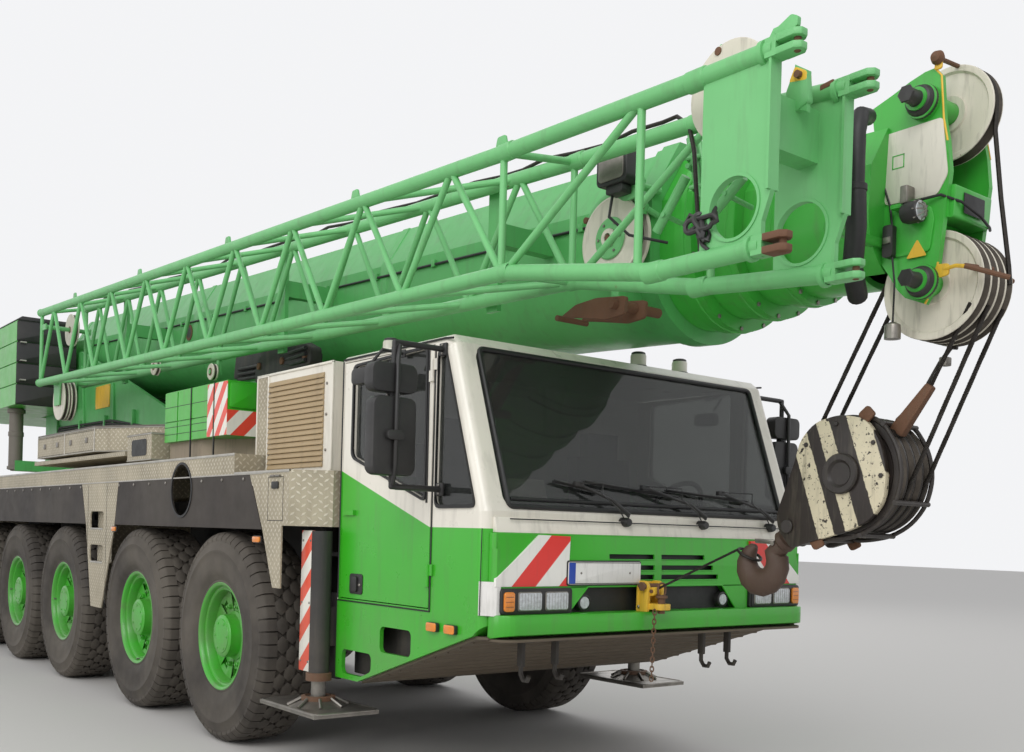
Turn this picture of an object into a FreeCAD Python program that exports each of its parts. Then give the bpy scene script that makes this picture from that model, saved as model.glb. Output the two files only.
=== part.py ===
import FreeCAD, Part
import math
import os

# Five-axle all-terrain mobile crane, parked ready for the road: boom and lattice extension
# lie over the cab, the hook block hangs at the front bumper. Units are millimetres.
# While drawing, x is 0 at the front axle and points forward, y points to the driver's left
# and z is 0 on the ground. The export moves x so that the machine is centred on the origin.

V = FreeCAD.Vector
X = V(1, 0, 0)
Y = V(0, 1, 0)
Z = V(0, 0, 1)

# Clearances
SEAT = 0.3
RUN = 6.0

# Wheels, 16.00 R 25 on 25-inch rims
HALF = 1500.0
TYRE_R = 720.0
TYRE_W = 440.0
FLANGE_R = 356.0
RIM_WALL = 22.0
TYRE_Y = HALF - TYRE_W / 2
KINGPIN_Y = TYRE_Y - 220
YOKE_IN = KINGPIN_Y - 160
HUB_R = 145.0
CAP_R = 112.0
DRUM_R = 215.0
DISC_Y = 45.0
DISC_T = 22.0
HAND_HOLES = 10
HAND_HOLE_R = 30.0
HAND_R = 262.0
GUTTER_R = 340.0
GUTTER_W = 26.0

# Axles: gaps between the tyres of one group, and between the two groups
TYRE_GAP = 210.0
GROUP_GAP = 560.0
AXLES = [0.0]
for gap in (TYRE_GAP, GROUP_GAP, TYRE_GAP, TYRE_GAP):
    AXLES.append(AXLES[-1] - 2 * TYRE_R - gap)
STEERED = (1, 2, 4, 5)

# Carrier
REAR_X = AXLES[-1] - 3000
BUMPER_X = 2850.0
NOSE_X = 4689.0
ORIGIN_X = (REAR_X + NOSE_X) / 2

# Frame, decks and fenders
FRAME_Y = 450.0
FRAME_Z0 = TYRE_R + 270
FRAME_Z1 = 1700.0
RAIL_Z = (800.0, 1010.0)
RAIL_FRONT = 2150.0
DECK_Z = 1960.0
LOW_DECK_Z = 1830.0
DECK_STEP_X = 250.0
SHEET = 10.0
FENDER_Z0 = 2 * TYRE_R + 20
FENDER_Z1 = 1815.0
FENDER_T = 12.0

# Cab
CAB_REAR = 1250.0
CAB_Y = HALF - 240
CAB_FLOOR = 1050.0
CAB_ROOF = 2525.0
CAB_WALL = 45.0
CAB_FRONT = 2720.0
CAB_ROUND = 55.0
SCREEN_Y = CAB_Y - 130
SCREEN_LOW = (CAB_FRONT, 1591.0)
SCREEN_TOP = (2405.0, 2480.0)
DOOR_X = (1275.0, 2240.0)
DOOR_Z = (1060.0, 2495.0)
GLASS = 6.0
HINGE_R = 11.0
HINGE_H = 60.0
DOOR_HINGE = (2238.0, CAB_Y + 12.0)
DOOR_HINGE_Z = (1180.0, 2280.0)

# Upper structure
SLEW_X = -4900.0
RING_R = 900.0
UPPER_Z = 2060.0
FLANK_Y = 560.0
PIVOT = V(-6800.0, 0, 3200.0)
LUFF_BASE = V(-5600.0, 0, 2300.0)
LUFF_EYE = V(-2200.0, 0, 2680.0)

# Boom, sloping gently down to the front. Its section is a half circle below upright flanks
# and a bevelled top; heights are counted from the centre of the half circle.
BOOM_SLOPE = 2.4
BOOM_AXIS = V(1945.0, 0, 3073.0)
BOOM_R = 450.0
BOOM_FLANK = 230.0
BOOM_TOP = 520.0
BOOM_TOP_Y = 280.0
BOOM_REAR = -7150.0
BOOM_FRONT = 3050.0
SECTION_GAP = 45.0
SECTION_STEP = 240.0
SECTIONS = 3
TUBE_WALL = 14.0

# Boom head and hook block
HEAD_PLATE_Y = 165.0
HEAD_TOP = V(4424.0, 0, 3419.0)
HEAD_LOW = V(4449.0, 0, 2624.0)
SHEAVE_R = 240.0
TOP_SHEAVE_R = 215.0
ROPE_R = 11.0
HOOK_HUB = V(4040.0, 0, 1800.0)
HOOK_EYE = V(3440.0, 0, 1385.0)

# Lattice extension, stowed along the right side of the boom
JIB_HOLDERS = (-3900.0, -420.0, 2200.0)
JIB_NEAR_Y = -1350.0
JIB_FAR_Y = -900.0
CHORD_R = 38.0
LACING_R = 18.0


def box(x0, x1, y0, y1, z0, z1):
    return Part.makeBox(x1 - x0, y1 - y0, z1 - z0, V(x0, y0, z0))


def rod(a, b, r):
    a = V(*a)
    b = V(*b)
    return Part.makeCylinder(r, (b - a).Length, a, b - a)


def disc(centre, axis, r, width):
    # A round piece centred on a point, its axis along a direction.
    return Part.makeCylinder(r, width, V(*centre) - axis * (width / 2), axis)


def plate_xz(points, y0, y1):
    wire = Part.makePolygon([V(x, y0, z) for x, z in points + points[:1]])
    return Part.Face(wire).extrude(V(0, y1 - y0, 0))


def plate_yz(points, x0, x1):
    wire = Part.makePolygon([V(x0, y, z) for y, z in points + points[:1]])
    return Part.Face(wire).extrude(V(x1 - x0, 0, 0))


def plate_xy(points, z0, z1):
    wire = Part.makePolygon([V(x, y, z0) for x, y in points + points[:1]])
    return Part.Face(wire).extrude(V(0, 0, z1 - z0))


def rounded_wire(points, r):
    # Closed outline through the points with every corner rounded to a radius.
    edges = []
    ends = []
    count = len(points)
    for i in range(count):
        before, here, after = points[i - 1], points[i], points[(i + 1) % count]
        a = (before - here).normalize()
        b = (after - here).normalize()
        half = a.getAngle(b) / 2
        reach = r / math.tan(half)
        middle = (a + b).normalize() * (r / math.sin(half) - r)
        ends.append((here + a * reach, here + middle, here + b * reach))
    for i in range(count):
        start, mid, stop = ends[i]
        edges.append(Part.Arc(start, mid, stop).toShape())
        edges.append(Part.makeLine(stop, ends[(i + 1) % count][0]))
    return Part.Wire(edges)


def rounded_xz(points, r, y0, y1):
    wire = rounded_wire([V(x, y0, z) for x, z in points], r)
    return Part.Face(wire).extrude(V(0, y1 - y0, 0))


def rounded_yz(points, r, x0, x1):
    wire = rounded_wire([V(x0, y, z) for y, z in points], r)
    return Part.Face(wire).extrude(V(x1 - x0, 0, 0))


def rounded_xy(points, r, z0, z1):
    wire = rounded_wire([V(x, y, z0) for x, y in points], r)
    return Part.Face(wire).extrude(V(0, 0, z1 - z0))


def corners(a0, a1, b0, b1):
    return [(a0, b0), (a1, b0), (a1, b1), (a0, b1)]


def fuse(shapes):
    if len(shapes) == 1:
        return shapes[0]
    return shapes[0].multiFuse(shapes[1:]).removeSplitter()


def mirrored(shape):
    return shape.mirror(V(0, 0, 0), Y)


def both_sides(shape):
    return [shape, mirrored(shape)]


NODES = {}


def hand_hole(number):
    angle = 2 * math.pi * (number + 0.5) / HAND_HOLES
    return V(HAND_R * math.cos(angle), DISC_Y - 10, HAND_R * math.sin(angle))


def gutter_bore():
    return Part.makeCylinder(GUTTER_R - 30, TYRE_W, V(0, -TYRE_W / 2, 0), Y)


def wheel(axle_x, side):
    # A tyre with a plain shoulder profile on a steel rim with a dished centre and a hub.
    half = TYRE_W / 2
    profile = [
        (FLANGE_R, -half + 40),
        (580.0, -half),
        (TYRE_R, -half + 45),
        (TYRE_R, half - 45),
        (580.0, half),
        (FLANGE_R, half - 40),
    ]
    start = V(0, 0, 0)
    ring = Part.makePolygon([V(r, y, 0) for r, y in profile + profile[:1]])
    tyre = Part.Face(ring).revolve(start, Y, 360)
    outer = Part.makeCylinder(FLANGE_R, TYRE_W - 80, V(0, -half + 40, 0), Y)
    bore = Part.makeCylinder(FLANGE_R - RIM_WALL, TYRE_W, V(0, -half, 0), Y)
    centre = Part.makeCylinder(FLANGE_R - RIM_WALL, DISC_T, V(0, DISC_Y, 0), Y)
    holes = [Part.makeCylinder(HAND_HOLE_R, DISC_T + 20, hand_hole(i), Y) for i in range(HAND_HOLES)]
    ring_lip = Part.makeCylinder(GUTTER_R, GUTTER_W, V(0, half - 40 - 12 - GUTTER_W, 0), Y)
    hub = Part.makeCylinder(HUB_R, 130, V(0, 40, 0), Y)
    cap = Part.makeCylinder(CAP_R, 40, V(0, 140, 0), Y)
    drum = Part.makeCylinder(DRUM_R, 90, V(0, -20, 0), Y)
    shell = fuse([outer.cut(bore), ring_lip.cut(gutter_bore())])
    rim = fuse([shell, centre.cut(holes), hub, cap, drum])
    both = Part.makeCompound([tyre, rim])
    if side < 0:
        both = mirrored(both)
    both.translate(V(axle_x, side * TYRE_Y, TYRE_R))
    return both


def spindle_end():
    # Where the spindle meets the brake drum, measured from the middle of the machine.
    return TYRE_Y - 20 - SEAT


def knuckle(axle_x, side):
    post = Part.makeCylinder(75, 300, V(0, KINGPIN_Y, -150), Z)
    pin = Part.makeCylinder(34, 420, V(0, KINGPIN_Y, -210), Z)
    stub = Part.makeCylinder(80, spindle_end() - KINGPIN_Y, V(0, KINGPIN_Y, 0), Y)
    arm = box(-230, -40, KINGPIN_Y - 60, KINGPIN_Y - 15, -40, 0)
    shape = fuse([post, pin, stub, arm])
    if side < 0:
        shape = mirrored(shape)
    shape.translate(V(axle_x, 0, TYRE_R))
    return shape


def yoke():
    # The fork at the axle's left end that holds the kingpin above and below.
    low = box(-65, 65, YOKE_IN, KINGPIN_Y + 60, -205, -151)
    high = box(-65, 65, YOKE_IN, KINGPIN_Y + 60, 151, 205)
    back = box(-65, 65, YOKE_IN, YOKE_IN + 70, -205, 205)
    eye = Part.makeCylinder(34 + SEAT, 500, V(0, KINGPIN_Y, -250), Z)
    return fuse([low, high, back]).cut(eye)


def suspension():
    # Upright spring strut between axle and frame, on the left.
    lower = Part.makeCylinder(62, 330, V(0, 620, 60), Z)
    upper = Part.makeCylinder(48, 420, V(0, 620, 380), Z)
    bracket = box(-70, 70, FRAME_Y + SEAT, 700, 780, 850)
    return fuse([lower, upper, bracket])


def axle(number, axle_x):
    beam = rod((0, -YOKE_IN - 30, 0), (0, YOKE_IN + 30, 0), 88)
    bowl = Part.makeCylinder(205, 300, V(-150, 0, 0), X)
    parts = [beam, bowl]
    if number in STEERED:
        parts += both_sides(yoke())
    else:
        parts.append(rod((0, -spindle_end(), 0), (0, spindle_end(), 0), 80))
    parts += both_sides(suspension())
    shape = fuse(parts)
    shape.translate(V(axle_x, 0, TYRE_R))
    return shape


def running_gear():
    NODES["axles"] = Part.makeCompound([axle(i + 1, x) for i, x in enumerate(AXLES)])
    for number, axle_x in enumerate(AXLES, 1):
        for name, side in (("left", 1), ("right", -1)):
            NODES["wheel_%d_%s" % (number, name)] = wheel(axle_x, side)
            if number in STEERED:
                NODES["knuckle_%d_%s" % (number, name)] = knuckle(axle_x, side)


# Outriggers: a transverse box with one sliding beam to each side, one above the other.
# Columns: name, middle of the box along x.
OUTRIGGERS = (("front", 1090.0), ("rear", AXLES[-1] - 1650))
BEAM_W = 230.0
BEAM_H = 240.0
BEAM_WALL = 25.0
BEAM_Z = {-1: 760.0, 1: 1060.0}
BOX_Y = HALF - 300
JACK_Y = HALF - 160
JACK_DX = 100.0
JACK_R = 62.0
JACK_ROD_R = 45.0
JACK_TOP = 1460.0
JACK_LOW = 560.0
PAD_Z = 380.0
BOARD_W = 175.0


def outrigger_box(middle):
    w = BEAM_W / 2 + RUN / 2
    z0 = BEAM_Z[-1] - SEAT
    z1 = BEAM_Z[1] - SEAT
    outer = box(middle - w - BEAM_WALL, middle + w + BEAM_WALL, -BOX_Y, BOX_Y,
                z0 - BEAM_WALL, z1 + BEAM_H + RUN + BEAM_WALL)
    low = box(middle - w, middle + w, -BOX_Y - 1, BOX_Y + 1, z0, z0 + BEAM_H + RUN)
    high = box(middle - w, middle + w, -BOX_Y - 1, BOX_Y + 1, z1, z1 + BEAM_H + RUN)
    return outer, low, high


def outrigger_beam(middle, side):
    # Built for the left; the beam ends in the upright tube of its jack.
    z0 = BEAM_Z[side]
    beam = box(middle - BEAM_W / 2, middle + BEAM_W / 2, -1050, JACK_Y, z0, z0 + BEAM_H)
    hollow = box(middle - BEAM_W / 2 + 20, middle + BEAM_W / 2 - 20, -1060, JACK_Y - 120,
                 z0 + 20, z0 + BEAM_H - 20)
    jack_x = middle + JACK_DX
    tube = Part.makeCylinder(JACK_R, JACK_TOP - JACK_LOW, V(jack_x, JACK_Y, JACK_LOW), Z)
    bore = Part.makeCylinder(JACK_ROD_R + SEAT, JACK_TOP - 60, V(jack_x, JACK_Y, 0), Z)
    board = box(jack_x - BOARD_W - 15, jack_x - 15, JACK_Y + 20, JACK_Y + 32, JACK_LOW + 40, JACK_TOP)
    plate = box(middle - 260, middle + 145, BOX_Y + 10, BOX_Y + 40, JACK_LOW, 1085)
    shape = fuse([beam.cut(hollow), tube, board, plate]).cut(bore)
    return shape if side > 0 else mirrored(shape)


def outrigger_jack(middle, side):
    jack_x = middle + JACK_DX
    ram = Part.makeCylinder(JACK_ROD_R, 950, V(jack_x, JACK_Y, PAD_Z + 20), Z)
    ball = Part.makeCylinder(80, 60, V(jack_x, JACK_Y, PAD_Z + 15), Z)
    pad = box(jack_x - 380, jack_x + 330, JACK_Y - 230, JACK_Y + 200, PAD_Z, PAD_Z + 25)
    dome = Part.makeCone(190, 85, 45, V(jack_x, JACK_Y, PAD_Z + 20), Z)
    shape = fuse([ram, ball, pad, dome])
    return shape if side > 0 else mirrored(shape)


def outriggers():
    for place, middle in OUTRIGGERS:
        for name, side in (("left", 1), ("right", -1)):
            NODES["outrigger_beam_%s_%s" % (place, name)] = outrigger_beam(middle, side)
            NODES["outrigger_jack_%s_%s" % (place, name)] = outrigger_jack(middle, side)


def chassis_frame():
    girder = box(REAR_X + 60, CAB_REAR - 20, -FRAME_Y, FRAME_Y, FRAME_Z0, FRAME_Z1)
    rails = both_sides(box(CAB_REAR - 40, RAIL_FRONT, 330, FRAME_Y, *RAIL_Z))
    tail = box(REAR_X, REAR_X + 80, 50 - HALF, HALF - 50, 1000, 1300)
    ring = Part.makeCylinder(RING_R, UPPER_Z - 40 - FRAME_Z1 + 20, V(SLEW_X, 0, FRAME_Z1 - 20), Z)
    boxes = [outrigger_box(middle) for _, middle in OUTRIGGERS]
    shape = fuse([girder, tail, ring] + rails + [outer for outer, _, _ in boxes])
    return shape.cut([tool for _, low, high in boxes for tool in (low, high)])


# Ends of the two fenders at their lower edge, and how much shorter they are at the top
FRONT_FENDER = (AXLES[1] - 470, TYRE_R - 35)
REAR_FENDER = (AXLES[4] - TYRE_R - 110, AXLES[2] + TYRE_R + 40)
FENDER_FRONT = [(FRONT_FENDER[0], FENDER_Z0), (FRONT_FENDER[1], FENDER_Z0),
                (FRONT_FENDER[1] - 195, FENDER_Z1), (FRONT_FENDER[0] + 80, FENDER_Z1)]
FENDER_REAR = [(REAR_FENDER[0], FENDER_Z0), (REAR_FENDER[1], FENDER_Z0),
               (REAR_FENDER[1] - 140, FENDER_Z1), (REAR_FENDER[0] + 80, FENDER_Z1)]
PORT = (-665.0, 1728.0)
PORT_R = 195.0


def port(y0, y1):
    return Part.makeCylinder(PORT_R, y1 - y0, V(PORT[0], y0, PORT[1]), Y)


def fenders():
    # Black rubber flaps that hang outside the wheels.
    y1 = HALF
    y0 = HALF - FENDER_T
    front = plate_xz(FENDER_FRONT, y0, y1).cut(port(y0 - 1, y1 + 1))
    rear = plate_xz(FENDER_REAR, y0, y1)
    return Part.makeCompound(both_sides(front) + both_sides(rear))


LOCKER_Z = 1487.0
CORNER_X = (1050.0, 1230.0)
CORNER_Y = HALF - 205
REAR_GAP = (AXLES[-1] - 1930, AXLES[-1] - 1430)
# Between the groups of wheels: ends of the panel at mid height, and the locker's ends
PANEL_LOW = (AXLES[2] + TYRE_R + 230, AXLES[1] - TYRE_R - 50)
STEP_X = (AXLES[2] + TYRE_R + 170, AXLES[1] - TYRE_R - 30)
LOCKER_X = (AXLES[2] + TYRE_R + 190, AXLES[1] - TYRE_R - 110)
EDGE = 5.0


def deck_side():
    # Left side of the deck: chequer strips and panels around the fenders.
    y1 = HALF
    y0 = HALF - SHEET
    strip = box(REAR_X, DECK_STEP_X, y0, y1, FENDER_Z1 + SEAT, DECK_Z)
    low_strip = box(DECK_STEP_X - 5, CORNER_X[0], y0, y1, FENDER_Z1 - 75, LOW_DECK_Z)
    back, ahead = FRONT_FENDER
    rear_end, front_end = REAR_FENDER
    strip_end = OUTRIGGERS[0][1] - BEAM_W / 2 - 15
    front = plate_xz([(500, FENDER_Z1), (ahead + 10, FENDER_Z0), (855, 1100), (strip_end, 1100),
                      (strip_end, LOCKER_Z), (CORNER_X[0], LOCKER_Z), (CORNER_X[0], FENDER_Z1)], y0, y1)
    middle = plate_xz([(front_end - 140 + EDGE, FENDER_Z1 + 5), (front_end + EDGE, FENDER_Z0),
                       (PANEL_LOW[0], 740), (PANEL_LOW[1], 740), (back - EDGE, FENDER_Z0),
                       (back + 80 - EDGE, FENDER_Z1 + 5)], y0, y1)
    steps = [rounded_xz(corners(*STEP_X, z, z + 150), 40, y0 - 1, y1 + 1) for z in (1130, 1420)]
    middle = middle.cut(steps)
    tail = plate_xz([(rear_end + 74, FENDER_Z1 + 5), (rear_end - 6, FENDER_Z0), (rear_end - 20, 900),
                     (REAR_X, 900), (REAR_X, FENDER_Z1 + 5)], y0, y1)
    tail = tail.cut(box(REAR_GAP[0], REAR_GAP[1], y0 - 1, y1 + 1, 899, JACK_TOP + 20))
    low_strip = low_strip.cut(plate_xz([(200, 1600), (ahead, FENDER_Z0),
                                        (ahead - 195 + SEAT, FENDER_Z1 + SEAT),
                                        (200, FENDER_Z1 + SEAT)], y0 - 1, y1 + 1))
    side_sheet = fuse([strip, low_strip, front, middle, tail]).cut(port(y0 - 1, y1 + 1))
    inner = y0 - 60
    lockers = [
        box(*LOCKER_X, 700, inner, 800, 1500),
        plate_xz(corners(STEP_X[0] - 10, STEP_X[1] + 10, 1110, 1600), inner - 10, inner),
        fuse([box(STEP_X[0] - 10, STEP_X[1] + 10, inner - 1, y0 + 1, z - 12, z) for z in (1130, 1420)]),
        box(REAR_X + 85, REAR_GAP[0], 700, y0 + 1, 950, 1750),
        box(REAR_GAP[1] + 10, AXLES[-1] - 950, 700, y0 + 1, 950, 1750),
        plate_xy([(750, 800), (CORNER_X[1], 800), (CORNER_X[1], CORNER_Y), (CORNER_X[0], y1),
                  (750, y1 - 210)], LOCKER_Z, LOW_DECK_Z - SHEET + 1),
    ]
    return side_sheet, lockers


def deck():
    sheet, lockers = deck_side()
    top = box(REAR_X, DECK_STEP_X, -HALF + SHEET, HALF - SHEET, DECK_Z - SHEET, DECK_Z)
    hole = Part.makeCylinder(RING_R + 25, 60, V(SLEW_X, 0, DECK_Z - 40), Z)
    low = plate_xy([(DECK_STEP_X - 5, -HALF + SHEET), (CORNER_X[0], -HALF + SHEET),
                    (CORNER_X[1], -CORNER_Y), (CORNER_X[1], CORNER_Y),
                    (CORNER_X[0], HALF - SHEET), (DECK_STEP_X - 5, HALF - SHEET)],
                   LOW_DECK_Z - SHEET, LOW_DECK_Z)
    riser = box(DECK_STEP_X - SHEET, DECK_STEP_X, -HALF + SHEET, HALF - SHEET,
                LOW_DECK_Z - SHEET, DECK_Z)
    ribs = []
    rib_y = HALF - FENDER_T - SEAT
    for x in (-9500, -7800, -6100, -3500, -1900, -400, 900):
        top_z = (DECK_Z if x < DECK_STEP_X else LOW_DECK_Z) - SHEET
        ribs.append(box(x, x + 12, -rib_y, rib_y, FRAME_Z1 + SEAT, top_z))
    frame_top = fuse([top.cut(hole), low, riser, sheet, mirrored(sheet)] + ribs
                     + [s for shape in lockers for s in both_sides(shape)])
    return frame_top


def screen_tool(depth_out, depth_in, inset):
    # Leans with the windscreen; used for the opening and, thinner, for the glass.
    (x0, z0), (x1, z1) = SCREEN_LOW, SCREEN_TOP
    lean = (x1 - x0) / (z1 - z0)
    low = z0 + 25 + inset
    high = z1 - 25 - inset
    points = [
        (x0 + lean * (low - z0) + depth_out, low),
        (x0 + lean * (high - z0) + depth_out, high),
        (x0 + lean * (high - z0) - depth_in, high),
        (x0 + lean * (low - z0) - depth_in, low),
    ]
    slab = plate_xz(points, -SCREEN_Y + inset, SCREEN_Y - inset)
    front = rounded_yz(corners(-SCREEN_Y + inset, SCREEN_Y - inset, low, high), 60 - inset, 2000, 3000)
    return slab.common(front)


QUARTER = [(2285, 1620), (2640, 1620), (2354, 2425), (2285, 2425)]
DOOR_WINDOW = [(1400, 1912), (2178, 1648), (2168, 2466), (1400, 2442)]
WINDOW_ROUND = 26.0
# Outlines of the step holes in the sill
STEPS = (
    [(1323, 612), (1550, 612), (1661, 655), (1661, 757), (1323, 757)],
    [(1752, 780), (2076, 780), (2076, 928), (1752, 928)],
)


def inset(points, amount, y0, y1):
    wire = rounded_wire([V(x, y0, z) for x, z in points], WINDOW_ROUND)
    face = Part.Face(wire.makeOffset2D(-amount))
    return face.extrude(V(0, y1 - y0, 0))


def cab_profile():
    return [
        (CAB_REAR, 580), (1510, 580), (2640, 950), (CAB_FRONT, 1010), SCREEN_LOW, SCREEN_TOP,
        (2350, CAB_ROOF), (CAB_REAR, CAB_ROOF),
    ]


def cab_body():
    # The cab's outer form, with its front corners and roof edges rounded.
    body = plate_xz(cab_profile(), -CAB_Y, CAB_Y)
    soft = []
    for edge in body.Edges:
        a, b = [v.Point for v in edge.Vertexes]
        on_side = abs(abs(a.y) - CAB_Y) < 1 and abs(a.y - b.y) < 1
        if on_side and min(a.z, b.z) > 1000 and max(a.x, b.x) > CAB_REAR + 10:
            soft.append(edge)
    return body.makeFillet(CAB_ROUND, soft)


def step_hole(points):
    return rounded_xz(points, 35, CAB_Y - 60, CAB_Y + 1)


def cab_shell():
    body = cab_body()
    room = plate_xz([
        (CAB_REAR + CAB_WALL, CAB_FLOOR + 10), (2650, CAB_FLOOR + 10), (2650, 1580),
        (SCREEN_LOW[0] - 70, 1600), (SCREEN_TOP[0] - 60, CAB_ROOF - CAB_WALL),
        (CAB_REAR + CAB_WALL, CAB_ROOF - CAB_WALL),
    ], -CAB_Y + CAB_WALL, CAB_Y - CAB_WALL)
    under = plate_xz([
        (CAB_REAR - 1, 500), (2640, 500), (2640, CAB_FLOOR - 40), (CAB_REAR - 1, CAB_FLOOR - 40),
    ], -CAB_Y + 25, CAB_Y - 25)
    openings = [room, under, screen_tool(90, 150, 0)]
    steps = [step_hole(points) for points in STEPS]
    quarter = rounded_xz(QUARTER, WINDOW_ROUND, CAB_Y - 60, CAB_Y + 1)
    doorway = box(DOOR_X[0], DOOR_X[1], CAB_Y - 60, CAB_Y + 1, DOOR_Z[0], DOOR_Z[1] - 15)
    for tool in steps + [quarter, doorway]:
        openings += both_sides(tool)
    x, y = DOOR_HINGE
    hinges = [hinge(x, y, z + HINGE_H + SEAT, x + 40, CAB_Y - 5) for z in DOOR_HINGE_Z]
    return fuse([body.cut(openings)] + [s for h in hinges for s in both_sides(h)])


def cab_glass():
    screen = screen_tool(-2, 2 + GLASS, SEAT)
    quarter = inset(QUARTER, SEAT, CAB_Y - 20, CAB_Y - 20 + GLASS)
    return Part.makeCompound([screen] + both_sides(quarter))


def hinge(x, y, z, to_x, to_y):
    # Half a hinge: a barrel round the hinge line with a leaf to its piece.
    barrel = Part.makeCylinder(HINGE_R, HINGE_H, V(x, y, z), Z)
    leaf = box(min(x, to_x), max(x, to_x), min(y, to_y), max(y, to_y), z, z + HINGE_H)
    return fuse([barrel, leaf])


def cab_door():
    gap = RUN
    leaf = box(DOOR_X[0] + gap, DOOR_X[1] - gap, CAB_Y - 40, CAB_Y, DOOR_Z[0] + gap,
               DOOR_Z[1] - 15 - gap)
    window = rounded_xz(DOOR_WINDOW, WINDOW_ROUND, CAB_Y - 60, CAB_Y + 1)
    handle = box(DOOR_X[0] + 50, DOOR_X[0] + 170, CAB_Y - 1, CAB_Y + 20, 1560, 1590)
    x, y = DOOR_HINGE
    hinges = [hinge(x, y, z, DOOR_X[1] - gap - 30, CAB_Y - 5) for z in DOOR_HINGE_Z]
    return fuse([leaf.cut(window), handle] + hinges)


def door_glass():
    return inset(DOOR_WINDOW, SEAT, CAB_Y - 24, CAB_Y - 24 + GLASS)


PANEL_Y = CAB_Y - 35
PANEL_X = 2775.0
PANEL_TOP = 1480.0
TOW_Y = -185.0
LAMP_Y = (CAB_Y - 538, CAB_Y - 75)
LAMP_Z = (1060.0, 1200.0)
# Grille slots: right end, left end, height
SLOTS = ((-442, -93, 1365), (-37, 325, 1365), (-518, 398, 1305), (-565, 445, 1252))


def front_panel():
    # Nose panel with grille, lamp bays and bumper, and the belly plate that rises to it.
    x0 = CAB_FRONT + SEAT
    face = plate_xz([(x0, 1010), (x0, PANEL_TOP), (2760, PANEL_TOP), (PANEL_X, 1330), (PANEL_X, 1066),
                     (BUMPER_X, 1066), (BUMPER_X, 967), (x0, 942)], -PANEL_Y, PANEL_Y)
    plan = rounded_xy(corners(2500, BUMPER_X, -PANEL_Y, PANEL_Y), 110, 900, 1600)
    slots = [rounded_yz(corners(y0, y1, z - 15, z + 15), 12, 2742, 2800) for y0, y1, z in SLOTS]
    recess = plate_yz([(-597, 1205), (483, 1205), (610, 1066), (-735, 1066)], 2730, 2776)
    lamps = [box(2722, 2776, y0, y1, LAMP_Z[0] + 6, LAMP_Z[1]) for y0, y1 in (
        (-LAMP_Y[1] - 60, -LAMP_Y[0] + 5), (LAMP_Y[0] - 5, LAMP_Y[1] + 60))]
    shell = face.common(plan).cut(slots + [recess] + lamps)
    eye = box(BUMPER_X - 5, BUMPER_X + 110, TOW_Y - 70, TOW_Y + 70, 1080, 1110)
    post = box(2750, BUMPER_X + 20, TOW_Y - 70, TOW_Y + 70, 1064, 1120)
    hole = Part.makeCylinder(22, 60, V(BUMPER_X + 65, TOW_Y, 1070), Z)
    half = CAB_Y - 25 - SEAT
    belly = plate_xz([(x0, 941.6), (2840, 964.6), (2845, 950), (2640, 932), (1520, 570), (1520, 582),
                      (2640, 949.6)], -half, half)
    belly = belly.common(rounded_xy(corners(1400, BUMPER_X, -half, half), 110, 500, 1000))
    hooks = [box(2500, 2620, y, y + 40, 620, 960) for y in (-420, -140, 100, 380)]
    return Part.makeCompound([fuse([shell, post, eye]).cut(hole), fuse([belly] + hooks)])


def lamp_sets():
    # Headlamp, main beam and flasher of each side in one black housing.
    parts = []
    for side in (1, -1):
        y0, y1 = sorted((side * LAMP_Y[0], side * LAMP_Y[1]))
        z0, z1 = LAMP_Z
        parts.append(rounded_yz(corners(y0, y1, z0 + 6 + SEAT, z1 - SEAT), 18, 2722 + SEAT, 2790))
    return parts


def cab_lamps():
    # Headlamp sets, side markers and roof beacons.
    parts = lamp_sets()
    for x, y in ((1500, -1080), (2250, 250), (2250, 620)):
        parts.append(Part.makeCylinder(42, 75, V(x, y, CAB_ROOF + SEAT), Z))
    for side in (1, -1):
        y0, y1 = sorted((side * (CAB_Y + SEAT), side * (CAB_Y + 22)))
        parts.append(box(2258, 2348, y0, y1, 950, 990))
        parts.append(box(2424, 2514, y0, y1, 950, 990))
    return Part.makeCompound(parts)


def mirrors():
    # Left set; the heads hang from a bent tube outside the windscreen pillar.
    a = (2330, CAB_Y + 8, 2440)
    b = (2330, CAB_Y + 310, 2440)
    c = (2330, CAB_Y + 310, 1700)
    d = (2330, CAB_Y + 8, 1700)
    arm = [rod(a, b, 14), rod(b, c, 14), rod(c, d, 14)]
    main = rounded_yz([(CAB_Y + 220, 1758), (CAB_Y + 424, 1758), (CAB_Y + 444, 2155),
                       (CAB_Y + 200, 2155)], 40, 2295, 2365)
    wide = rounded_yz(corners(CAB_Y + 197, CAB_Y + 458, 2180, 2325), 35, 2295, 2365)
    foot = [box(2300, 2360, CAB_Y + SEAT, CAB_Y + 12, z - 30, z + 30) for z in (2440, 1700)]
    corner = [Part.makeSphere(14, V(*p)) for p in (b, c)]
    return fuse(arm + corner + [main, wide] + foot)


def seat(x, y):
    base = box(x - 200, x + 180, y - 180, y + 180, CAB_FLOOR + 10 + SEAT, CAB_FLOOR + 260)
    cushion = box(x - 240, x + 250, y - 250, y + 250, CAB_FLOOR + 255, CAB_FLOOR + 370)
    back = plate_xz([(x - 250, CAB_FLOOR + 360), (x - 130, CAB_FLOOR + 360),
                     (x - 190, CAB_FLOOR + 960), (x - 290, CAB_FLOOR + 960)], y - 240, y + 240)
    head = box(x - 280, x - 200, y - 140, y + 140, CAB_FLOOR + 950, CAB_FLOOR + 1130)
    return fuse([base, cushion, back, head])


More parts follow.
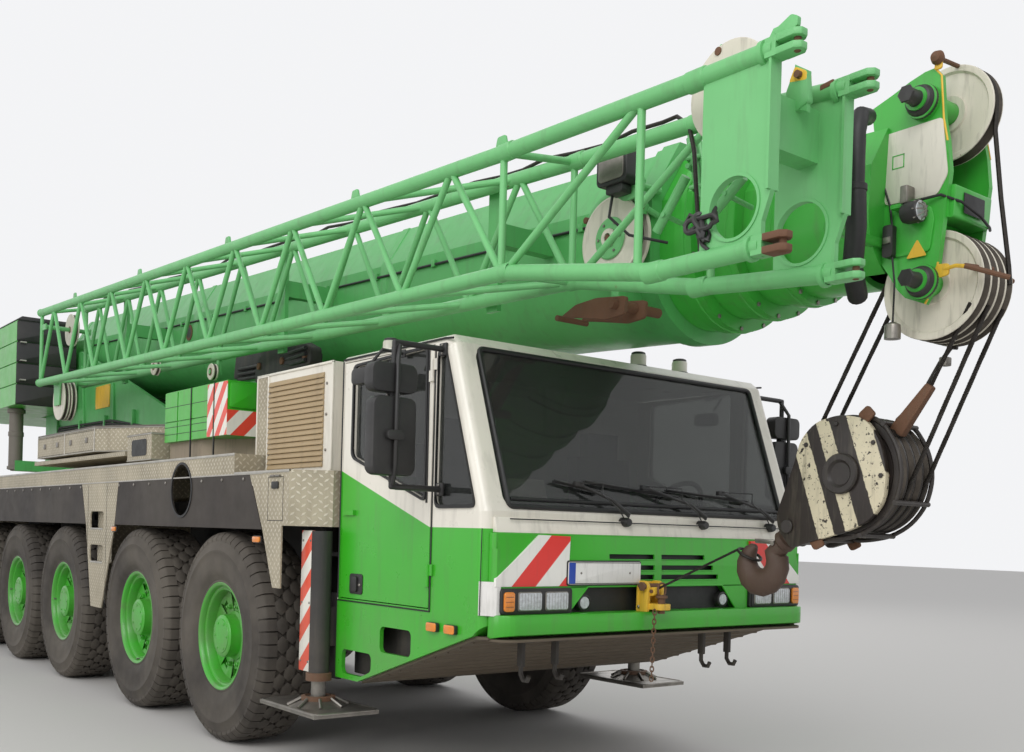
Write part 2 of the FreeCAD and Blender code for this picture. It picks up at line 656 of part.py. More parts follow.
def cab_interior():
    dash = plate_xz([(2380, CAB_FLOOR + 250), (2630, CAB_FLOOR + 250), (2630, 1555),
                     (2560, 1600), (2380, 1560)], -CAB_Y + 60, CAB_Y - 60)
    foot = box(2500, 2620, -900, 900, CAB_FLOOR + 10 + SEAT, CAB_FLOOR + 260)
    column = rod((2450, 620, 1500), (2228, 620, 1655), 30)
    axis = V(-200, 0, 140)
    ring = Part.makeTorus(215, 16, V(2235, 620, 1650), axis)
    spokes = rod((2235, 620 - 210, 1650), (2235, 620 + 210, 1650), 14)
    wheel_set = fuse([dash, foot, column, ring, spokes])
    return Part.makeCompound([wheel_set, seat(1750, 620), seat(1750, -620)])


HOOD_X = (300.0, 1190.0)
HOOD_Z1 = 2500.0
HOOD_Y = HALF - 210


def engine_hood():
    # Sheet housing behind the cab, with a louvred intake on each side.
    x0, x1 = HOOD_X
    z0 = LOW_DECK_Z + SEAT
    outer = box(x0, x1, -HOOD_Y, HOOD_Y, z0, HOOD_Z1)
    inner = box(x0 + 25, x1 - 25, -HOOD_Y + 25, HOOD_Y - 25, z0 - 1, HOOD_Z1 - 25)
    opening = box(x0 + 60, x1 - 150, HOOD_Y - 60, HOOD_Y + 1, z0 + 60, HOOD_Z1 - 90)
    shell = outer.cut([inner] + both_sides(opening))
    slats = []
    z = z0 + 75
    while z < HOOD_Z1 - 110:
        slats.append(plate_yz([(HOOD_Y - 60, z + 42), (HOOD_Y - 5, z), (HOOD_Y - 5, z + 8),
                               (HOOD_Y - 60, z + 50)], x0 + 40, x1 - 130))
        z += 46
    all_slats = [s for slat in slats for s in both_sides(slat)]
    rear_box = box(40, DECK_STEP_X - 5, 700, HOOD_Y - 40, DECK_Z + SEAT, HOOD_Z1 + 10)
    return Part.makeCompound([fuse([shell] + all_slats)] + both_sides(rear_box))


def engine_block():
    return box(350, 1140, -420, 420, LOW_DECK_Z + SEAT, 2420)


# Deck ballast: slabs on a low plinth between engine hood and superstructure.
BALLAST_X = (-1700.0, -470.0)
BALLAST_Z = (2140.0, 2540.0)
BALLAST_SEAM = 2300.0
# Step of the superstructure: ends along x, outer and inner side; the ballast clears its sweep
UPPER_STEP = (-2410.0, -1830.0, -1310.0, -760.0)
SWEEP_R = math.hypot(UPPER_STEP[1] - SLEW_X, UPPER_STEP[2]) + 20


def deck_ballast():
    x0, x1 = BALLAST_X
    z0, z1 = BALLAST_Z
    plinth = plate_xy([(x0, -1200), (-1050, -1200), (x1 + 40, -900), (x1 + 40, 900),
                       (-1050, 1200), (x0, 1200)], DECK_Z + SEAT, z0)
    slab = box(x0, x1, -1250, 1250, z0, z1)
    grooves = [box(x, x + 20, y0, y1, z0 - 1, z1 + 1) for x in (-1440, -720)
               for y0, y1 in ((-1251, -1240), (1240, 1251))]
    core = box(x0 + 12, x1 - 12, -1238, 1238, z0, z1)
    seam = box(x0 - 1, x1 + 1, -1251, 1251, BALLAST_SEAM - 5, BALLAST_SEAM + 5).cut(core)
    swept = Part.makeCylinder(SWEEP_R, z1 - DECK_Z + 2, V(SLEW_X, 0, DECK_Z - 1), Z)
    return fuse([plinth, slab.cut(grooves + [seam])]).cut(swept)


def upper_frame():
    z0 = UPPER_Z
    base = plate_xy([(-7600, -620), (-7600, 620), (-3250, 620), (-3250, -620)], z0, z0 + 50)
    ring = Part.makeCylinder(RING_R, 39.7, V(SLEW_X, 0, z0 - 39.7), Z)
    flank = plate_xz([(-7600, z0 + 40), (-3250, z0 + 40), (-3250, 2560), (-4300, 2900),
                      (-6200, 3480), (-7150, 3480), (-7600, 3000)], FLANK_Y, FLANK_Y + 40)
    foot = both_sides(flank)
    pin = rod((PIVOT.x, -FLANK_Y - 60, PIVOT.z), (PIVOT.x, FLANK_Y + 60, PIVOT.z), 70)
    ears = both_sides(box(LUFF_BASE.x - 160, LUFF_BASE.x + 160, 130, 180, z0 + 40,
                          LUFF_BASE.z + 110))
    luff_pin = rod((LUFF_BASE.x, -190, LUFF_BASE.z), (LUFF_BASE.x, 190, LUFF_BASE.z), 55)
    platform = [box(-5300, -2450, -1320, -610, z0, z0 + 40),
                box(-4500, -2650, 610, 1480, z0, z0 + 40)]
    lockers = [plate_xy([(-5200, -1310), (-3316, -1310), (-2450, -900), (-2450, -760),
                         (-5200, -760)], z0 + 70, z0 + 300),
               box(-5150, -2600, -850, -780, z0 + 35, z0 + 80)]
    step = box(*UPPER_STEP, z0 - 55, z0 + 165)
    bridge = box(-2460, -2400, -840, -760, z0 + 72, z0 + 160)
    posts = both_sides(rod((-6800, 1150, z0 + 10), (-6800, 1150, 2800), 78))
    arms = both_sides(box(-6900, -6700, 590, 1180, z0, z0 + 120))
    back = box(-7600, -7560, -FLANK_Y - 10, FLANK_Y + 10, z0 + 40, 2700)
    return fuse([base, ring, pin, luff_pin, back, step, bridge] + foot + ears + platform + lockers
                + posts + arms)


def winches():
    parts = []
    for x, z in ((-7180, 2480), (-6480, 2480)):
        drum = rod((x, -FLANK_Y + SEAT, z), (x, FLANK_Y - SEAT, z), 190)
        flanges = [disc((x, y, z), Y, 260, 30) for y in (-440, 440)]
        parts.append(fuse([drum] + flanges))
    return Part.makeCompound(parts)


COUNTER_X = (-9200.0, -6250.0)
COUNTER_Z = (2800.0 + SEAT, 3770.0)
COUNTER_SLABS = 4


def counterweight():
    x0, x1 = COUNTER_X
    z0, z1 = COUNTER_Z
    step = (z1 - z0) / COUNTER_SLABS
    slabs = []
    for i in range(COUNTER_SLABS):
        low = z0 + i * step
        slabs.append(box(x0, x1, -1300, 1300, low, low + step - 14))
        slabs.append(box(x0 + 15, x1 - 15, -1285, 1285, low, low + step))
    slot = box(-7700, x1 + 1, -640, 640, z0 - 1, z1 + 1)
    return fuse(slabs).cut(slot)


OP_CAB_X = (-4450.0, -2750.0)
OP_CAB_Y = (690.0, 1470.0)
OP_CAB_Z = (UPPER_Z + 40.0 + SEAT, 3680.0)
OP_DOOR_X = (-4330.0, -3450.0)
OP_HINGE = (-4328.0, OP_CAB_Y[1] + 12.0)
OP_HINGE_Z = (2300.0, 3350.0)


def operator_profile(inset_by):
    x0, x1 = OP_CAB_X
    z0, z1 = OP_CAB_Z
    d = inset_by
    return [(x0 + d, z0 + d), (x1 - 200 - d * 0.6, z0 + d), (x1 - d, z0 + 600),
            (x1 - 350 - d, z1 - d), (x0 + d, z1 - d)]


def operator_openings():
    x0, x1 = OP_CAB_X
    z0, z1 = OP_CAB_Z
    y0, y1 = OP_CAB_Y
    front = plate_xz([(x1 - 30, z0 + 640), (x1 + 40, z0 + 640), (x1 - 310, z1 - 60),
                      (x1 - 420, z1 - 60)], y0 + 60, y1 - 60)
    side = plate_xz([(-3380, z0 + 640), (x1 - 70, z0 + 640), (x1 - 370, z1 - 90),
                     (-3380, z1 - 90)], y1 - 60, y1 + 1)
    return front, side


def operator_cab():
    y0, y1 = OP_CAB_Y
    outer = plate_xz(operator_profile(0), y0, y1)
    inner = plate_xz(operator_profile(35), y0 + 35, y1 - 35)
    front, side = operator_openings()
    doorway = box(OP_DOOR_X[0], OP_DOOR_X[1], y1 - 60, y1 + 1, OP_CAB_Z[0] + 70, OP_CAB_Z[1] - 70)
    shell = outer.cut([inner, front, side, doorway])
    chair = box(-4050, -3600, y0 + 150, y1 - 150, OP_CAB_Z[0] + 34, OP_CAB_Z[0] + 520)
    rest = box(-4150, -4040, y0 + 150, y1 - 150, OP_CAB_Z[0] + 400, OP_CAB_Z[0] + 1150)
    x, y = OP_HINGE
    hinges = [hinge(x, y, z + HINGE_H + SEAT, x - 40, y1 - 5) for z in OP_HINGE_Z]
    return fuse([shell, chair, rest] + hinges)


def operator_glass():
    x0, x1 = OP_CAB_X
    z0, z1 = OP_CAB_Z
    y0, y1 = OP_CAB_Y
    side = inset([(-3380, z0 + 640), (x1 - 70, z0 + 640), (x1 - 370, z1 - 90),
                  (-3380, z1 - 90)], SEAT, y1 - 20, y1 - 14)
    front = plate_xz([(x1 - 14, z0 + 641), (x1 - 8, z0 + 641), (x1 - 352, z1 - 61),
                      (x1 - 358, z1 - 61)], y0 + 60 + SEAT, y1 - 60 - SEAT)
    return Part.makeCompound([side, front])


def operator_door():
    y1 = OP_CAB_Y[1]
    z0 = OP_CAB_Z[0] + 70 + RUN
    z1 = OP_CAB_Z[1] - 70 - RUN
    leaf = box(OP_DOOR_X[0] + RUN, OP_DOOR_X[1] - RUN, y1 - 30, y1, z0, z1)
    window = box(OP_DOOR_X[0] + 80, OP_DOOR_X[1] - 80, y1 - 40, y1 + 1, z0 + 500, z1 - 70)
    pane = box(OP_DOOR_X[0] + 79, OP_DOOR_X[1] - 79, y1 - 18, y1 - 12, z0 + 499, z1 - 69)
    x, y = OP_HINGE
    hinges = [hinge(x, y, z, OP_DOOR_X[0] + RUN + 30, y1 - 5) for z in OP_HINGE_Z]
    return fuse([leaf.cut(window), pane] + hinges)


def boom_place(shape):
    # From boom axes, x along the boom from BOOM_AXIS, to the machine.
    shape.rotate(V(0, 0, 0), Y, BOOM_SLOPE)
    shape.translate(BOOM_AXIS)
    return shape


def along(x):
    # Distance along the boom of a place given by its x on the machine.
    return (x - BOOM_AXIS.x) / math.cos(math.radians(BOOM_SLOPE))


def boom_outline(inside, x):
    # The boom's section, moved inwards by a distance, as a face across the boom.
    r = BOOM_R - inside
    bevel = math.atan2(BOOM_R - BOOM_TOP_Y, BOOM_TOP - BOOM_FLANK)
    flank = BOOM_FLANK - inside * math.tan(bevel / 2)
    top = BOOM_TOP - inside
    top_y = BOOM_TOP_Y - inside * math.tan((math.pi / 2 - bevel) / 2)
    arc = Part.Arc(V(x, -r, 0), V(x, 0, -r), V(x, r, 0)).toShape()
    sides = Part.makePolygon([V(x, r, 0), V(x, r, flank), V(x, top_y, top),
                              V(x, -top_y, top), V(x, -r, flank), V(x, -r, 0)])
    return Part.Face(Part.Wire([arc] + sides.Edges))


def boom_solid(inside, x0, x1):
    return boom_outline(inside, x0).extrude(V(x1 - x0, 0, 0))


def boom_tube(outside, inside, x0, x1):
    return boom_solid(outside, x0, x1).cut(boom_solid(inside, x0 - 1, x1 + 1))


def section_front(number):
    return along(BOOM_FRONT) + number * SECTION_STEP


def boom_section(number):
    # One tube of the boom with the collar at its front end that guides the next one.
    outside = number * SECTION_GAP
    x0 = along(PIVOT.x) + 200 + number * 60 if number else along(BOOM_REAR) + 150
    x1 = section_front(number)
    tube = boom_tube(outside, outside + TUBE_WALL, x0, x1)
    lip = outside - 22 if number else outside - 30
    collar = boom_tube(lip, outside + SECTION_GAP - 1.0, x1 - 120, x1)
    return fuse([tube, collar])


def to_boom(point):
    # Machine coordinates to boom axes.
    a = math.radians(BOOM_SLOPE)
    dx = point.x - BOOM_AXIS.x
    dz = point.z - BOOM_AXIS.z
    return V(dx * math.cos(a) - dz * math.sin(a), point.y, dx * math.sin(a) + dz * math.cos(a))


def boom_base():
    pivot = to_boom(PIVOT)
    eye = to_boom(LUFF_EYE)
    tube = boom_section(0)
    cheek = box(pivot.x - 150, pivot.x + 700, 452, 520, pivot.z - 150, BOOM_FLANK)
    tail_plate = box(pivot.x - 330, pivot.x + 500, BOOM_R - 60, 520, pivot.z - 150, BOOM_FLANK)
    cut_tool = rod((pivot.x, -600, pivot.z), (pivot.x, 600, pivot.z), 70 + SEAT)
    lug = plate_xz([(eye.x - 320, -BOOM_R + 60), (eye.x - 90, eye.z - 90), (eye.x + 90, eye.z - 90),
                    (eye.x + 320, -BOOM_R + 60)], 118, 152)
    pin = rod((eye.x, 150, eye.z), (eye.x, 185, eye.z), 62)
    hollow = boom_solid(TUBE_WALL, along(BOOM_REAR), section_front(0) - 119)
    outside_both = both_sides(fuse([tail_plate, lug, pin]).cut(hollow))
    shape = fuse([tube] + outside_both)
    return fuse([boom_place(shape.cut([cut_tool, hollow]))] + jib_holders())


def jib_holders():
    # Arms from the boom's right flank to uprights against the inner chords.
    parts = []
    y0 = JIB_FAR_Y + CHORD_R + SEAT
    for x in JIB_HOLDERS:
        low = chord_z(CHORDS[(JIB_FAR_Y, "low")], x)
        high = chord_z(CHORDS[(JIB_FAR_Y, "high")], x)
        arm_z = BOOM_AXIS.z - math.tan(math.radians(BOOM_SLOPE)) * (x - BOOM_AXIS.x) + 90
        parts.append(box(x - 50, x + 50, y0, y0 + 30, low - 60, high + 60))
        parts.append(box(x - 40, x + 40, y0 + 10, -BOOM_R + 8, arm_z - 60, arm_z + 60))
    return parts


def cable_reel():
    # Spring drum for the cable to the boom head, on the right flank.
    centre = to_boom(V(2860, -470, 3092))
    arm = box(centre.x - 60, centre.x + 60, -BOOM_R - 110, -BOOM_R - SEAT, centre.z - 60, centre.z + 60)
    drum = disc((centre.x, -BOOM_R - 90, centre.z), Y, 180, 60)
    flanges = [disc((centre.x, -BOOM_R - y, centre.z), Y, 220, 8) for y in (60, 120)]
    return boom_place(fuse([arm, drum] + flanges))


HEAD_OUTLINE = [
    (4157, 3465), (4264, 3502), (4347, 3535), (4420, 3556), (4467, 3559), (4501, 3518),
    (4517, 3327), (4538, 3226), (4552, 3094), (4537, 2968), (4519, 2799), (4508, 2706),
    (4497, 2608), (4452, 2532), (4354, 2573), (4313, 2615), (4286, 2660), (4222, 2757),
    (4213, 3040), (4184, 3275),
]
HEAD_STUB = 470.0
# Notch below the stub for the falls of rope: rear end, front end, top
ROPE_NOTCH = (4110.0, 4260.0, 2790.0)


def boom_head():
    # Two cheek plates on a stub of tube, with the shafts of the sheaves.
    plate = plate_xz(HEAD_OUTLINE, HEAD_PLATE_Y - 15, HEAD_PLATE_Y + 15)
    inside = SECTIONS * SECTION_GAP
    front = section_front(SECTIONS)
    stub = boom_place(boom_tube(inside + 10, inside + 40, front + SEAT, front + HEAD_STUB))
    shafts = [rod((p.x, -HEAD_PLATE_Y - 90, p.z), (p.x, HEAD_PLATE_Y + 90, p.z), 50)
              for p in (HEAD_TOP, HEAD_LOW)]
    caps = [disc((p.x, y, p.z), Y, 75, 40) for p in (HEAD_TOP, HEAD_LOW) for y in (-200, 200)]
    bulkhead = boom_place(boom_solid(inside + 10, front + HEAD_STUB - 30, front + HEAD_STUB))
    room = [disc((p.x, 0, p.z), Y, r + 2 * RUN, 2 * HEAD_PLATE_Y - 40)
            for p, r in ((HEAD_TOP, TOP_SHEAVE_R), (HEAD_LOW, SHEAVE_R))]
    reach = HEAD_PLATE_Y - 20
    room.append(box(ROPE_NOTCH[0], ROPE_NOTCH[1], -reach, reach, 2500, ROPE_NOTCH[2]))
    web = box(4500, 4540, -HEAD_PLATE_Y, HEAD_PLATE_Y, 2900, 3040)
    stay = box(4150, 4215, -HEAD_PLATE_Y - 10, HEAD_PLATE_Y + 10, 2900, 3150)
    body = fuse([stub, bulkhead]).cut(room)
    return fuse([body, web, stay] + both_sides(plate) + shafts + caps)


def groove_floor(r, width):
    return r + 4 - width * 0.32


def sheave(centre, y, r, width, axle_r=50):
    x, z = centre.x, centre.z
    rim = disc((x, y, z), Y, r, width)
    groove = Part.makeTorus(r + 4, r + 4 - groove_floor(r, width), V(x, y, z), Y)
    hole = disc((x, y, z), Y, axle_r + SEAT, width + 2)
    return rim.cut([groove, hole])


def head_sheaves():
    lower = [sheave(HEAD_LOW, y, SHEAVE_R, 58) for y in (-93, -31, 31, 93)]
    upper = [sheave(HEAD_TOP, y, TOP_SHEAVE_R, 80) for y in (50,)]
    return Part.makeCompound(lower + upper)


def chord_z(points, x):
    # Height of a chord at x, by straight runs between its corner points.
    for (xa, za), (xb, zb) in zip(points, points[1:]):
        if x <= xb:
            return za + (zb - za) * (x - xa) / (xb - xa)
    return points[-1][1]


JIB_REAR = -5060.0
JIB_KINK = 2950.0
JIB_ROOT = 4200.0
FORK_REACH = 120.0
FORK_PIN = 85.0
JIB_FACE = 4540.0
LOW_FACE = 4500.0
# Corner points of the chords as (x, z)
CHORDS = {
    (JIB_NEAR_Y, "low"): [(JIB_REAR, 2927), (JIB_KINK, 2725), (3950, 2557), (LOW_FACE, 2557)],
    (JIB_NEAR_Y, "high"): [(JIB_REAR, 3664), (JIB_KINK, 3304), (4160, 3272), (JIB_FACE, 3268)],
    (JIB_FAR_Y, "low"): [(JIB_REAR, 2960), (JIB_KINK, 2757), (3790, 2595), (LOW_FACE, 2535)],
    (JIB_FAR_Y, "high"): [(JIB_REAR, 3770), (JIB_KINK, 3365), (3760, 3335), (JIB_FACE, 3252)],
}
BAYS = 9
# Holes in the root plates: centre along x, centre height, radius
ROOT_HOLES = {JIB_NEAR_Y: (4365.0, 2727.0, 118.0), JIB_FAR_Y: (4335.0, 2725.0, 125.0)}


def chord(y, level):
    points = CHORDS[(y, level)]
    tubes = []
    for (xa, za), (xb, zb) in zip(points, points[1:]):
        tubes.append(rod((xa, y, za), (xb, y, zb), CHORD_R))
    joints = [Part.makeSphere(CHORD_R, V(x, y, z)) for x, z in points[1:-1]]
    return tubes + joints


def jib_point(x, y, level):
    return (x, y, chord_z(CHORDS[(y, level)], x))


def lacing():
    bay = (JIB_KINK - JIB_REAR - 60) / BAYS
    xs = [JIB_REAR + 30 + i * bay for i in range(BAYS + 1)]
    bars = []
    for i, (xa, xb) in enumerate(zip(xs, xs[1:])):
        mid = (xa + xb) / 2
        for y in (JIB_NEAR_Y, JIB_FAR_Y):
            bars.append((jib_point(xa, y, "low"), jib_point(mid, y, "high")))
            bars.append((jib_point(mid, y, "high"), jib_point(xb, y, "low")))
        for level, xa2, xb2 in (("high", mid, mid + bay), ("low", xa, xb)):
            if xb2 < JIB_KINK:
                bars.append((jib_point(xa2, JIB_NEAR_Y, level), jib_point(xb2, JIB_FAR_Y, level)))
    ends = [xs[0], xs[-1]]
    for x in ends:
        for y in (JIB_NEAR_Y, JIB_FAR_Y):
            bars.append((jib_point(x, y, "low"), jib_point(x, y, "high")))
        for level in ("low", "high"):
            bars.append((jib_point(x, JIB_NEAR_Y, level), jib_point(x, JIB_FAR_Y, level)))
    x = 3850
    for y in (JIB_NEAR_Y, JIB_FAR_Y):
        bars.append((jib_point(x, y, "low"), jib_point(x, y, "high")))
        bars.append((jib_point(JIB_KINK, y, "low"), jib_point(x, y, "high")))
    return [rod(a, b, LACING_R) for a, b in bars]


def fork(x, y, z):
    # Two flat tines around an upright pin hole.
    tip = x + FORK_REACH
    tines = [plate_xy([(x - 20, y - 34), (tip - 22, y - 34), (tip, y - 15), (tip, y + 15),
                       (tip - 22, y + 34), (x - 20, y + 34)], z + a, z + a + 24) for a in (-36, 12)]
    block = box(x - 30, x + 20, y - 34, y + 34, z - 36, z + 36)
    hole = Part.makeCylinder(16, 100, V(x + FORK_PIN, y, z - 50), Z)
    return fuse(tines + [block]).cut(hole)


def root_plate(y):
    z0 = chord_z(CHORDS[(y, "low")], JIB_ROOT)
    z1 = chord_z(CHORDS[(y, "high")], JIB_FACE)
    plate = box(JIB_ROOT, LOW_FACE, y - 12, y + 12, z0, z1)
    corner = plate_xz([(LOW_FACE - 1, z0 + 90), (JIB_FACE, z0 + 200), (JIB_FACE, z1), (LOW_FACE - 1, z1)],
                      y - 12, y + 12)
    x, z, r = ROOT_HOLES[y]
    lip = box(JIB_FACE - 12, JIB_FACE, y - 30, y + 30, z0 + 200, z1)
    return fuse([plate.cut(disc((x, y, z), Y, r, 60)), corner, lip])


# Rope sheaves and rollers: x, y, height, radius, width, radius of the axle
ROLLERS = (
    (-4870.0, -1180.0, 2747.0, 210.0, 50.0, 40.0),
    (-4870.0, -1110.0, 2747.0, 210.0, 50.0, 40.0),
    (-4900.0, -1080.0, 3500.0, 165.0, 50.0, 22.0),
    (4165.0, -1150.0, 3279.0, 200.0, 55.0, 22.0),
    (-2769.0, -950.0, 2907.0, 75.0, 40.0, 20.0),
    (-1466.0, -950.0, 2733.0, 66.0, 40.0, 20.0),
)


def roller_arms():
    # Axles of the rollers with the brackets that hold them to the chords.
    x, _, z, _, _, axle_r = ROLLERS[0]
    arms = [rod((x, -1230, z), (x, -1060, z), axle_r)]
    arms += [plate_xz([(x - 90, z - 60), (x + 90, z - 60), (x + 120, 2960), (x - 120, 2960)], y, y + 14)
             for y in (-1230, -1074)]
    arms.append(box(x - 40, x + 40, JIB_NEAR_Y, JIB_FAR_Y, 2926, 2950))
    x, _, z, _, _, axle_r = ROLLERS[2]
    arms.append(rod((x, JIB_NEAR_Y, z), (x, JIB_FAR_Y, z), axle_r))
    arms += [box(JIB_REAR + 30, x + 30, y - 7, y + 7, z - 30, z + 30) for y in (JIB_NEAR_Y, JIB_FAR_Y)]
    x, _, z, _, _, axle_r = ROLLERS[3]
    arms.append(rod((x, JIB_NEAR_Y, z), (x, JIB_FAR_Y, z), axle_r))
    for x, y, z, _, _, axle_r in ROLLERS[4:]:
        low = chord_z(CHORDS[(JIB_FAR_Y, "low")], x)
        arms.append(rod((x, y - 30, z), (x, JIB_FAR_Y + 12, z), axle_r))
        arms.append(box(x - 22, x + 22, JIB_FAR_Y - 12, JIB_FAR_Y + 12, min(z, low) - 20, max(z, low) + 20))
    return arms


def roller(x, y, z, r, width, axle_r):
    return sheave(V(x, 0, z), y, r, width, axle_r)


def lattice_jib():
    parts = []
    for y, level in CHORDS:
        parts += chord(y, level)
        x, z = CHORDS[(y, level)][-1]
        parts.append(fork(x, y, z))
    parts += lacing()
    parts += [root_plate(y) for y in ROOT_HOLES]
    parts.append(box(4310, 4410, JIB_NEAR_Y, JIB_FAR_Y, 2985, 3090))
    parts.append(box(4385, 4410, JIB_NEAR_Y, JIB_FAR_Y, 3080, 3195))
    parts.append(plate_xz([(4380, 3180), (4460, 3140), (4460, 3300), (4400, 3340)], -1062, -1038))
    room = [disc((x, y, z), Y, r + RUN, width + 2 * RUN).cut(disc((x, y, z), Y, axle_r, width + 99))
            for x, y, z, r, width, axle_r in ROLLERS]
    frame = fuse(parts).cut(room[:4])
    return Part.makeCompound([fuse([frame] + roller_arms())] + [roller(*row) for row in ROLLERS])


def luff_axes():
    line = LUFF_EYE - LUFF_BASE
    return line.Length, line


NECK = 205.0
ROD_START = 700.0


def luff_barrel():
    length, line = luff_axes()
    eye = disc(LUFF_BASE, Y, 120, 240)
    neck = Part.makeCylinder(110, 230, LUFF_BASE, line)
    tube = Part.makeCylinder(165, 2900 - NECK, LUFF_BASE + line * (NECK / length), line)
    bore = Part.makeCylinder(110 + SEAT, 2900, LUFF_BASE + line * (250 / length), line)
    pin = disc(LUFF_BASE, Y, 55 + SEAT, 400)
    return fuse([eye, neck, tube]).cut([bore, pin])


def luff_rod():
    length, line = luff_axes()
    shaft = Part.makeCylinder(110, length - ROD_START, LUFF_BASE + line * (ROD_START / length), line)
    eye = disc(LUFF_EYE, Y, 95, 200)
    return fuse([shaft, eye]).cut(disc(LUFF_EYE, Y, 50 + SEAT, 400))


HOOK_CHEEK = [
    (-277, -102), (-297, 14), (-241, 145), (-142, 240), (-9, 248), (124, 199), (233, 116),
    (268, 8), (248, -104), (152, -378), (132, -435), (83, -439), (18, -447), (-52, -418),
    (-111, -329), (-213, -178),
]
HOOK_WINDOW = [(-194, -177), (-86, -295), (-64, -239)]
BLOCK_SHEAVE_R = 280.0


def hook_block():
    # Cheek plates and sheaves above, swivelling hook below, drawn along its own axis.
    down = HOOK_EYE - HOOK_HUB
    length = down.Length
    cheeks = [plate_xz(HOOK_CHEEK, y, y + 30).cut(plate_xz(HOOK_WINDOW, y - 1, y + 31))
              for y in (-165, 135)]
    sheaves = [sheave(V(0, 0, 0), y, BLOCK_SHEAVE_R, 58) for y in (-93, -31, 31, 93)]
    hub = disc((0, 0, 0), Y, 65, 400)
    cross = box(-60, 130, -165, 165, -430, -350)
    nut = rod((15, 0, -480), (15, 0, -420), 75)
    shank = rod((15, 0, -420), (0, 0, -length + 110), 45)
    bowl = Part.makeTorus(97, 47, V(0, 0, -length), Y)
    mouth = box(20, 200, -60, 60, -length - 20, -length + 120)
    shape = fuse(cheeks + sheaves + [hub, cross, nut, shank, bowl.cut(mouth)])
    angle = math.degrees(math.atan2(-down.x, -down.z))
    shape.rotate(V(0, 0, 0), Y, angle)
    shape.translate(HOOK_HUB)
    return fuse([shape] + hoist_ropes())


def hoist_ropes():
    # Falls of rope between the sheaves of the block and the lower sheaves of the head.
    falls = []
    line = HEAD_LOW - HOOK_HUB
    line.normalize()
    across = V(line.z, 0, -line.x)
    reach = groove_floor(SHEAVE_R, 58) + ROPE_R + SEAT
    for y, side in ((-93, -1), (-31, 1), (31, -1), (93, 1)):
        top = HEAD_LOW + across * (side * reach) + Y * y
        foot = HOOK_HUB + across * (side * (groove_floor(BLOCK_SHEAVE_R, 58) + 6)) + Y * y
        falls.append(rod(foot, top, ROPE_R))
    return falls


def export():
    os.makedirs("parts", exist_ok=True)
    for name, shape in NODES.items():
        shape.translate(V(-ORIGIN_X, 0, 0))
        shape.exportStep("parts/%s.step" % name)
        bb = shape.BoundBox
        print("%-28s solids %3d valid %s  x %8.1f %8.1f  y %8.1f %8.1f  z %8.1f %8.1f" % (
            name, len(shape.Solids), shape.isValid(), bb.XMin, bb.XMax, bb.YMin, bb.YMax,
            bb.ZMin, bb.ZMax))


running_gear()
outriggers()
NODES["chassis_frame"] = chassis_frame()
NODES["deck"] = deck()
NODES["fenders"] = fenders()
NODES["cab_shell"] = cab_shell()
NODES["cab_glass"] = cab_glass()
NODES["cab_interior"] = cab_interior()
NODES["front_panel"] = front_panel()
NODES["cab_lamps"] = cab_lamps()
NODES["mirrors"] = Part.makeCompound(both_sides(mirrors()))
NODES["cab_door_left"] = cab_door()
NODES["cab_door_right"] = mirrored(cab_door())
NODES["cab_door_left_glass"] = door_glass()
NODES["cab_door_right_glass"] = mirrored(door_glass())
NODES["engine_hood"] = engine_hood()
NODES["engine_block"] = engine_block()
NODES["deck_ballast"] = deck_ballast()
NODES["upper_frame"] = upper_frame()
NODES["winches"] = winches()
NODES["counterweight"] = counterweight()
NODES["operator_cab"] = operator_cab()
NODES["operator_cab_glass"] = operator_glass()
NODES["operator_door"] = operator_door()
NODES["boom_base"] = boom_base()
for number in range(1, SECTIONS + 1):
    NODES["boom_section_%d" % number] = boom_place(boom_section(number))
NODES["boom_head"] = boom_head()
NODES["head_sheaves"] = head_sheaves()
NODES["cable_reel"] = cable_reel()
NODES["lattice_jib"] = lattice_jib()
NODES["luff_barrel"] = luff_barrel()
NODES["luff_rod"] = luff_rod()
NODES["hook_block"] = hook_block()
export()
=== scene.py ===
import math
import random

import bmesh
import bpy
from mathutils import Matrix, Vector


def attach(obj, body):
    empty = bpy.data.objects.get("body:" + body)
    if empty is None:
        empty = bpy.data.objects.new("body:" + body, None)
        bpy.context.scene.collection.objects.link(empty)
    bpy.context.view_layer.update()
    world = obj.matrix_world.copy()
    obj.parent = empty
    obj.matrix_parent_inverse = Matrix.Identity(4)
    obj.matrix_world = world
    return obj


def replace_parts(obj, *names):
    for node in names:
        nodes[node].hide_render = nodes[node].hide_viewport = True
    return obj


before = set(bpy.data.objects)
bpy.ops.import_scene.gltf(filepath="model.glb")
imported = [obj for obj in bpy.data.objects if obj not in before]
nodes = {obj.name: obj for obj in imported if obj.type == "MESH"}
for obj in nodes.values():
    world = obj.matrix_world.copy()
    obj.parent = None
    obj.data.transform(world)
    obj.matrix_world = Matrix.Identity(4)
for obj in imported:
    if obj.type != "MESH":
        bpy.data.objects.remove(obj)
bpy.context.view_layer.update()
random.seed(5)

# The scene: the photograph's camera, a pale floor and soft studio light.
# Places below are measured from the front axle, x forward; OX moves them to the row frame.
OX = 2.6305
CAMERA_AT = (7.078, -4.517, 1.480)
YAW, PITCH, ROLL = math.radians(141.43), math.radians(-0.30), math.radians(1.57)


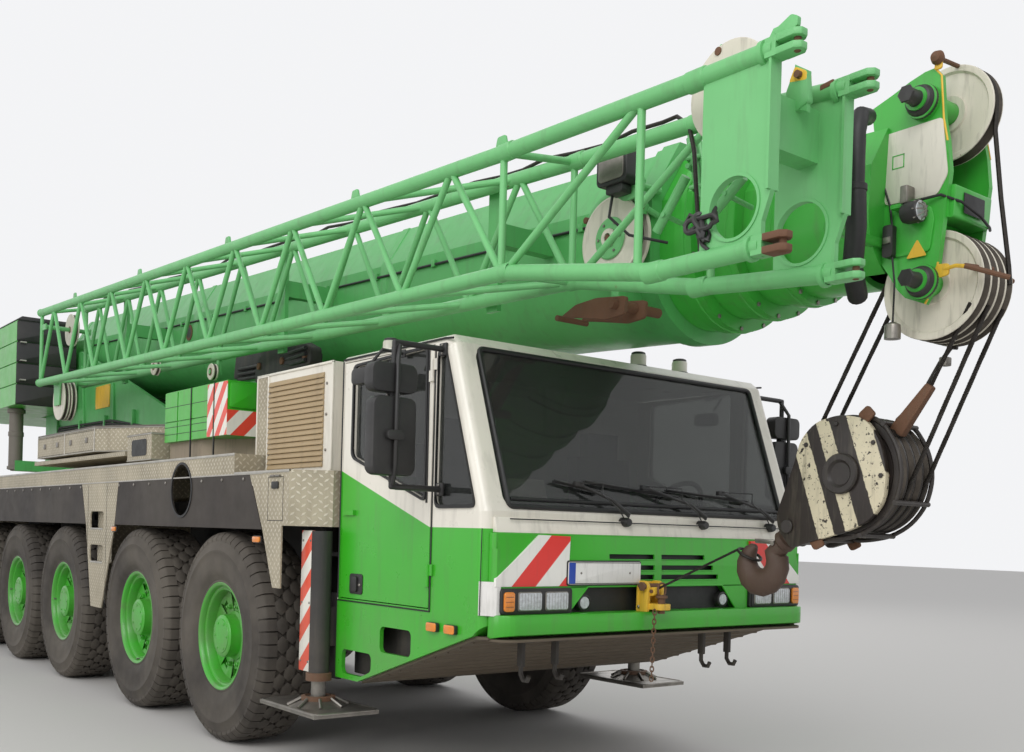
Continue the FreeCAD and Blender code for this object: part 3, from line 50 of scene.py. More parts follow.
def make_camera():
    data = bpy.data.cameras.new("camera")
    cam = bpy.data.objects.new("camera", data)
    bpy.context.scene.collection.objects.link(cam)
    ahead = Vector((math.cos(YAW) * math.cos(PITCH), math.sin(YAW) * math.cos(PITCH), math.sin(PITCH)))
    right = Vector((math.sin(YAW), -math.cos(YAW), 0))
    up = right.cross(ahead)
    right_rolled = math.cos(ROLL) * right + math.sin(ROLL) * up
    up_rolled = -math.sin(ROLL) * right + math.cos(ROLL) * up
    turn = Matrix((right_rolled, up_rolled, -ahead)).transposed().to_4x4()
    place = Vector((CAMERA_AT[0] + OX, CAMERA_AT[1], CAMERA_AT[2]))
    cam.matrix_world = Matrix.Translation(place) @ turn
    data.sensor_width = 36
    data.lens = 1085 * 36 / 1024
    data.shift_x = -(517.96 - 512) / 1024
    data.shift_y = (538.87 - 376) / 1024
    data.clip_end = 200
    bpy.context.scene.camera = cam


def make_stage():
    mesh = bpy.data.meshes.new("floor")
    mesh.from_pydata([(-60, -60, -0.001), (60, -60, -0.001), (60, 60, -0.001), (-60, 60, -0.001)], [],
                     [(0, 1, 2, 3)])
    floor = bpy.data.objects.new("floor", mesh)
    bpy.context.scene.collection.objects.link(floor)
    m = bpy.data.materials.new("floor")
    m.use_nodes = True
    b = m.node_tree.nodes["Principled BSDF"]
    b.inputs["Base Color"].default_value = (0.62, 0.60, 0.57, 1)
    b.inputs["Roughness"].default_value = 0.9
    mesh.materials.append(m)
    world = bpy.data.worlds.new("sky")
    bpy.context.scene.world = world
    world.use_nodes = True
    back = world.node_tree.nodes["Background"]
    back.inputs[0].default_value = (0.86, 0.88, 0.92, 1)
    back.inputs[1].default_value = 0.74
    plain_back = world.node_tree.nodes.new("ShaderNodeBackground")
    plain_back.inputs[0].default_value = (0.90, 0.905, 0.92, 1)
    plain_back.inputs[1].default_value = 1.0
    ray = world.node_tree.nodes.new("ShaderNodeLightPath")
    shown = None
    for kind in ("Is Camera Ray", "Is Glossy Ray", "Is Transmission Ray"):
        if shown is None:
            shown = ray.outputs[kind]
            continue
        larger = world.node_tree.nodes.new("ShaderNodeMath")
        larger.operation = "MAXIMUM"
        world.node_tree.links.new(shown, larger.inputs[0])
        world.node_tree.links.new(ray.outputs[kind], larger.inputs[1])
        shown = larger.outputs[0]
    mix = world.node_tree.nodes.new("ShaderNodeMixShader")
    world.node_tree.links.new(shown, mix.inputs[0])
    world.node_tree.links.new(back.outputs[0], mix.inputs[1])
    world.node_tree.links.new(plain_back.outputs[0], mix.inputs[2])
    world.node_tree.links.new(mix.outputs[0], world.node_tree.nodes["World Output"].inputs[0])
    for name, place, size, power in (
            ("key", (13, -11, 11), 9, 1050), ("fill", (3, -14, 6), 8, 430), ("rear", (-10, 9, 10), 9, 520)):
        data = bpy.data.lights.new(name, "AREA")
        data.size = size
        data.energy = power
        light = bpy.data.objects.new(name, data)
        light.location = place
        light.rotation_mode = "QUATERNION"
        light.rotation_quaternion = (Vector((1.5, 0, 1.5)) - Vector(place)).to_track_quat("-Z", "Y")
        bpy.context.scene.collection.objects.link(light)


make_camera()
make_stage()
bpy.context.scene.view_settings.view_transform = "Standard"


# Wheels: 16.00 R 25 tyres with notched shoulders and six-sided blocks between them, on green
# steel rims with a loose flange ring, hand holes, wheel nuts and a large hub cap. Rubber greys
# with dust; paint fades and gathers grime and rust. Colours lie on metres in the row frame.
M = {}

def node(nt, kind, *ins, **props):
    n = nt.nodes.new("ShaderNode" + kind)
    for k, v in props.items():
        setattr(n, k, v)
    for i, v in enumerate(ins):
        put(nt, n.inputs[i], v)
    return n


def put(nt, socket, value):
    if value is None:
        return
    if hasattr(value, "is_output") or isinstance(value, bpy.types.NodeSocket):
        nt.links.new(value, socket)
    elif isinstance(value, (tuple, list)) and len(value) == 3 and socket.type == "RGBA":
        socket.default_value = (*value, 1)
    else:
        socket.default_value = value


def calc(nt, operation, a, b=None, c=None):
    return node(nt, "Math", a, b, c, operation=operation).outputs[0]


def spots(nt, co, scale, low, high, detail=4.0, rough=0.6, stretch=(1, 1, 1)):
    # Noise cut to a mask: 0 below low, 1 above high.
    where = node(nt, "VectorMath", co, stretch, operation="MULTIPLY").outputs[0]
    tex = node(nt, "TexNoise", where)
    tex.inputs["Scale"].default_value = scale
    tex.inputs["Detail"].default_value = detail
    tex.inputs["Roughness"].default_value = rough
    fit = node(nt, "MapRange", tex.outputs["Fac"], low, high, 0.0, 1.0)
    return fit.outputs[0]


def blend(nt, mask, a, b):
    n = nt.nodes.new("ShaderNodeMix")
    n.data_type = "RGBA"
    put(nt, n.inputs[0], mask)
    put(nt, n.inputs[6], a if not isinstance(a, tuple) else (*a, 1))
    put(nt, n.inputs[7], b if not isinstance(b, tuple) else (*b, 1))
    return n.outputs[2]


def start(name):
    m = bpy.data.materials.new(name)
    m.use_nodes = True
    nt = m.node_tree
    co = nt.nodes.new("ShaderNodeTexCoord").outputs["Object"]
    return m, nt, nt.nodes["Principled BSDF"], co


def worn(nt, bsdf, co, colour, grime=0.35, rust=0.25, rough=0.42, coat=0.25, fade=0.12, bump=0.12,
         low_dirt=0.5, scale=1.0):
    # Layers shared by all painted metal: fading, dirt that runs down, chips with rust.
    dark = blend(nt, spots(nt, co, 1.3 * scale, 0.35, 0.7), colour, shade(nt, colour, 1 - fade))
    runs = spots(nt, co, 5 * scale, 0.52, 0.78, stretch=(3.0, 3.0, 0.35))
    film = calc(nt, "MULTIPLY", runs, grime)
    dirty = blend(nt, film, dark, (0.10, 0.085, 0.06))
    z = node(nt, "SeparateXYZ", co).outputs[2]
    near = node(nt, "MapRange", z, 1.3, 0.5, 0.0, low_dirt).outputs[0]
    splash = calc(nt, "MULTIPLY", near, spots(nt, co, 3.0, 0.3, 0.75))
    muddy = blend(nt, splash, dirty, (0.16, 0.13, 0.10))
    chip = spots(nt, co, 17 * scale, 0.70, 0.73, detail=6, rough=0.7)
    patch = spots(nt, co, 2.2 * scale, 0.45, 0.62)
    chips = calc(nt, "MULTIPLY", calc(nt, "MULTIPLY", chip, patch), rust * 3.2)
    chips = calc(nt, "MINIMUM", chips, 0.92)
    rusty = blend(nt, spots(nt, co, 60, 0.3, 0.7), (0.11, 0.042, 0.018), (0.26, 0.10, 0.035))
    final = blend(nt, chips, muddy, rusty)
    nt.links.new(final, bsdf.inputs["Base Color"])
    r = node(nt, "MapRange", spots(nt, co, 7 * scale, 0.2, 0.8), 0.0, 1.0, rough - 0.08, rough + 0.12)
    wear = calc(nt, "ADD", r.outputs[0], calc(nt, "MULTIPLY", chips, 0.3))
    nt.links.new(wear, bsdf.inputs["Roughness"])
    bsdf.inputs["Coat Weight"].default_value = coat
    bsdf.inputs["Coat Roughness"].default_value = 0.22
    height = calc(nt, "SUBTRACT", spots(nt, co, 26 * scale, 0.2, 0.8), calc(nt, "MULTIPLY", chips, 1.5))
    rise(nt, bsdf, height, bump, 0.0012)


def shade(nt, colour, by):
    if isinstance(colour, tuple):
        return tuple(c * by for c in colour)
    n = node(nt, "HueSaturation")
    n.inputs["Value"].default_value = by
    nt.links.new(colour, n.inputs["Color"])
    return n.outputs[0]


def rise(nt, bsdf, height, strength, distance):
    n = nt.nodes.new("ShaderNodeBump")
    n.inputs["Strength"].default_value = strength
    n.inputs["Distance"].default_value = distance
    nt.links.new(height, n.inputs["Height"])
    nt.links.new(n.outputs[0], bsdf.inputs["Normal"])


def painted(name, colour, **how):
    m, nt, bsdf, co = start(name)
    worn(nt, bsdf, co, colour, **how)
    return m


def plain(name, colour, rough=0.5, metal=0.0, vary=0.15, scale=8.0, bump=0.1, dust=0.0, coat=0.0):
    m, nt, bsdf, co = start(name)
    base = blend(nt, spots(nt, co, scale, 0.3, 0.7), colour, shade(nt, colour, 1 - vary))
    if dust:
        base = blend(nt, calc(nt, "MULTIPLY", spots(nt, co, scale * 0.4, 0.35, 0.75), dust), base,
                     (0.22, 0.19, 0.15))
    nt.links.new(base, bsdf.inputs["Base Color"])
    r = node(nt, "MapRange", spots(nt, co, scale * 2, 0.2, 0.8), 0.0, 1.0, max(0.03, rough - 0.07), rough + 0.1)
    nt.links.new(r.outputs[0], bsdf.inputs["Roughness"])
    bsdf.inputs["Metallic"].default_value = metal
    bsdf.inputs["Coat Weight"].default_value = coat
    rise(nt, bsdf, spots(nt, co, scale * 9, 0.2, 0.8), bump, 0.001)
    return m


GREEN = (0.038, 0.43, 0.014)
M["green"] = painted("green_paint", GREEN, grime=0.30, rust=0.2, coat=0.35, rough=0.36)
M["tyre"] = plain("tyre_rubber", (0.044, 0.037, 0.031), rough=0.78, vary=0.25, scale=4.0, bump=0.3, dust=0.42)
M["under"] = painted("underbody", (0.030, 0.029, 0.028), grime=0.5, rust=0.35, coat=0.0, rough=0.65)
M["steel"] = plain("bare_steel", (0.32, 0.30, 0.27), rough=0.42, metal=0.85, vary=0.4, scale=9.0, dust=0.25)


def dress(names, *keys):
    # Gives the paint or material of carried-over solids; a name may end in a star.
    for name in nodes:
        if any(name == n or (n[-1] == "*" and name.startswith(n[:-1])) for n in names.split()):
            mesh = nodes[name].data
            mesh.materials.clear()
            for k in keys:
                mesh.materials.append(M[k])


dress("wheel_*", "tyre")
dress("knuckle_* axles chassis_frame", "under")


class Shape:
    # Gathers the parts of one piece in a single mesh, in metres from the front axle.

    def __init__(self, *keys):
        self.bm = bmesh.new()
        self.keys = keys or ("green",)
        self.use = 0

    def paint(self, key):
        self.use = self.keys.index(key)
        return self

    def take(self, before, bevel=0.0, segments=2):
        new = [f for f in self.bm.faces if f.index == -1 or f not in before]
        for f in new:
            f.material_index = self.use
        if bevel:
            edges = list({e for f in new for e in f.edges})
            got = bmesh.ops.bevel(self.bm, geom=edges, offset=bevel, segments=segments, affect="EDGES",
                                  profile=0.5, clamp_overlap=True)
            for f in got["faces"]:
                f.material_index = self.use
        return self

    def solid(self, low, high, bevel=0.0, segments=2):
        # A closed body between two outlines that have as many points as each other.
        before = set(self.bm.faces)
        a = [self.bm.verts.new(p) for p in low]
        b = [self.bm.verts.new(p) for p in high]
        n = len(a)
        faces = [self.bm.faces.new(a[::-1]), self.bm.faces.new(b)]
        for i in range(n):
            faces.append(self.bm.faces.new((a[i], a[(i + 1) % n], b[(i + 1) % n], b[i])))
        bmesh.ops.recalc_face_normals(self.bm, faces=faces)
        return self.take(before, bevel, segments)

    def box(self, x0, x1, y0, y1, z0, z1, bevel=0.004, segments=2):
        c = [(x0, y0), (x1, y0), (x1, y1), (x0, y1)]
        return self.solid([(x, y, z0) for x, y in c], [(x, y, z1) for x, y in c], bevel, segments)

    def slab(self, plane, points, a, b, bevel=0.003, segments=2):
        # An outline in one plane, made thick along the third axis.
        def at(p, t):
            return {"xz": (p[0], t, p[1]), "yz": (t, p[0], p[1]), "xy": (p[0], p[1], t)}[plane]
        return self.solid([at(p, a) for p in points], [at(p, b) for p in points], bevel, segments)

    def tube(self, points, r, n=10, closed=False):
        before = set(self.bm.faces)
        pts = [Vector(p) for p in points]
        count = len(pts)
        rings = []
        side = None
        for i, p in enumerate(pts):
            if closed:
                a, b = pts[i - 1], pts[(i + 1) % count]
            else:
                a, b = pts[max(i - 1, 0)], pts[min(i + 1, count - 1)]
            way = (b - a).normalized()
            if side is None:
                side = way.orthogonal().normalized()
            side = (side - way * side.dot(way)).normalized()
            other = way.cross(side)
            rings.append([self.bm.verts.new(p + (side * math.cos(t) + other * math.sin(t)) * r)
                          for t in [2 * math.pi * k / n for k in range(n)]])
        for i in range(count if closed else count - 1):
            ra, rb = rings[i], rings[(i + 1) % count]
            for k in range(n):
                self.bm.faces.new((ra[k], ra[(k + 1) % n], rb[(k + 1) % n], rb[k]))
        if not closed:
            self.bm.faces.new(rings[0][::-1])
            self.bm.faces.new(rings[-1])
        return self.take(before)

    def lathe(self, profile, centre, axis="y", n=32, closed=True):
        # Turns (radius, distance along the axis) round an axis.
        before = set(self.bm.faces)
        c = Vector(centre)
        turn = {"x": lambda r, h, t: (h, r * math.cos(t), r * math.sin(t)),
                "y": lambda r, h, t: (r * math.cos(t), h, r * math.sin(t)),
                "z": lambda r, h, t: (r * math.cos(t), r * math.sin(t), h)}[axis]
        rings = [[self.bm.verts.new(c + Vector(turn(max(r, 1e-4), h, 2 * math.pi * k / n)))
                  for k in range(n)] for r, h in profile]
        made = []
        pairs = list(zip(rings, rings[1:]))
        if closed:
            pairs.append((rings[-1], rings[0]))
        for ra, rb in pairs:
            for k in range(n):
                made.append(self.bm.faces.new((ra[k], ra[(k + 1) % n], rb[(k + 1) % n], rb[k])))
        bmesh.ops.recalc_face_normals(self.bm, faces=made)
        return self.take(before)

    def disc(self, centre, axis, r, width, n=28, bevel=0.003):
        w = width / 2
        b = min(bevel, w * 0.8, r * 0.5)
        return self.lathe([(0, -w), (r - b, -w), (r, -w + b), (r, w - b), (r - b, w), (0, w)],
                          centre, axis, n, closed=False)

    def mirror(self):
        # Adds the same again on the other side of the machine.
        before = set(self.bm.faces)
        got = bmesh.ops.duplicate(self.bm, geom=list(self.bm.verts) + list(self.bm.edges) + list(self.bm.faces))
        for v in [g for g in got["geom"] if isinstance(g, bmesh.types.BMVert)]:
            v.co.y = -v.co.y
        bmesh.ops.reverse_faces(self.bm, faces=[f for f in self.bm.faces if f not in before])
        return self

    def done(self, name, body, slot=None, smooth=34, shift=True, place=None):
        mesh = bpy.data.meshes.new(name)
        if shift:
            bmesh.ops.translate(self.bm, verts=self.bm.verts, vec=(OX, 0, 0))
        self.bm.to_mesh(mesh)
        self.bm.free()
        for k in self.keys:
            mesh.materials.append(M[k])
        mesh.polygons.foreach_set("use_smooth", [True] * len(mesh.polygons))
        mesh.set_sharp_from_angle(angle=math.radians(smooth))
        obj = bpy.data.objects.new(name, mesh)
        bpy.context.scene.collection.objects.link(obj)
        if place is not None:
            obj.matrix_world = place
        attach(obj, body)
        return obj



AXLE_X = (0.0, -1.650, -3.650, -5.300, -6.950)
WHEEL_Y, WHEEL_R = 1.280, 0.720


def tread_block(s, outline, floor, top, inset=0.004):
    # A block on the tread; outline points are (arc length, y).
    before = set(s.bm.faces)
    rings = []
    mid_a = sum(p[0] for p in outline) / len(outline)
    mid_y = sum(p[1] for p in outline) / len(outline)
    for r, pull in ((floor, 0.0), (top - 0.003, 0.0), (top, inset)):
        ring = []
        for a, y in outline:
            a2 = mid_a + (a - mid_a) * (1 - pull / 0.03)
            y2 = mid_y + (y - mid_y) * (1 - pull / 0.03)
            t = a2 / top
            drop = 0.006 * (abs(y2) / 0.175) ** 3
            ring.append(s.bm.verts.new(((r - drop) * math.cos(t), y2, (r - drop) * math.sin(t))))
        rings.append(ring)
    made = [s.bm.faces.new(rings[-1])]
    n = len(outline)
    for ra, rb in zip(rings, rings[1:]):
        for i in range(n):
            made.append(s.bm.faces.new((ra[i], ra[(i + 1) % n], rb[(i + 1) % n], rb[i])))
    s.take(before)


def shoulder_block(s, a0, a1, side):
    # Runs over the shoulder on to the sidewall.
    before = set(s.bm.faces)
    profile = [(0.698, 0.098), (0.717, 0.102), (0.7145, 0.160), (0.706, 0.178), (0.672, 0.2055),
               (0.650, 0.205), (0.690, 0.150)]
    rings = []
    for t in (a0 / 0.72, a1 / 0.72):
        rings.append([s.bm.verts.new((r * math.cos(t), side * y, r * math.sin(t))) for r, y in profile])
    n = len(profile)
    made = [s.bm.faces.new(rings[0]), s.bm.faces.new(rings[1][::-1])]
    for i in range(n):
        made.append(s.bm.faces.new((rings[0][i], rings[1][i], rings[1][(i + 1) % n], rings[0][(i + 1) % n])))
    bmesh.ops.recalc_face_normals(s.bm, faces=made)
    s.take(before)


def make_tyre():
    s = Shape("tyre")
    half = [(0.356, 0.120), (0.356, 0.176), (0.372, 0.186), (0.386, 0.184), (0.392, 0.190),
            (0.420, 0.199), (0.424, 0.203), (0.470, 0.211), (0.530, 0.2165), (0.575, 0.2170),
            (0.578, 0.2195), (0.590, 0.2195), (0.594, 0.2160), (0.640, 0.2070), (0.672, 0.1960),
            (0.694, 0.1740), (0.699, 0.150)]
    profile = half + [(r, -y) for r, y in reversed(half)]
    s.lathe(profile, (0, 0, 0), "y", 96)
    turn = 2 * math.pi * 0.72
    pitches = 54
    p = turn / pitches
    gap = 0.0105
    for i in range(pitches):
        a = i * p
        for side in (1, -1):
            shoulder_block(s, a + (0.25 * p if side < 0 else 0), a + p - gap + (0.25 * p if side < 0 else 0), side)
    rows = 3
    p2 = turn / 36
    for row in range(rows):
        y = (row - 1) * 0.066
        for i in range(36):
            a = (i + 0.5 * (row % 2)) * p2
            h = p2 / 2 - 0.005
            tread_block(s, [(a - h, y), (a - h * 0.5, y - 0.038), (a + h * 0.5, y - 0.038), (a + h, y),
                            (a + h * 0.5, y + 0.038), (a - h * 0.5, y + 0.038)], 0.690, 0.720)
    return s


def make_rim():
    s = Shape("green", "under", "steel")
    s.lathe([(0.334, -0.178), (0.366, -0.178), (0.366, -0.166), (0.356, -0.160), (0.356, 0.160),
             (0.364, 0.166), (0.374, 0.172), (0.374, 0.182), (0.366, 0.187), (0.352, 0.184),
             (0.344, 0.174), (0.340, 0.150), (0.328, 0.146), (0.318, 0.150), (0.312, 0.142),
             (0.312, 0.075), (0.306, 0.060), (0.306, -0.02), (0.334, -0.05)], (0, 0, 0), "y", 64)
    # dished centre with hand holes, built as spokes between two rings
    disc_y0, disc_y1 = 0.044, 0.066
    holes = 10
    for y, sign in ((disc_y1, 1), (disc_y0, -1)):
        before = set(s.bm.faces)
        steps = 6
        for h in range(holes):
            for k in range(steps):
                t0 = 2 * math.pi * (h + k / steps) / holes
                t1 = 2 * math.pi * (h + (k + 1) / steps) / holes
                open_part = 1 <= k <= 3
                spans = [(0.130, 0.232), (0.285, 0.310)] if open_part else [(0.130, 0.310)]
                for r0, r1 in spans:
                    dish = 0.018 if sign > 0 else 0.0
                    quad = [(r0, t0), (r1, t0), (r1, t1), (r0, t1)]
                    vs = [s.bm.verts.new((r * math.cos(t), y + (dish if r > 0.3 else 0), r * math.sin(t)))
                          for r, t in quad]
                    f = s.bm.faces.new(vs)
                    if (f.normal.y if f.normal.length else 1) * sign < 0:
                        f.normal_flip()
        s.take(before)
    bmesh.ops.remove_doubles(s.bm, verts=s.bm.verts, dist=1e-5)
    for h in range(holes):
        t0 = 2 * math.pi * (h + 1 / 6) / holes
        t1 = 2 * math.pi * (h + 4 / 6) / holes
        ring = [(r, t0) for r in (0.232, 0.285)] + [(0.285, t1), (0.232, t1)]
        lips = [[(r * math.cos(t), y, r * math.sin(t)) for r, t in ring] for y in (disc_y0, disc_y1)]
        before = set(s.bm.faces)
        a = [s.bm.verts.new(p) for p in lips[0]]
        b = [s.bm.verts.new(p) for p in lips[1]]
        for i in range(4):
            s.bm.faces.new((a[i], b[i], b[(i + 1) % 4], a[(i + 1) % 4]))
        s.take(before)
    # drum behind, hub with flat cap in front
    s.paint("under").lathe([(0.001, -0.02), (0.214, -0.02), (0.214, 0.020), (0.001, 0.020)], (0, 0, 0), "y", 40)
    s.paint("green").lathe([(0.001, 0.020), (0.172, 0.060), (0.168, 0.078), (0.150, 0.086), (0.146, 0.092),
                            (0.145, 0.166), (0.139, 0.172), (0.118, 0.174), (0.116, 0.1785), (0.030, 0.1795),
                            (0.001, 0.1795)], (0, 0, 0), "y", 48, closed=False)
    for i in range(10):
        t = 2 * math.pi * (i + 0.9) / 10
        s.paint("green").disc((0.208 * math.cos(t), 0.080, 0.208 * math.sin(t)), "y", 0.019, 0.036, 6, 0.003)
        s.paint("green").disc((0.208 * math.cos(t), 0.098, 0.208 * math.sin(t)), "y", 0.010, 0.020, 10, 0.002)
    for i in range(6):
        t = 2 * math.pi * i / 6
        s.paint("green").disc((0.095 * math.cos(t), 0.1795, 0.095 * math.sin(t)), "y", 0.009, 0.008, 6, 0.002)
    s.paint("steel").disc((0.335, 0.150, 0), "y", 0.006, 0.05, 8)
    return s


tyre_mesh = None
rim_mesh = None
for number, axle_x in enumerate(AXLE_X, 1):
    for side_name, side in (("left", 1), ("right", -1)):
        body = "wheel_%d_%s" % (number, side_name)
        place = Matrix.Translation((axle_x + OX, side * WHEEL_Y, WHEEL_R))
        place = place @ Matrix.Rotation(random.randrange(4) * math.pi / 2, 4, "Y")
        if side < 0:
            place = place @ Matrix.Rotation(math.pi, 4, "Z")
        if tyre_mesh is None:
            tyre = make_tyre().done(body + "_tyre", body, "tyre_and_rim", 40, False, place)
            rim = make_rim().done(body + "_rim", body, "green_paint", 40, False, place)
            tyre_mesh, rim_mesh = tyre.data, rim.data
        else:
            made = []
            for part, mesh, slot in (("_tyre", tyre_mesh, "tyre_and_rim"), ("_rim", rim_mesh, "green_paint")):
                obj = bpy.data.objects.new(body + part, mesh)
                bpy.context.scene.collection.objects.link(obj)
                obj.matrix_world = place
                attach(obj, body)
                made.append(obj)
            tyre, rim = made
        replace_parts(tyre, body)


# Driver's cab: welded steel shell painted green below and cream above, the line falling along
# the door and running level round the nose. Glass sits in black rubber sections.
CREAM = (0.80, 0.755, 0.655)
CAB_Y, SCREEN_FOOT, SCREEN_HEAD = 1.260, (2.720, 1.591), (2.405, 2.480)


def above(nt, value, limit, soft=0.0015):
    return node(nt, "MapRange", value, limit - soft, limit + soft, 0.0, 1.0).outputs[0]


def cab_paint():
    m, nt, bsdf, co = start("cab_paint")
    x, y, z = node(nt, "SeparateXYZ", co).outputs
    slope = (1.506 - 1.835) / (2.214 - 1.242)
    line = calc(nt, "MULTIPLY_ADD", x, slope, 1.835 - slope * (1.242 + OX))
    line = calc(nt, "MAXIMUM", line, 1.500)
    over = above(nt, calc(nt, "SUBTRACT", z, line), 0.0)
    rear = above(nt, x, 1.262 + OX)
    over = calc(nt, "MAXIMUM", over, calc(nt, "MULTIPLY", calc(nt, "SUBTRACT", 1.0, rear),
                                          above(nt, z, 1.05)))
    colour = blend(nt, over, GREEN, CREAM)
    worn(nt, bsdf, co, colour, grime=0.26, rust=0.14, rough=0.30, coat=0.45, fade=0.07)
    return m


def glass(name, tint, through=0.75):
    m, nt, bsdf, co = start(name)
    smear = spots(nt, co, 2.2, 0.35, 0.75)
    base = blend(nt, calc(nt, "MULTIPLY", smear, 0.25), tint, shade(nt, tint, 1.5))
    nt.links.new(base, bsdf.inputs["Base Color"])
    bsdf.inputs["Transmission Weight"].default_value = through
    bsdf.inputs["IOR"].default_value = 1.12
    bsdf.inputs["Specular IOR Level"].default_value = 0.6
    bsdf.inputs["Coat Weight"].default_value = 0.55
    bsdf.inputs["Coat IOR"].default_value = 1.55
    bsdf.inputs["Coat Roughness"].default_value = 0.02
    r = node(nt, "MapRange", smear, 0.0, 1.0, 0.01, 0.06)
    nt.links.new(r.outputs[0], bsdf.inputs["Roughness"])
    return m


M["cab"] = cab_paint()
M["glass"] = glass("clear_glass", (0.20, 0.21, 0.20), 0.9)
M["gasket"] = plain("gasket_rubber", (0.014, 0.014, 0.014), rough=0.5, vary=0.2, scale=9.0)
M["cream"] = painted("cream_paint", CREAM, grime=0.30, rust=0.12, coat=0.25, rough=0.4)
M["black"] = plain("black_plastic", (0.018, 0.018, 0.019), rough=0.45, vary=0.3, scale=6.0, bump=0.08,
                   dust=0.08)
M["seat"] = plain("seat_cloth", (0.028, 0.028, 0.032), rough=0.9, vary=0.4, scale=120.0, bump=0.5)
M["amber"] = plain("amber_lens", (0.85, 0.26, 0.02), rough=0.2, vary=0.2, scale=40.0, coat=0.8)
dress("cab_shell cab_door_left cab_door_right", "cab")
dress("cab_interior", "seat")
dress("cab_lamps", "black")
for name in nodes:
    if "glass" in name:
        dress(name, "glass")


def arc(cx, cz, r, a0, a1, n):
    return [(cx + r * math.cos(math.radians(a0 + (a1 - a0) * i / n)),
             cz + r * math.sin(math.radians(a0 + (a1 - a0) * i / n))) for i in range(n + 1)]


def soft(x0, x1, z0, z1, r, n=4):
    # Outline of a rectangle with round corners.
    return (arc(x1 - r, z0 + r, r, -90, 0, n) + arc(x1 - r, z1 - r, r, 0, 90, n)
            + arc(x0 + r, z1 - r, r, 90, 180, n) + arc(x0 + r, z0 + r, r, 180, 270, n))


def rounded(points, r, n=4):
    # Corners of any outline made round.
    out = []
    for i, p in enumerate(points):
        p = Vector(p)
        a, b = Vector(points[i - 1]) - p, Vector(points[(i + 1) % len(points)]) - p
        cut = min(r, a.length * 0.45, b.length * 0.45)
        a, b = p + a.normalized() * cut, p + b.normalized() * cut
        for k in range(n + 1):
            t = k / n
            out.append(tuple((1 - t) ** 2 * a + 2 * t * (1 - t) * p + t * t * b))
    return out


def on_screen(y, t, lift=0.0):
    # A place on the windscreen: t is 0 at the foot and 1 at the head.
    (x0, z0), (x1, z1) = SCREEN_FOOT, SCREEN_HEAD
    return (x0 + (x1 - x0) * t + 0.9426 * lift, y, z0 + (z1 - z0) * t + 0.334 * lift)


def window_seal(s, points, y, wide=0.020, thick=0.010):
    # Rubber frame round a side window, half over the edge of the opening.
    ring = rounded(points, 0.045, 5)
    mid = Vector((sum(p[0] for p in ring) / len(ring), sum(p[1] for p in ring) / len(ring)))
    out = [tuple(Vector(p) + (Vector(p) - mid).normalized() * wide) for p in ring]
    far = y + math.copysign(thick, y)
    n = len(ring)
    before = set(s.bm.faces)
    loops = [[s.bm.verts.new((p[0], yy, p[1])) for p in path]
             for path, yy in ((ring, y - math.copysign(0.004, y)), (ring, far), (out, far),
                              (out, y - math.copysign(0.004, y)))]
    made = []
    for k in range(4):
        a, b = loops[k], loops[(k + 1) % 4]
        for i in range(n):
            made.append(s.bm.faces.new((a[i], a[(i + 1) % n], b[(i + 1) % n], b[i])))
    bmesh.ops.recalc_face_normals(s.bm, faces=made)
    s.take(before)


def make_seals():
    s = Shape("gasket")
    edge = 0.026 / 0.943
    flat = [(-1.130 + 0.025, edge), (1.130 - 0.025, edge), (1.130 - 0.025, 1 - edge), (-1.130 + 0.025, 1 - edge)]
    ring = rounded([(y, t * 0.943) for y, t in flat], 0.035, 5)
    s.tube([on_screen(y, t / 0.943, 0.004) for y, t in ring], 0.014, 8, closed=True)
    s.tube([on_screen(y, 0.075, 0.001) for y in (-1.085, -0.5, 0, 0.5, 1.085)], 0.010, 8)
    quarter = [(2.285, 1.620), (2.640, 1.620), (2.354, 2.425), (2.285, 2.425)]
    for side in (-1, 1):
        window_seal(s, quarter, side * CAB_Y)
        # dark joint down the screen pillar, round the door and along the drip rail
        s.tube([(2.700, side * 1.262, 1.060), (2.705, side * 1.262, 1.50)], 0.0025, 6)
        s.tube([(1.262, side * 1.262, 1.060), (1.262, side * 1.262, 2.485)], 0.005, 6)
        s.tube([(2.252, side * 1.262, 1.050), (2.252, side * 1.262, 2.470)], 0.005, 6)
        s.tube([(1.262, side * 1.262, 1.048), (2.252, side * 1.262, 1.048)], 0.0045, 6)
        s.tube([(1.262, side * 1.262, 2.496), (2.340, side * 1.262, 2.500), (2.400, side * 1.255, 2.496)],
               0.006, 6)
        s.tube([(2.690, side * 1.200, 1.600), (2.395, side * 1.200, 2.455)], 0.0035, 6)
    return s


make_seals().done("cab_seals", "carrier", "black_rubber")

for name, side in (("left", 1), ("right", -1)):
    s = Shape("gasket")
    y = side * CAB_Y
    window_seal(s, [(1.400, 1.912), (2.178, 1.648), (2.168, 2.466), (1.400, 2.442)], y)
    s.slab("xz", [(2.190, 1.63), (2.204, 1.63), (2.196, 2.46), (2.182, 2.46)], y - side * 0.002, y + side * 0.006,
           0.002)
    s.done("door_seal_" + name, "door_" + name, "black_rubber")
    # recessed pull handle with its lock
    s = Shape("black", "steel")
    s.slab("xz", soft(1.400, 1.548, 1.094, 1.214, 0.018), y - side * 0.003, y + side * 0.006, 0.002)
    s.slab("xz", soft(1.425, 1.500, 1.108, 1.200, 0.014), y + side * 0.004, y + side * 0.020, 0.006)
    s.paint("steel").disc((1.525, y + side * 0.008, 1.150), "y", 0.010, 0.014, 14)
    s.done("door_handle_" + name, "door_" + name, "black_plastic")


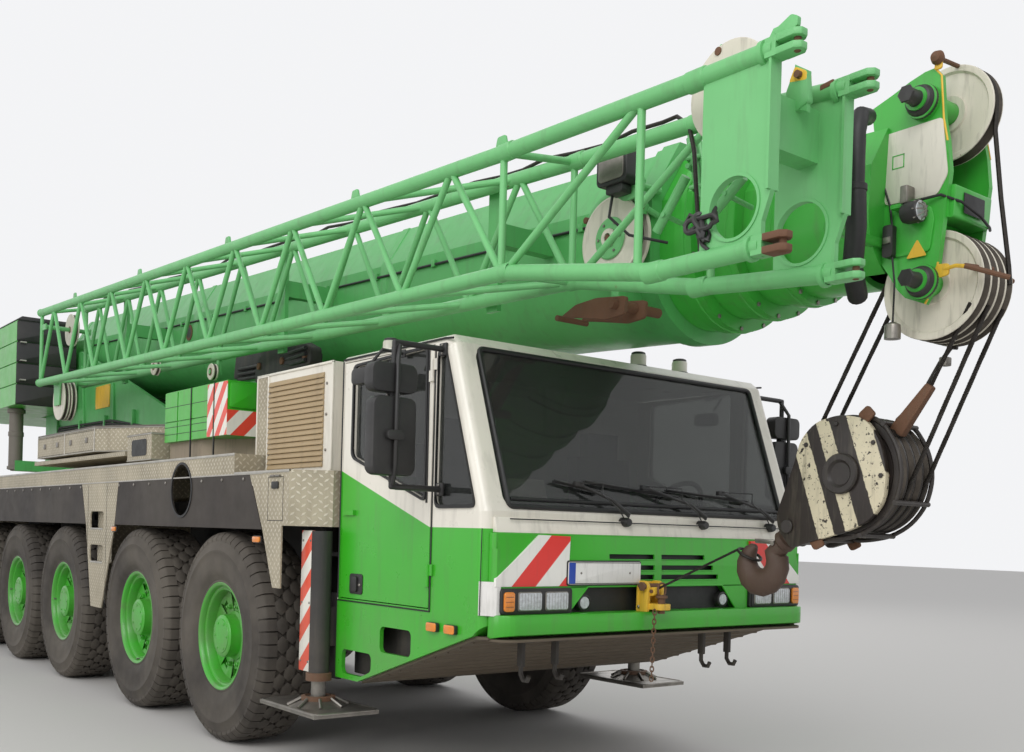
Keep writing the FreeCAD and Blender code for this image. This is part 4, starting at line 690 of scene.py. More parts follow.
def make_beacons():
    # Cream work-lamp pods on the roof with dark domes.
    s = Shape("cream", "black", "amber")
    for x, y in ((1.500, -1.080), (2.250, 0.250), (2.250, 0.620)):
        s.paint("black").disc((x, y, 2.533), "z", 0.058, 0.014, 28)
        s.paint("cream").lathe([(0.0, 0.012), (0.050, 0.012), (0.050, 0.072), (0.046, 0.080), (0.0, 0.082)],
                               (x, y, 2.528), "z", 28, closed=False)
        s.paint("black").lathe([(0.045, 0.080), (0.043, 0.092), (0.030, 0.098), (0.0, 0.100)],
                                                     (x, y, 2.528), "z", 28, closed=False)
    s.paint("cream").slab("xy", soft(2.20, 2.30, 0.18, 0.69, 0.03), 2.521, 2.530, 0.003)
    for side in (1, -1):
        for x in (2.303, 2.469):
            for key, grow, a, b in (("black", 0.049, 0.001, 0.023), ("amber", 0.046, 0.010, 0.027)):
                s.paint(key).slab("xz", soft(x - grow, x + grow, 0.970 - grow * 0.5, 0.970 + grow * 0.5, 0.012),
                                  *sorted((side * (CAB_Y + a), side * (CAB_Y + b))), 0.003)
    return s


make_beacons().done("roof_beacons", "carrier", "lamp_lens")

# Bare white card behind the glass, and a dark instrument box on the dash.
s = Shape("cream", "black")
card = [on_screen(y, (z - 1.591) / 0.889, -0.016) for y, z in ((-1.085, 1.668), (-0.815, 1.668), (-0.815, 1.770), (-1.085, 1.770))]
s.solid(card, [tuple(Vector(p) - Vector((0.004, 0, 0.0014))) for p in card])
s.paint("black").box(2.44, 2.58, -1.06, -0.72, 1.552, 1.640, 0.012)
s.done("dash_card", "carrier", "cream_paint")


# Wipers: three long rubber blades on black steel arms, driven from spindles in the cowl below
# the windscreen, each with a washer hose looped beside it.
WIPERS = (
    ((2.661, -0.779, 1.757), (2.677, -0.462, 1.711), (2.668, -0.625, 1.739), (2.720, -0.305, 1.567)),
    ((2.659, -0.560, 1.764), (2.678, 0.155, 1.708), (2.665, -0.120, 1.745), (2.720, 0.327, 1.572)),
    ((2.665, 0.070, 1.746), (2.679, 0.780, 1.706), (2.667, 0.526, 1.740), (2.720, 0.951, 1.569)))
OUT = Vector((0.9426, 0, 0.334))


def lifted(p, by):
    # A measured place moved out from the plane of the glass.
    v = Vector(p)
    (x0, z0), (x1, z1) = SCREEN_FOOT, SCREEN_HEAD
    t = ((v.x - x0) * (x1 - x0) + (v.z - z0) * (z1 - z0)) / ((x1 - x0) ** 2 + (z1 - z0) ** 2)
    return Vector((x0 + (x1 - x0) * t, v.y, z0 + (z1 - z0) * t)) + OUT * by


s = Shape("black", "gasket")
for tip, heel, hold, spindle in WIPERS:
    a, b, c, d = lifted(tip, 0.030), lifted(heel, 0.030), lifted(hold, 0.044), lifted(spindle, 0.020)
    elbow = lifted(heel, 0.050) * 0.6 + lifted(spindle, 0.050) * 0.4
    s.paint("gasket").tube([a - OUT * 0.016, b - OUT * 0.016], 0.007, 6)
    s.paint("black").tube([a, b], 0.0055, 6)
    s.tube([c, elbow, d + OUT * 0.03], 0.0085, 8)
    s.tube([d + OUT * 0.034 + Vector((0, 0, 0.01)), elbow], 0.011, 8)
    s.box(c.x - 0.016, c.x + 0.012, c.y - 0.030, c.y + 0.030, c.z - 0.014, c.z + 0.012, 0.004)
    s.lathe([(0.0, 0.045), (0.020, 0.045), (0.026, 0.030), (0.028, -0.030), (0.0, -0.030)],
            (2.735, spindle[1], 1.556), "x", 20, closed=False)
    loop = [d + Vector((0.01, -0.02, 0.0)), d + Vector((0.030, -0.075, 0.045)),
            elbow + Vector((0.03, -0.11, 0.03)), elbow + Vector((0.02, -0.10, 0.09)), c + OUT * 0.016]
    s.paint("gasket").tube(loop, 0.0035, 6)
s.done("wipers", "carrier", "black_plastic")

# Cowl below the glass: a cream lip with a dark gap, where the spindles come out.
s = Shape("gasket", "cream")
s.tube([(2.752, -1.12, 1.552), (2.752, 1.12, 1.552)], 0.0035, 6)
s.paint("cream").slab("xz", [(2.716, 1.560), (2.736, 1.560), (2.758, 1.482), (2.720, 1.482)], -1.206, 1.206, 0.003)
s.done("cowl_lip", "carrier", "cream_paint")


# Mirrors: black plastic heads clamped to a bent tube, one set each side, with a small kerb
# mirror over the door. The glass faces back.
def make_mirrors(side):
    s = Shape("black", "steel", "chrome")

    def y(v):
        return side * v
    for (x0, x1, y0, y1, z0, z1, r) in ((2.290, 2.372, 1.454, 1.710, 1.756, 2.157, 0.045),
                                        (2.290, 2.372, 1.452, 1.722, 2.178, 2.327, 0.040)):
        lo, hi = sorted((y(y0), y(y1)))
        s.paint("black").slab("yz", soft(lo, hi, z0, z1, r, 5), x0, x1, 0.012, 3)
        s.paint("chrome").slab("yz", soft(lo + 0.018, hi - 0.018, z0 + 0.018, z1 - 0.018, r * 0.7, 5),
                               x0 - 0.003, x0 + 0.002, 0.001, 1)
    arm = [(2.330, y(1.262), 2.440), (2.330, y(1.545), 2.440), (2.330, y(1.570), 2.415),
           (2.330, y(1.570), 1.725), (2.330, y(1.545), 1.700), (2.330, y(1.262), 1.700)]
    s.paint("black").tube(arm, 0.0155, 12)
    for z in (2.440, 1.700):
        s.box(2.298, 2.362, *sorted((y(1.259), y(1.276))), z - 0.034, z + 0.034, 0.006)
        s.paint("steel")
        for dz in (-0.022, 0.022):
            s.disc((2.330, y(1.278), z + dz), "y", 0.007, 0.008, 6, 0.002)
        s.paint("black")
    for z in (1.965, 2.165):
        s.box(2.306, 2.356, *sorted((y(1.545), y(1.600))), z - 0.035, z + 0.035, 0.010)
        s.paint("steel").disc((2.330, y(1.604), z), "y", 0.009, 0.012, 6, 0.002).paint("black")
    # bar in front of the heads, with its clamp
    s.tube([(2.340, y(1.545), 2.425), (2.384, y(1.580), 2.340), (2.388, y(1.585), 1.800), (2.345, y(1.570), 1.715)], 0.012, 12)
    s.slab("yz", soft(*sorted((y(1.540), y(1.640))), 1.935, 1.985, 0.018), 2.368, 2.402, 0.006)
    return s


def make_kerb_mirror(side):
    # Small mirror over the door, on a thin stay screwed to the door's frame, so it swings with it.
    s = Shape("black")
    y0, y1, y2 = (side * v for v in (1.262, 1.395, 1.450))
    s.tube([(1.930, y0, 2.462), (1.930, side * 1.400, 2.470), (1.850, side * 1.420, 2.400)], 0.009, 10)
    s.box(1.905, 1.955, *sorted((y0, side * 1.272)), 2.440, 2.484, 0.004)
    s.slab("xz", soft(1.680, 1.870, 2.290, 2.380, 0.030, 5), *sorted((y1, y2)), 0.012, 3)
    return s


M["chrome"] = plain("bright_rod", (0.62, 0.62, 0.62), rough=0.16, metal=1.0, vary=0.1, scale=12.0)
dress("mirrors", "black")
for name, side in (("left", 1), ("right", -1)):
    make_mirrors(side).done("mirror_set_" + name, "carrier", "black_plastic")
    make_kerb_mirror(side).done("kerb_mirror_" + name, "door_" + name, "black_plastic")


# Nose panel: green sheet with grille slots, lamp bays at the corners and a recess with two fog
# lamps. Reflective red and white sheets are stuck on at each side; the number plate is bare.
NOSE_X = 2.775
RED = (0.72, 0.045, 0.03)
M["lens"] = plain("lamp_glass", (0.62, 0.64, 0.66), rough=0.08, vary=0.35, scale=60.0, bump=0.5, coat=1.0)
M["blue"] = plain("blue_band", (0.02, 0.07, 0.42), rough=0.35, vary=0.1, coat=0.3)
M["plate"] = painted("plate_sheet", (0.82, 0.80, 0.76), grime=0.25, rust=0.0, rough=0.3, coat=0.3, scale=3.0)


def hatched(name, one, two, width, tilt, axis_a="x", axis_b="z", shift=0.0, gloss=0.35):
    # Reflective warning sheet in slanted bands.
    m, nt, bsdf, co = start(name)
    parts = dict(zip("xyz", node(nt, "SeparateXYZ", co).outputs))
    if axis_a == "|y|":
        parts["|y|"] = calc(nt, "ABSOLUTE", parts["y"])
    s = calc(nt, "MULTIPLY_ADD", parts[axis_b], tilt, parts[axis_a])
    s = calc(nt, "DIVIDE", calc(nt, "ADD", s, shift), 2 * width)
    band = above(nt, calc(nt, "FRACT", s), 0.5, 0.012)
    worn(nt, bsdf, co, blend(nt, band, one, two), grime=0.22, rust=0.06, rough=gloss, coat=0.3, fade=0.08,
         low_dirt=0.15, scale=1.6)
    return m


# bands rise towards the middle of the nose
M["nose_bands"] = hatched("nose_bands", (0.88, 0.86, 0.80), (0.80, 0.04, 0.03), 0.158, 0.968, "|y|", "z",
                          0.2365)
# Belly colour: a dark brown that paints the shade under the nose over a sheet that is a paler tan; painted shade, with
# real grime and rust on top.
M["belly"] = painted("belly_sheet_painted_shade", (0.115, 0.088, 0.058), grime=0.5, rust=0.3, coat=0.0, rough=0.7, scale=2.0)
dress("front_panel", "green")


def nose_at(z):
    # The panel leans back a little towards its top edge.
    return NOSE_X - 0.1 * max(0.0, z - 1.330)


def nose_cell(s, y0, y1, z0, z1):
    a, b = nose_at(z0), nose_at(z1)
    s.solid([(a - 0.012, y0, z0), (a, y0, z0), (a, y1, z0), (a - 0.012, y1, z0)],
            [(b - 0.012, y0, z1), (b, y0, z1), (b, y1, z1), (b - 0.012, y1, z1)])


def make_nose():
    s = Shape("green", "gasket", "belly", "under")
    bar, wide = (-0.093, -0.037), 1.205
    rows = ((1.200, 1.237, None), (1.237, 1.267, (-0.565, 0.445)), (1.267, 1.290, None),
            (1.290, 1.320, (-0.518, 0.398)), (1.320, 1.350, None), (1.350, 1.380, (-0.442, 0.325)),
            (1.380, 1.480, None))
    for z0, z1, slot in rows:
        if slot is None:
            nose_cell(s, -wide, wide, z0, z1)
            continue
        for y0, y1 in ((-wide, slot[0]), bar, (slot[1], wide)):
            nose_cell(s, y0, y1, z0, z1)
        for y0, y1 in ((slot[0], bar[0]), (bar[1], slot[1])):
            # lip folded in along the foot of the slot
            s.box(nose_at(z0) - 0.030, nose_at(z0) + 0.004, y0, y1, z0 - 0.003, z0 + 0.003, 0.002, 1)
    s.slab("yz", [(-0.717, 1.084), (-0.597, 1.205), (-0.717, 1.205)], NOSE_X - 0.012, NOSE_X, 0.0)
    s.slab("yz", [(0.483, 1.205), (0.610, 1.066), (0.717, 1.066), (0.717, 1.205)], NOSE_X - 0.012, NOSE_X, 0.0)
    for a, b in (((-0.597, 1.205), (-0.735, 1.066)), ((0.483, 1.205), (0.610, 1.066)), ((-0.597, 1.205), (0.483, 1.205))):
        s.tube([(NOSE_X - 0.002, a[0], a[1]), (NOSE_X - 0.002, b[0], b[1])], 0.006, 8)
    s.box(2.7205, 2.762, -wide, wide, 1.472, 1.482, 0.004)
    for side in (-1, 1):
        corner = [(2.7205, side * 1.203), (2.7205, side * 1.2255), (2.742, side * 1.2255), (2.762, side * 1.2225),
                  (2.7745, side * 1.214), (2.7750, side * 1.203)]
        s.slab("xy", corner, 1.200, 1.400, 0.0)
        s.slab("xy", [(x - 0.012 * (x > 2.75), y) for x, y in corner], 1.399, 1.480, 0.0)
        s.paint("gasket").box(2.7205, 2.726, *sorted((side * 0.717, side * 1.215)), 1.066, 1.203, 0.0)
        s.paint("green")
    # bumper with rounded ends and the lip of the belly sheet under it
    ring = [(2.7205, -1.225)] + arc(2.740, -1.115, 0.110, -90, 0, 6) + arc(2.740, 1.115, 0.110, 0, 90, 6) + [(2.7205, 1.225)]
    s.solid([(x, y, 0.942 + 0.19 * (x - 2.7205)) for x, y in ring], [(x, y, 1.066) for x, y in ring], 0.006, 2)
    s.paint("gasket").slab("yz", [(-0.597, 1.203), (0.483, 1.203), (0.608, 1.067), (-0.733, 1.067)], 2.724, 2.732, 0.0)
    s.box(2.728, 2.741, -0.60, 0.48, 1.225, 1.395, 0.002)
    s.box(2.724, 2.770, -0.16, -0.10, 1.067, 1.200, 0.004)
    # belly sheet in its dark brown: painted shade under the nose
    s.paint("belly")
    s.slab("xz", [(1.520, 0.570), (2.640, 0.932), (2.740, 0.941), (2.740, 0.951), (2.640, 0.9496), (1.520, 0.582)],
           -1.2345, 1.2345, 0.0)
    s.slab("xy", [(x - 0.006, y * 0.994) for x, y in ring], 0.930, 0.944, 0.003)
    for k in range(9):
        # stiffening folds across the belly
        x = 1.66 + 0.115 * k
        z = 0.570 + 0.3232 * (x - 1.520)
        s.slab("xz", [(x - 0.012, z - 0.004), (x, z - 0.012), (x + 0.012, z + 0.004), (x, z + 0.004)], -1.20, 1.20, 0.0)
    # transport hooks that hang below the belly
    for y in (-0.84, -0.60, 0.60, 0.84):
        s.paint("under").box(2.50, 2.545, y - 0.012, y + 0.012, 0.760, 0.925, 0.004)
        s.tube([(2.522, y, 0.770), (2.522, y, 0.720), (2.545, y, 0.690), (2.580, y, 0.690), (2.592, y, 0.715)], 0.013, 8)
        s.box(2.44, 2.60, y - 0.030, y + 0.030, 0.895, 0.925, 0.004)
    return s


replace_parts(make_nose().done("nose_panel", "carrier", "green_paint"), "front_panel")

s = Shape("nose_bands", "plate", "steel")
for side in (-1, 1):
    upper = [(side * y, z) for y, z in ((1.222, 1.208), (0.742, 1.208), (0.732, 1.470), (0.941, 1.474),
                                        (1.222, 1.250))]
    s.paint("nose_bands").slab("yz", upper, NOSE_X - 0.016, NOSE_X + 0.004, 0.001, 1)
    s.paint("plate").slab("xy", [(2.7790, side * 1.190), (2.7770, side * 1.213), (2.7620, side * 1.2275), (2.7420, side * 1.2300),
                                 (2.690, side * 1.2625), (2.690, side * 1.2595), (2.742, side * 1.2270), (2.760, side * 1.2245),
                                 (2.7740, side * 1.210), (2.7755, side * 1.190)], 1.060, 1.232, 0.0, 1)
s.done("hazard_sheets", "carrier", "cream_paint")

# Bare number plate on its holder, with a blue band at one end and four screws.
s = Shape("plate", "blue", "black", "steel")
s.paint("black").slab("yz", soft(-0.756, -0.210, 1.210, 1.344, 0.012), NOSE_X - 0.004, NOSE_X + 0.008, 0.003)
s.paint("plate").slab("yz", soft(-0.749, -0.216, 1.217, 1.337, 0.010), NOSE_X + 0.006, NOSE_X + 0.013, 0.002)
s.paint("blue").slab("yz", soft(-0.746, -0.700, 1.221, 1.333, 0.006), NOSE_X + 0.0125, NOSE_X + 0.0142, 0.0004, 1)
s.paint("black")
for z0, z1 in ((1.2195, 1.2235), (1.3305, 1.3345)):
    s.slab("yz", [(-0.745, z0), (-0.220, z0), (-0.220, z1), (-0.745, z1)], NOSE_X + 0.0125, NOSE_X + 0.014, 0.0004, 1)
for y in (-0.660, -0.300):
    s.paint("steel").disc((NOSE_X + 0.014, y, 1.277), "x", 0.006, 0.004, 10, 0.001)
s.done("number_plate", "carrier", "cream_paint")


def lamp_unit(s, side):
    # Two square clear lenses and an upright amber one in a black bezel.
    def span(a, b):
        return sorted((side * a, side * b))
    s.paint("black").slab("yz", soft(*span(0.738, 1.196), 1.068, 1.199, 0.018), 2.740, 2.797, 0.004)
    for a, b in ((0.756, 0.914), (0.936, 1.094)):
        y0, y1 = span(a, b)
        s.paint("steel").slab("yz", soft(y0, y1, 1.083, 1.183, 0.014), 2.794, 2.801, 0.003)
        s.paint("lens").slab("yz", soft(y0 + 0.007, y1 - 0.007, 1.089, 1.177, 0.011), 2.799, 2.809, 0.005, 3)
        s.paint("steel")
        for k in range(1, 8):
            y = y0 + (y1 - y0) * k / 8
            s.box(2.8075, 2.8100, y - 0.0008, y + 0.0008, 1.092, 1.174, 0.0004, 1)
    y0, y1 = span(1.118, 1.184)
    s.paint("amber").slab("yz", soft(y0, y1, 1.083, 1.183, 0.016), 2.794, 2.808, 0.006, 3)
    s.paint("black")
    for z in (1.108, 1.133, 1.158):
        s.box(2.806, 2.8095, y0 + 0.008, y1 - 0.008, z - 0.001, z + 0.001, 0.0004, 1)


s = Shape("black", "lens", "amber", "steel", "gasket", "green")
for side in (-1, 1):
    lamp_unit(s, side)
for y in (-0.615, 0.497):
    s.paint("black").lathe([(0.0, 0.0), (0.045, 0.0), (0.045, 0.040), (0.036, 0.044), (0.035, 0.036), (0.0, 0.036)],
                           (2.732, y, 1.118), "x", 28, closed=False)
    s.paint("lens").disc((2.770, y, 1.118), "x", 0.034, 0.008, 24, 0.004)
s.done("front_lamps", "carrier", "lamp_lens")

# Tow point: worn yellow steel lugs bolted through the bumper, with a pin and a hanging chain.
def chain(s, a, b, link=0.034, thick=0.0038, sag=0.0, odd=0):
    # Welded links, every other one turned a quarter.
    a, b = Vector(a), Vector(b)
    n = max(2, int((b - a).length / (link * 0.72)))
    for i in range(n):
        t = (i + 0.5) / n
        p = a.lerp(b, t) + Vector((0, 0, -sag * 4 * t * (1 - t)))
        q = a.lerp(b, t + 0.5 / n) + Vector((0, 0, -sag * 4 * (t + 0.5 / n) * (1 - t - 0.5 / n)))
        way = (q - p).normalized()
        side = way.orthogonal().normalized()
        other = way.cross(side)
        if (i + odd) % 2:
            side, other = other, -side
        pts = []
        for k in range(10):
            ang = 2 * math.pi * k / 10
            pts.append(p + way * (math.cos(ang) * link * 0.5) + side * (math.sin(ang) * link * 0.28))
        s.tube(pts, thick, 5, closed=True)


M["yellow"] = painted("yellow_paint", (0.82, 0.50, 0.04), grime=0.4, rust=0.75, coat=0.1, rough=0.5, scale=3.0)
M["rust"] = painted("rusty_steel", (0.15, 0.070, 0.036), grime=0.4, rust=0.5, coat=0.0, rough=0.75, scale=3.0)
s = Shape("yellow", "rust", "steel")
for y in (-0.213, -0.108):
    s.paint("yellow").slab("xz", rounded([(2.778, 1.062), (2.850, 1.062), (2.858, 1.200), (2.838, 1.236), (2.778, 1.236)],
                                         0.016), y - 0.011, y + 0.011, 0.003)
s.slab("yz", soft(-0.232, -0.086, 1.060, 1.232, 0.010), 2.774, 2.784, 0.003)
s.slab("xy", soft(2.750, 2.940, -0.210, -0.112, 0.03), 1.078, 1.112, 0.004)
s.paint("rust").tube([(2.830, -0.242, 1.205), (2.830, -0.076, 1.205)], 0.017, 16)
s.disc((2.830, -0.244, 1.205), "y", 0.027, 0.014, 6)
s.tube([(2.900, -0.161, 1.058), (2.900, -0.161, 1.142)], 0.0205, 16)
s.disc((2.900, -0.161, 1.150), "z", 0.033, 0.016, 20)
s.tube(rounded([(2.900, -0.190, 1.155), (2.900, -0.190, 1.225), (2.900, -0.132, 1.225), (2.900, -0.132, 1.155)],
               0.03, 4), 0.006, 8, closed=True)
s.paint("steel")
for y in (-0.223, -0.095):
    for z in (1.090, 1.208):
        s.disc((2.788, y, z), "x", 0.011, 0.012, 6, 0.002)
s.paint("rust")
chain(s, (2.900, -0.212, 1.080), (2.898, -0.222, 0.690))
s.done("tow_point", "carrier", "hook_paint")

# Foot holes in the cab side and the belly: dark sheets behind the openings, painted shade that makes the holes look
# dark inside.
s = Shape("under")
for side in (-1, 1):
    y0, y1 = sorted((side * 1.130, side * 1.140))
    s.slab("xz", [(1.27, 0.600), (1.52, 0.600), (2.58, 0.945), (2.58, 1.005), (1.27, 1.005)], y0, y1, 0.003)
s.done("step_hole_shade", "carrier", "grey_underbody")


# Outriggers: box beams that slide out sideways, each ending in an upright ram with a broad
# steel foot. A red and white board, a plain plate and a rubber end stop cover the ram.
OUTRIGGERS = (("front", 1.090), ("rear", -8.600))
M["board"] = hatched("warning_board", (0.84, 0.81, 0.72), (0.80, 0.10, 0.05), 0.112, -1.0, "x", "z", 0.05)
M["flap"] = plain("flap_rubber", (0.026, 0.019, 0.015), rough=0.62, vary=0.3, scale=3.0, bump=0.2, dust=0.16)
M["white"] = painted("white_paint", (0.78, 0.76, 0.70), grime=0.45, rust=0.3, coat=0.1, scale=2.5)
dress("outrigger_beam_*", "under")
dress("outrigger_jack_*", "steel")
for place, middle in OUTRIGGERS:
    for name, side in (("left", 1), ("right", -1)):
        jack_x = middle + 0.100
        s = Shape("board", "white", "flap", "rust", "steel")
        y0, y1 = sorted((side * 1.358, side * 1.377))
        s.paint("board").slab("xz", soft(jack_x - 0.192, jack_x - 0.052, 0.600, 1.462, 0.008), y0, y1, 0.002)
        y0, y1 = sorted((side * 1.356, side * 1.374))
        s.paint("white").slab("xz", soft(jack_x - 0.050, jack_x - 0.006, 0.596, 1.458, 0.006), y0, y1, 0.002)
        y0, y1 = sorted((side * 1.205, side * 1.246))
        s.paint("flap").slab("xz", soft(middle - 0.263, middle - 0.098, 0.556, 1.090, 0.02), y0, y1, 0.004)
        s.paint("rust")
        for z in (0.700, 1.350):
            s.box(jack_x - 0.150, jack_x - 0.040, *sorted((side * 1.300, side * 1.360)), z - 0.025, z + 0.025, 0.004)
        s.lathe([(0.063, 0.556), (0.078, 0.556), (0.078, 0.600), (0.063, 0.604)], (jack_x, side * 1.340, 0), "z", 28)
        s.paint("steel")
        for z in (0.66, 1.02, 1.40):
            for dx in (-0.170, -0.075):
                s.disc((jack_x + dx, side * 1.377, z), "y", 0.008, 0.008, 6, 0.002)
        s.done("ram_board_%s_%s" % (place, name), "outrigger_beam_%s_%s" % (place, name), "cream_paint")
        # the foot: rim turned up, stiffening ribs, clamp ring on the ball
        s = Shape("steel", "rust")
        cy = side * 1.325
        rim = rounded([(jack_x - 0.382, cy - 0.212), (jack_x + 0.332, cy - 0.212), (jack_x + 0.332, cy + 0.212),
                       (jack_x - 0.382, cy + 0.212)], 0.05, 4)
        s.tube([(x, y, 0.402) for x, y in rim], 0.009, 8, closed=True)
        for k in range(8):
            t = 2 * math.pi * k / 8 + 0.39
            a = Vector((jack_x + 0.100 * math.cos(t), side * 1.340 + 0.100 * math.sin(t), 0.452))
            b = Vector((jack_x + 0.182 * math.cos(t), side * 1.340 + 0.182 * math.sin(t), 0.410))
            s.tube([a, b], 0.010, 6)
        s.paint("rust").lathe([(0.081, 0.438), (0.102, 0.438), (0.104, 0.462), (0.081, 0.466)],
                              (jack_x, side * 1.340, 0), "z", 28)
        s.done("foot_rim_%s_%s" % (place, name), "outrigger_jack_%s_%s" % (place, name), "rope_sheave")


# Deck: aluminium tread plate over lockers, with raised lozenges that cross, dulled by dirt in
# the low places. Rubber flaps hang outside the wheels on steel clips; amber lamps mark the side.
ALU = (0.47, 0.415, 0.305)


def mixv(nt, mask, a, b):
    n = nt.nodes.new("ShaderNodeMix")
    n.data_type = "FLOAT"
    put(nt, n.inputs[0], mask)
    put(nt, n.inputs[2], a)
    put(nt, n.inputs[3], b)
    return n.outputs[0]


def lozenge(nt, along, across):
    # A slim pointed rise: long one way, thin the other.
    d = calc(nt, "ADD", calc(nt, "MULTIPLY", along, 1.15), calc(nt, "MULTIPLY", across, 3.0))
    return node(nt, "MapRange", d, 0.62, 0.44, 0.0, 1.0).outputs[0]


def chequer():
    m, nt, bsdf, co = start("chequer_plate")
    x, y, z = node(nt, "SeparateXYZ", co).outputs
    normal = nt.nodes.new("ShaderNodeNewGeometry").outputs["Normal"]
    nx, ny, nz = [calc(nt, "ABSOLUTE", o) for o in node(nt, "SeparateXYZ", normal).outputs]
    flat = above(nt, nz, 0.7, 0.05)
    across = above(nt, nx, 0.7, 0.05)
    u = mixv(nt, across, x, y)
    v = mixv(nt, flat, z, y)
    pitch = 0.052
    a = calc(nt, "DIVIDE", calc(nt, "ADD", u, v), pitch)
    b = calc(nt, "DIVIDE", calc(nt, "SUBTRACT", u, v), pitch)
    fa = calc(nt, "ABSOLUTE", calc(nt, "SUBTRACT", calc(nt, "FRACT", a), 0.5))
    fb = calc(nt, "ABSOLUTE", calc(nt, "SUBTRACT", calc(nt, "FRACT", b), 0.5))
    odd = calc(nt, "MODULO", calc(nt, "ADD", calc(nt, "FLOOR", a), calc(nt, "FLOOR", b)), 2.0)
    odd = calc(nt, "GREATER_THAN", calc(nt, "ABSOLUTE", odd), 0.5)
    shape = mixv(nt, odd, lozenge(nt, fa, fb), lozenge(nt, fb, fa))
    low = blend(nt, spots(nt, co, 2.5, 0.3, 0.7), ALU, shade(nt, ALU, 0.72))
    high = blend(nt, spots(nt, co, 9.0, 0.3, 0.7), (0.64, 0.59, 0.48), (0.53, 0.475, 0.365))
    base = blend(nt, shape, low, high)
    runs = calc(nt, "MULTIPLY", spots(nt, co, 4, 0.5, 0.8, stretch=(3, 3, 0.4)), 0.45)
    base = blend(nt, runs, base, (0.18, 0.145, 0.095))
    nt.links.new(base, bsdf.inputs["Base Color"])
    bsdf.inputs["Metallic"].default_value = 0.30
    r = node(nt, "MapRange", shape, 0.0, 1.0, 0.62, 0.42)
    nt.links.new(r.outputs[0], bsdf.inputs["Roughness"])
    rise(nt, bsdf, shape, 0.55, 0.003)
    return m


M["alu"] = chequer()
M["trim"] = plain("bare_edge", (0.56, 0.54, 0.49), rough=0.42, metal=0.6, vary=0.3, scale=6.0, dust=0.2)
dress("deck", "alu")
dress("fenders", "flap")

s = Shape("trim", "steel", "black", "amber", "gasket")
for side in (-1, 1):
    y = side * 1.500
    # flanged edges of the tread plate
    for x0, x1, z in ((-9.945, 0.248, 1.957), (0.252, 1.050, 1.827)):
        s.paint("trim").box(x0, x1, *sorted((y - side * 0.012, y + side * 0.004)), z - 0.012, z + 0.006, 0.003)
    s.box(-9.945, -2.12, *sorted((y, y + side * 0.003)), 1.812, 1.822, 0.001)
    s.box(-2.12, 0.685, *sorted((y, y + side * 0.003)), 1.812, 1.822, 0.001)
    # bolts and clips of the flaps
    s.paint("steel")
    for x0, x1 in ((-2.02, 0.40), (-7.60, -3.05)):
        n = int((x1 - x0) / 0.31)
        for k in range(n + 1):
            x = x0 + (x1 - x0) * k / n
            if abs(x + 0.665) > 0.24 or not x0 > -3:
                s.disc((x, y + side * 0.002, 1.785), "y", 0.012, 0.010, 8, 0.003)
    # ring round the filler port, with the pale tank end and cap inside
    s.paint("gasket").lathe([(0.186, 0.000), (0.203, 0.000), (0.203, 0.006), (0.186, 0.006)],
                            (-0.665, y, 1.728) if side > 0 else (-0.665, y - 0.006, 1.728), "y", 48)
    s.paint("trim").lathe([(0.0, 0.0), (0.120, 0.0), (0.126, 0.012), (0.126, 0.06), (0.0, 0.06)],
                          (-0.625, side * 1.36 - 0.03, 1.690), "y", 32)
    s.lathe([(0.0, -0.01), (0.176, -0.01), (0.176, 0.0), (0.0, 0.0)], (-0.665, side * 1.315, 1.728), "y", 40)
    # amber side markers
    for x in (0.637, -1.399, -2.106, -7.50, -9.60):
        z = 1.395 if x > -3 else 1.20
        if x < -1.3 and x > -2.2:
            z = 1.424
        depth = y if (x > 0.5 or x < -7.3 or -2.9 < x < -2.09) else side * 1.18
        if abs(depth) < 1.4:
            continue
        s.paint("black").slab("xz", soft(x - 0.058, x + 0.058, z - 0.024, z + 0.024, 0.012),
                              *sorted((depth - side * 0.004, depth + side * 0.008)), 0.003)
        s.paint("amber").slab("xz", soft(x - 0.050, x + 0.050, z - 0.018, z + 0.018, 0.010),
                              *sorted((depth + side * 0.006, depth + side * 0.018)), 0.005)
    # seams, hinges and latches of the side lockers
    for x in (-2.830, -2.330):
        s.paint("gasket").box(x - 0.003, x + 0.003, *sorted((y, y + side * 0.0012)), 0.75, 1.80, 0.0004, 1)
    for x0, x1, z0, z1 in ((-9.90, -8.92, 0.960, 1.740), (-8.34, -7.86, 0.960, 1.740), (0.765, 0.975, 1.515, 1.79)):
        s.paint("gasket")
        for a, b, c, d in ((x0, x1, z0, z0 + 0.004), (x0, x1, z1 - 0.004, z1), (x0, x0 + 0.004, z0, z1),
                           (x1 - 0.004, x1, z0, z1)):
            s.box(a, b, *sorted((y, y + side * 0.0012)), c, d, 0.0004, 1)
        s.paint("black").slab("xz", soft((x0 + x1) / 2 - 0.045, (x0 + x1) / 2 + 0.045, z1 - 0.075, z1 - 0.03, 0.01),
                              *sorted((y, y + side * 0.010)), 0.003)
        s.paint("steel")
        for x in (x0 + 0.07, x1 - 0.07):
            s.tube([(x - 0.03, y + side * 0.006, z1 + 0.004), (x + 0.03, y + side * 0.006, z1 + 0.004)], 0.007, 8)
    # step lips in the panel between the wheel groups
    for z in (1.130, 1.420):
        s.paint("trim").slab("xz", soft(-2.745, -2.415, z - 0.008, z + 0.006, 0.006),
                             *sorted((y - side * 0.06, y + side * 0.004)), 0.003)
s.done("deck_trim", "carrier", "tread_plate")


# Engine hood: cream sheet housing behind the cab with a louvred intake each side, and square
# tread-plate boxes behind it with a cream edge.
M["louvre"] = painted("louvre_paint", (0.40, 0.295, 0.165), grime=0.30, rust=0.05, coat=0.0, rough=0.55)
dress("engine_hood", "cream", "alu", "louvre")
dress("engine_block", "under")
for f in nodes["engine_hood"].data.polygons:
    c = f.center
    # metres in the row frame: the boxes behind the housing, then the slats in their opening
    if c.x < 0.249 + OX:
        f.material_index = 1
    elif 0.338 + OX < c.x < 1.06 + OX and 1.2 < abs(c.y) < 1.2895 and 1.895 < c.z < 2.408:
        f.material_index = 2

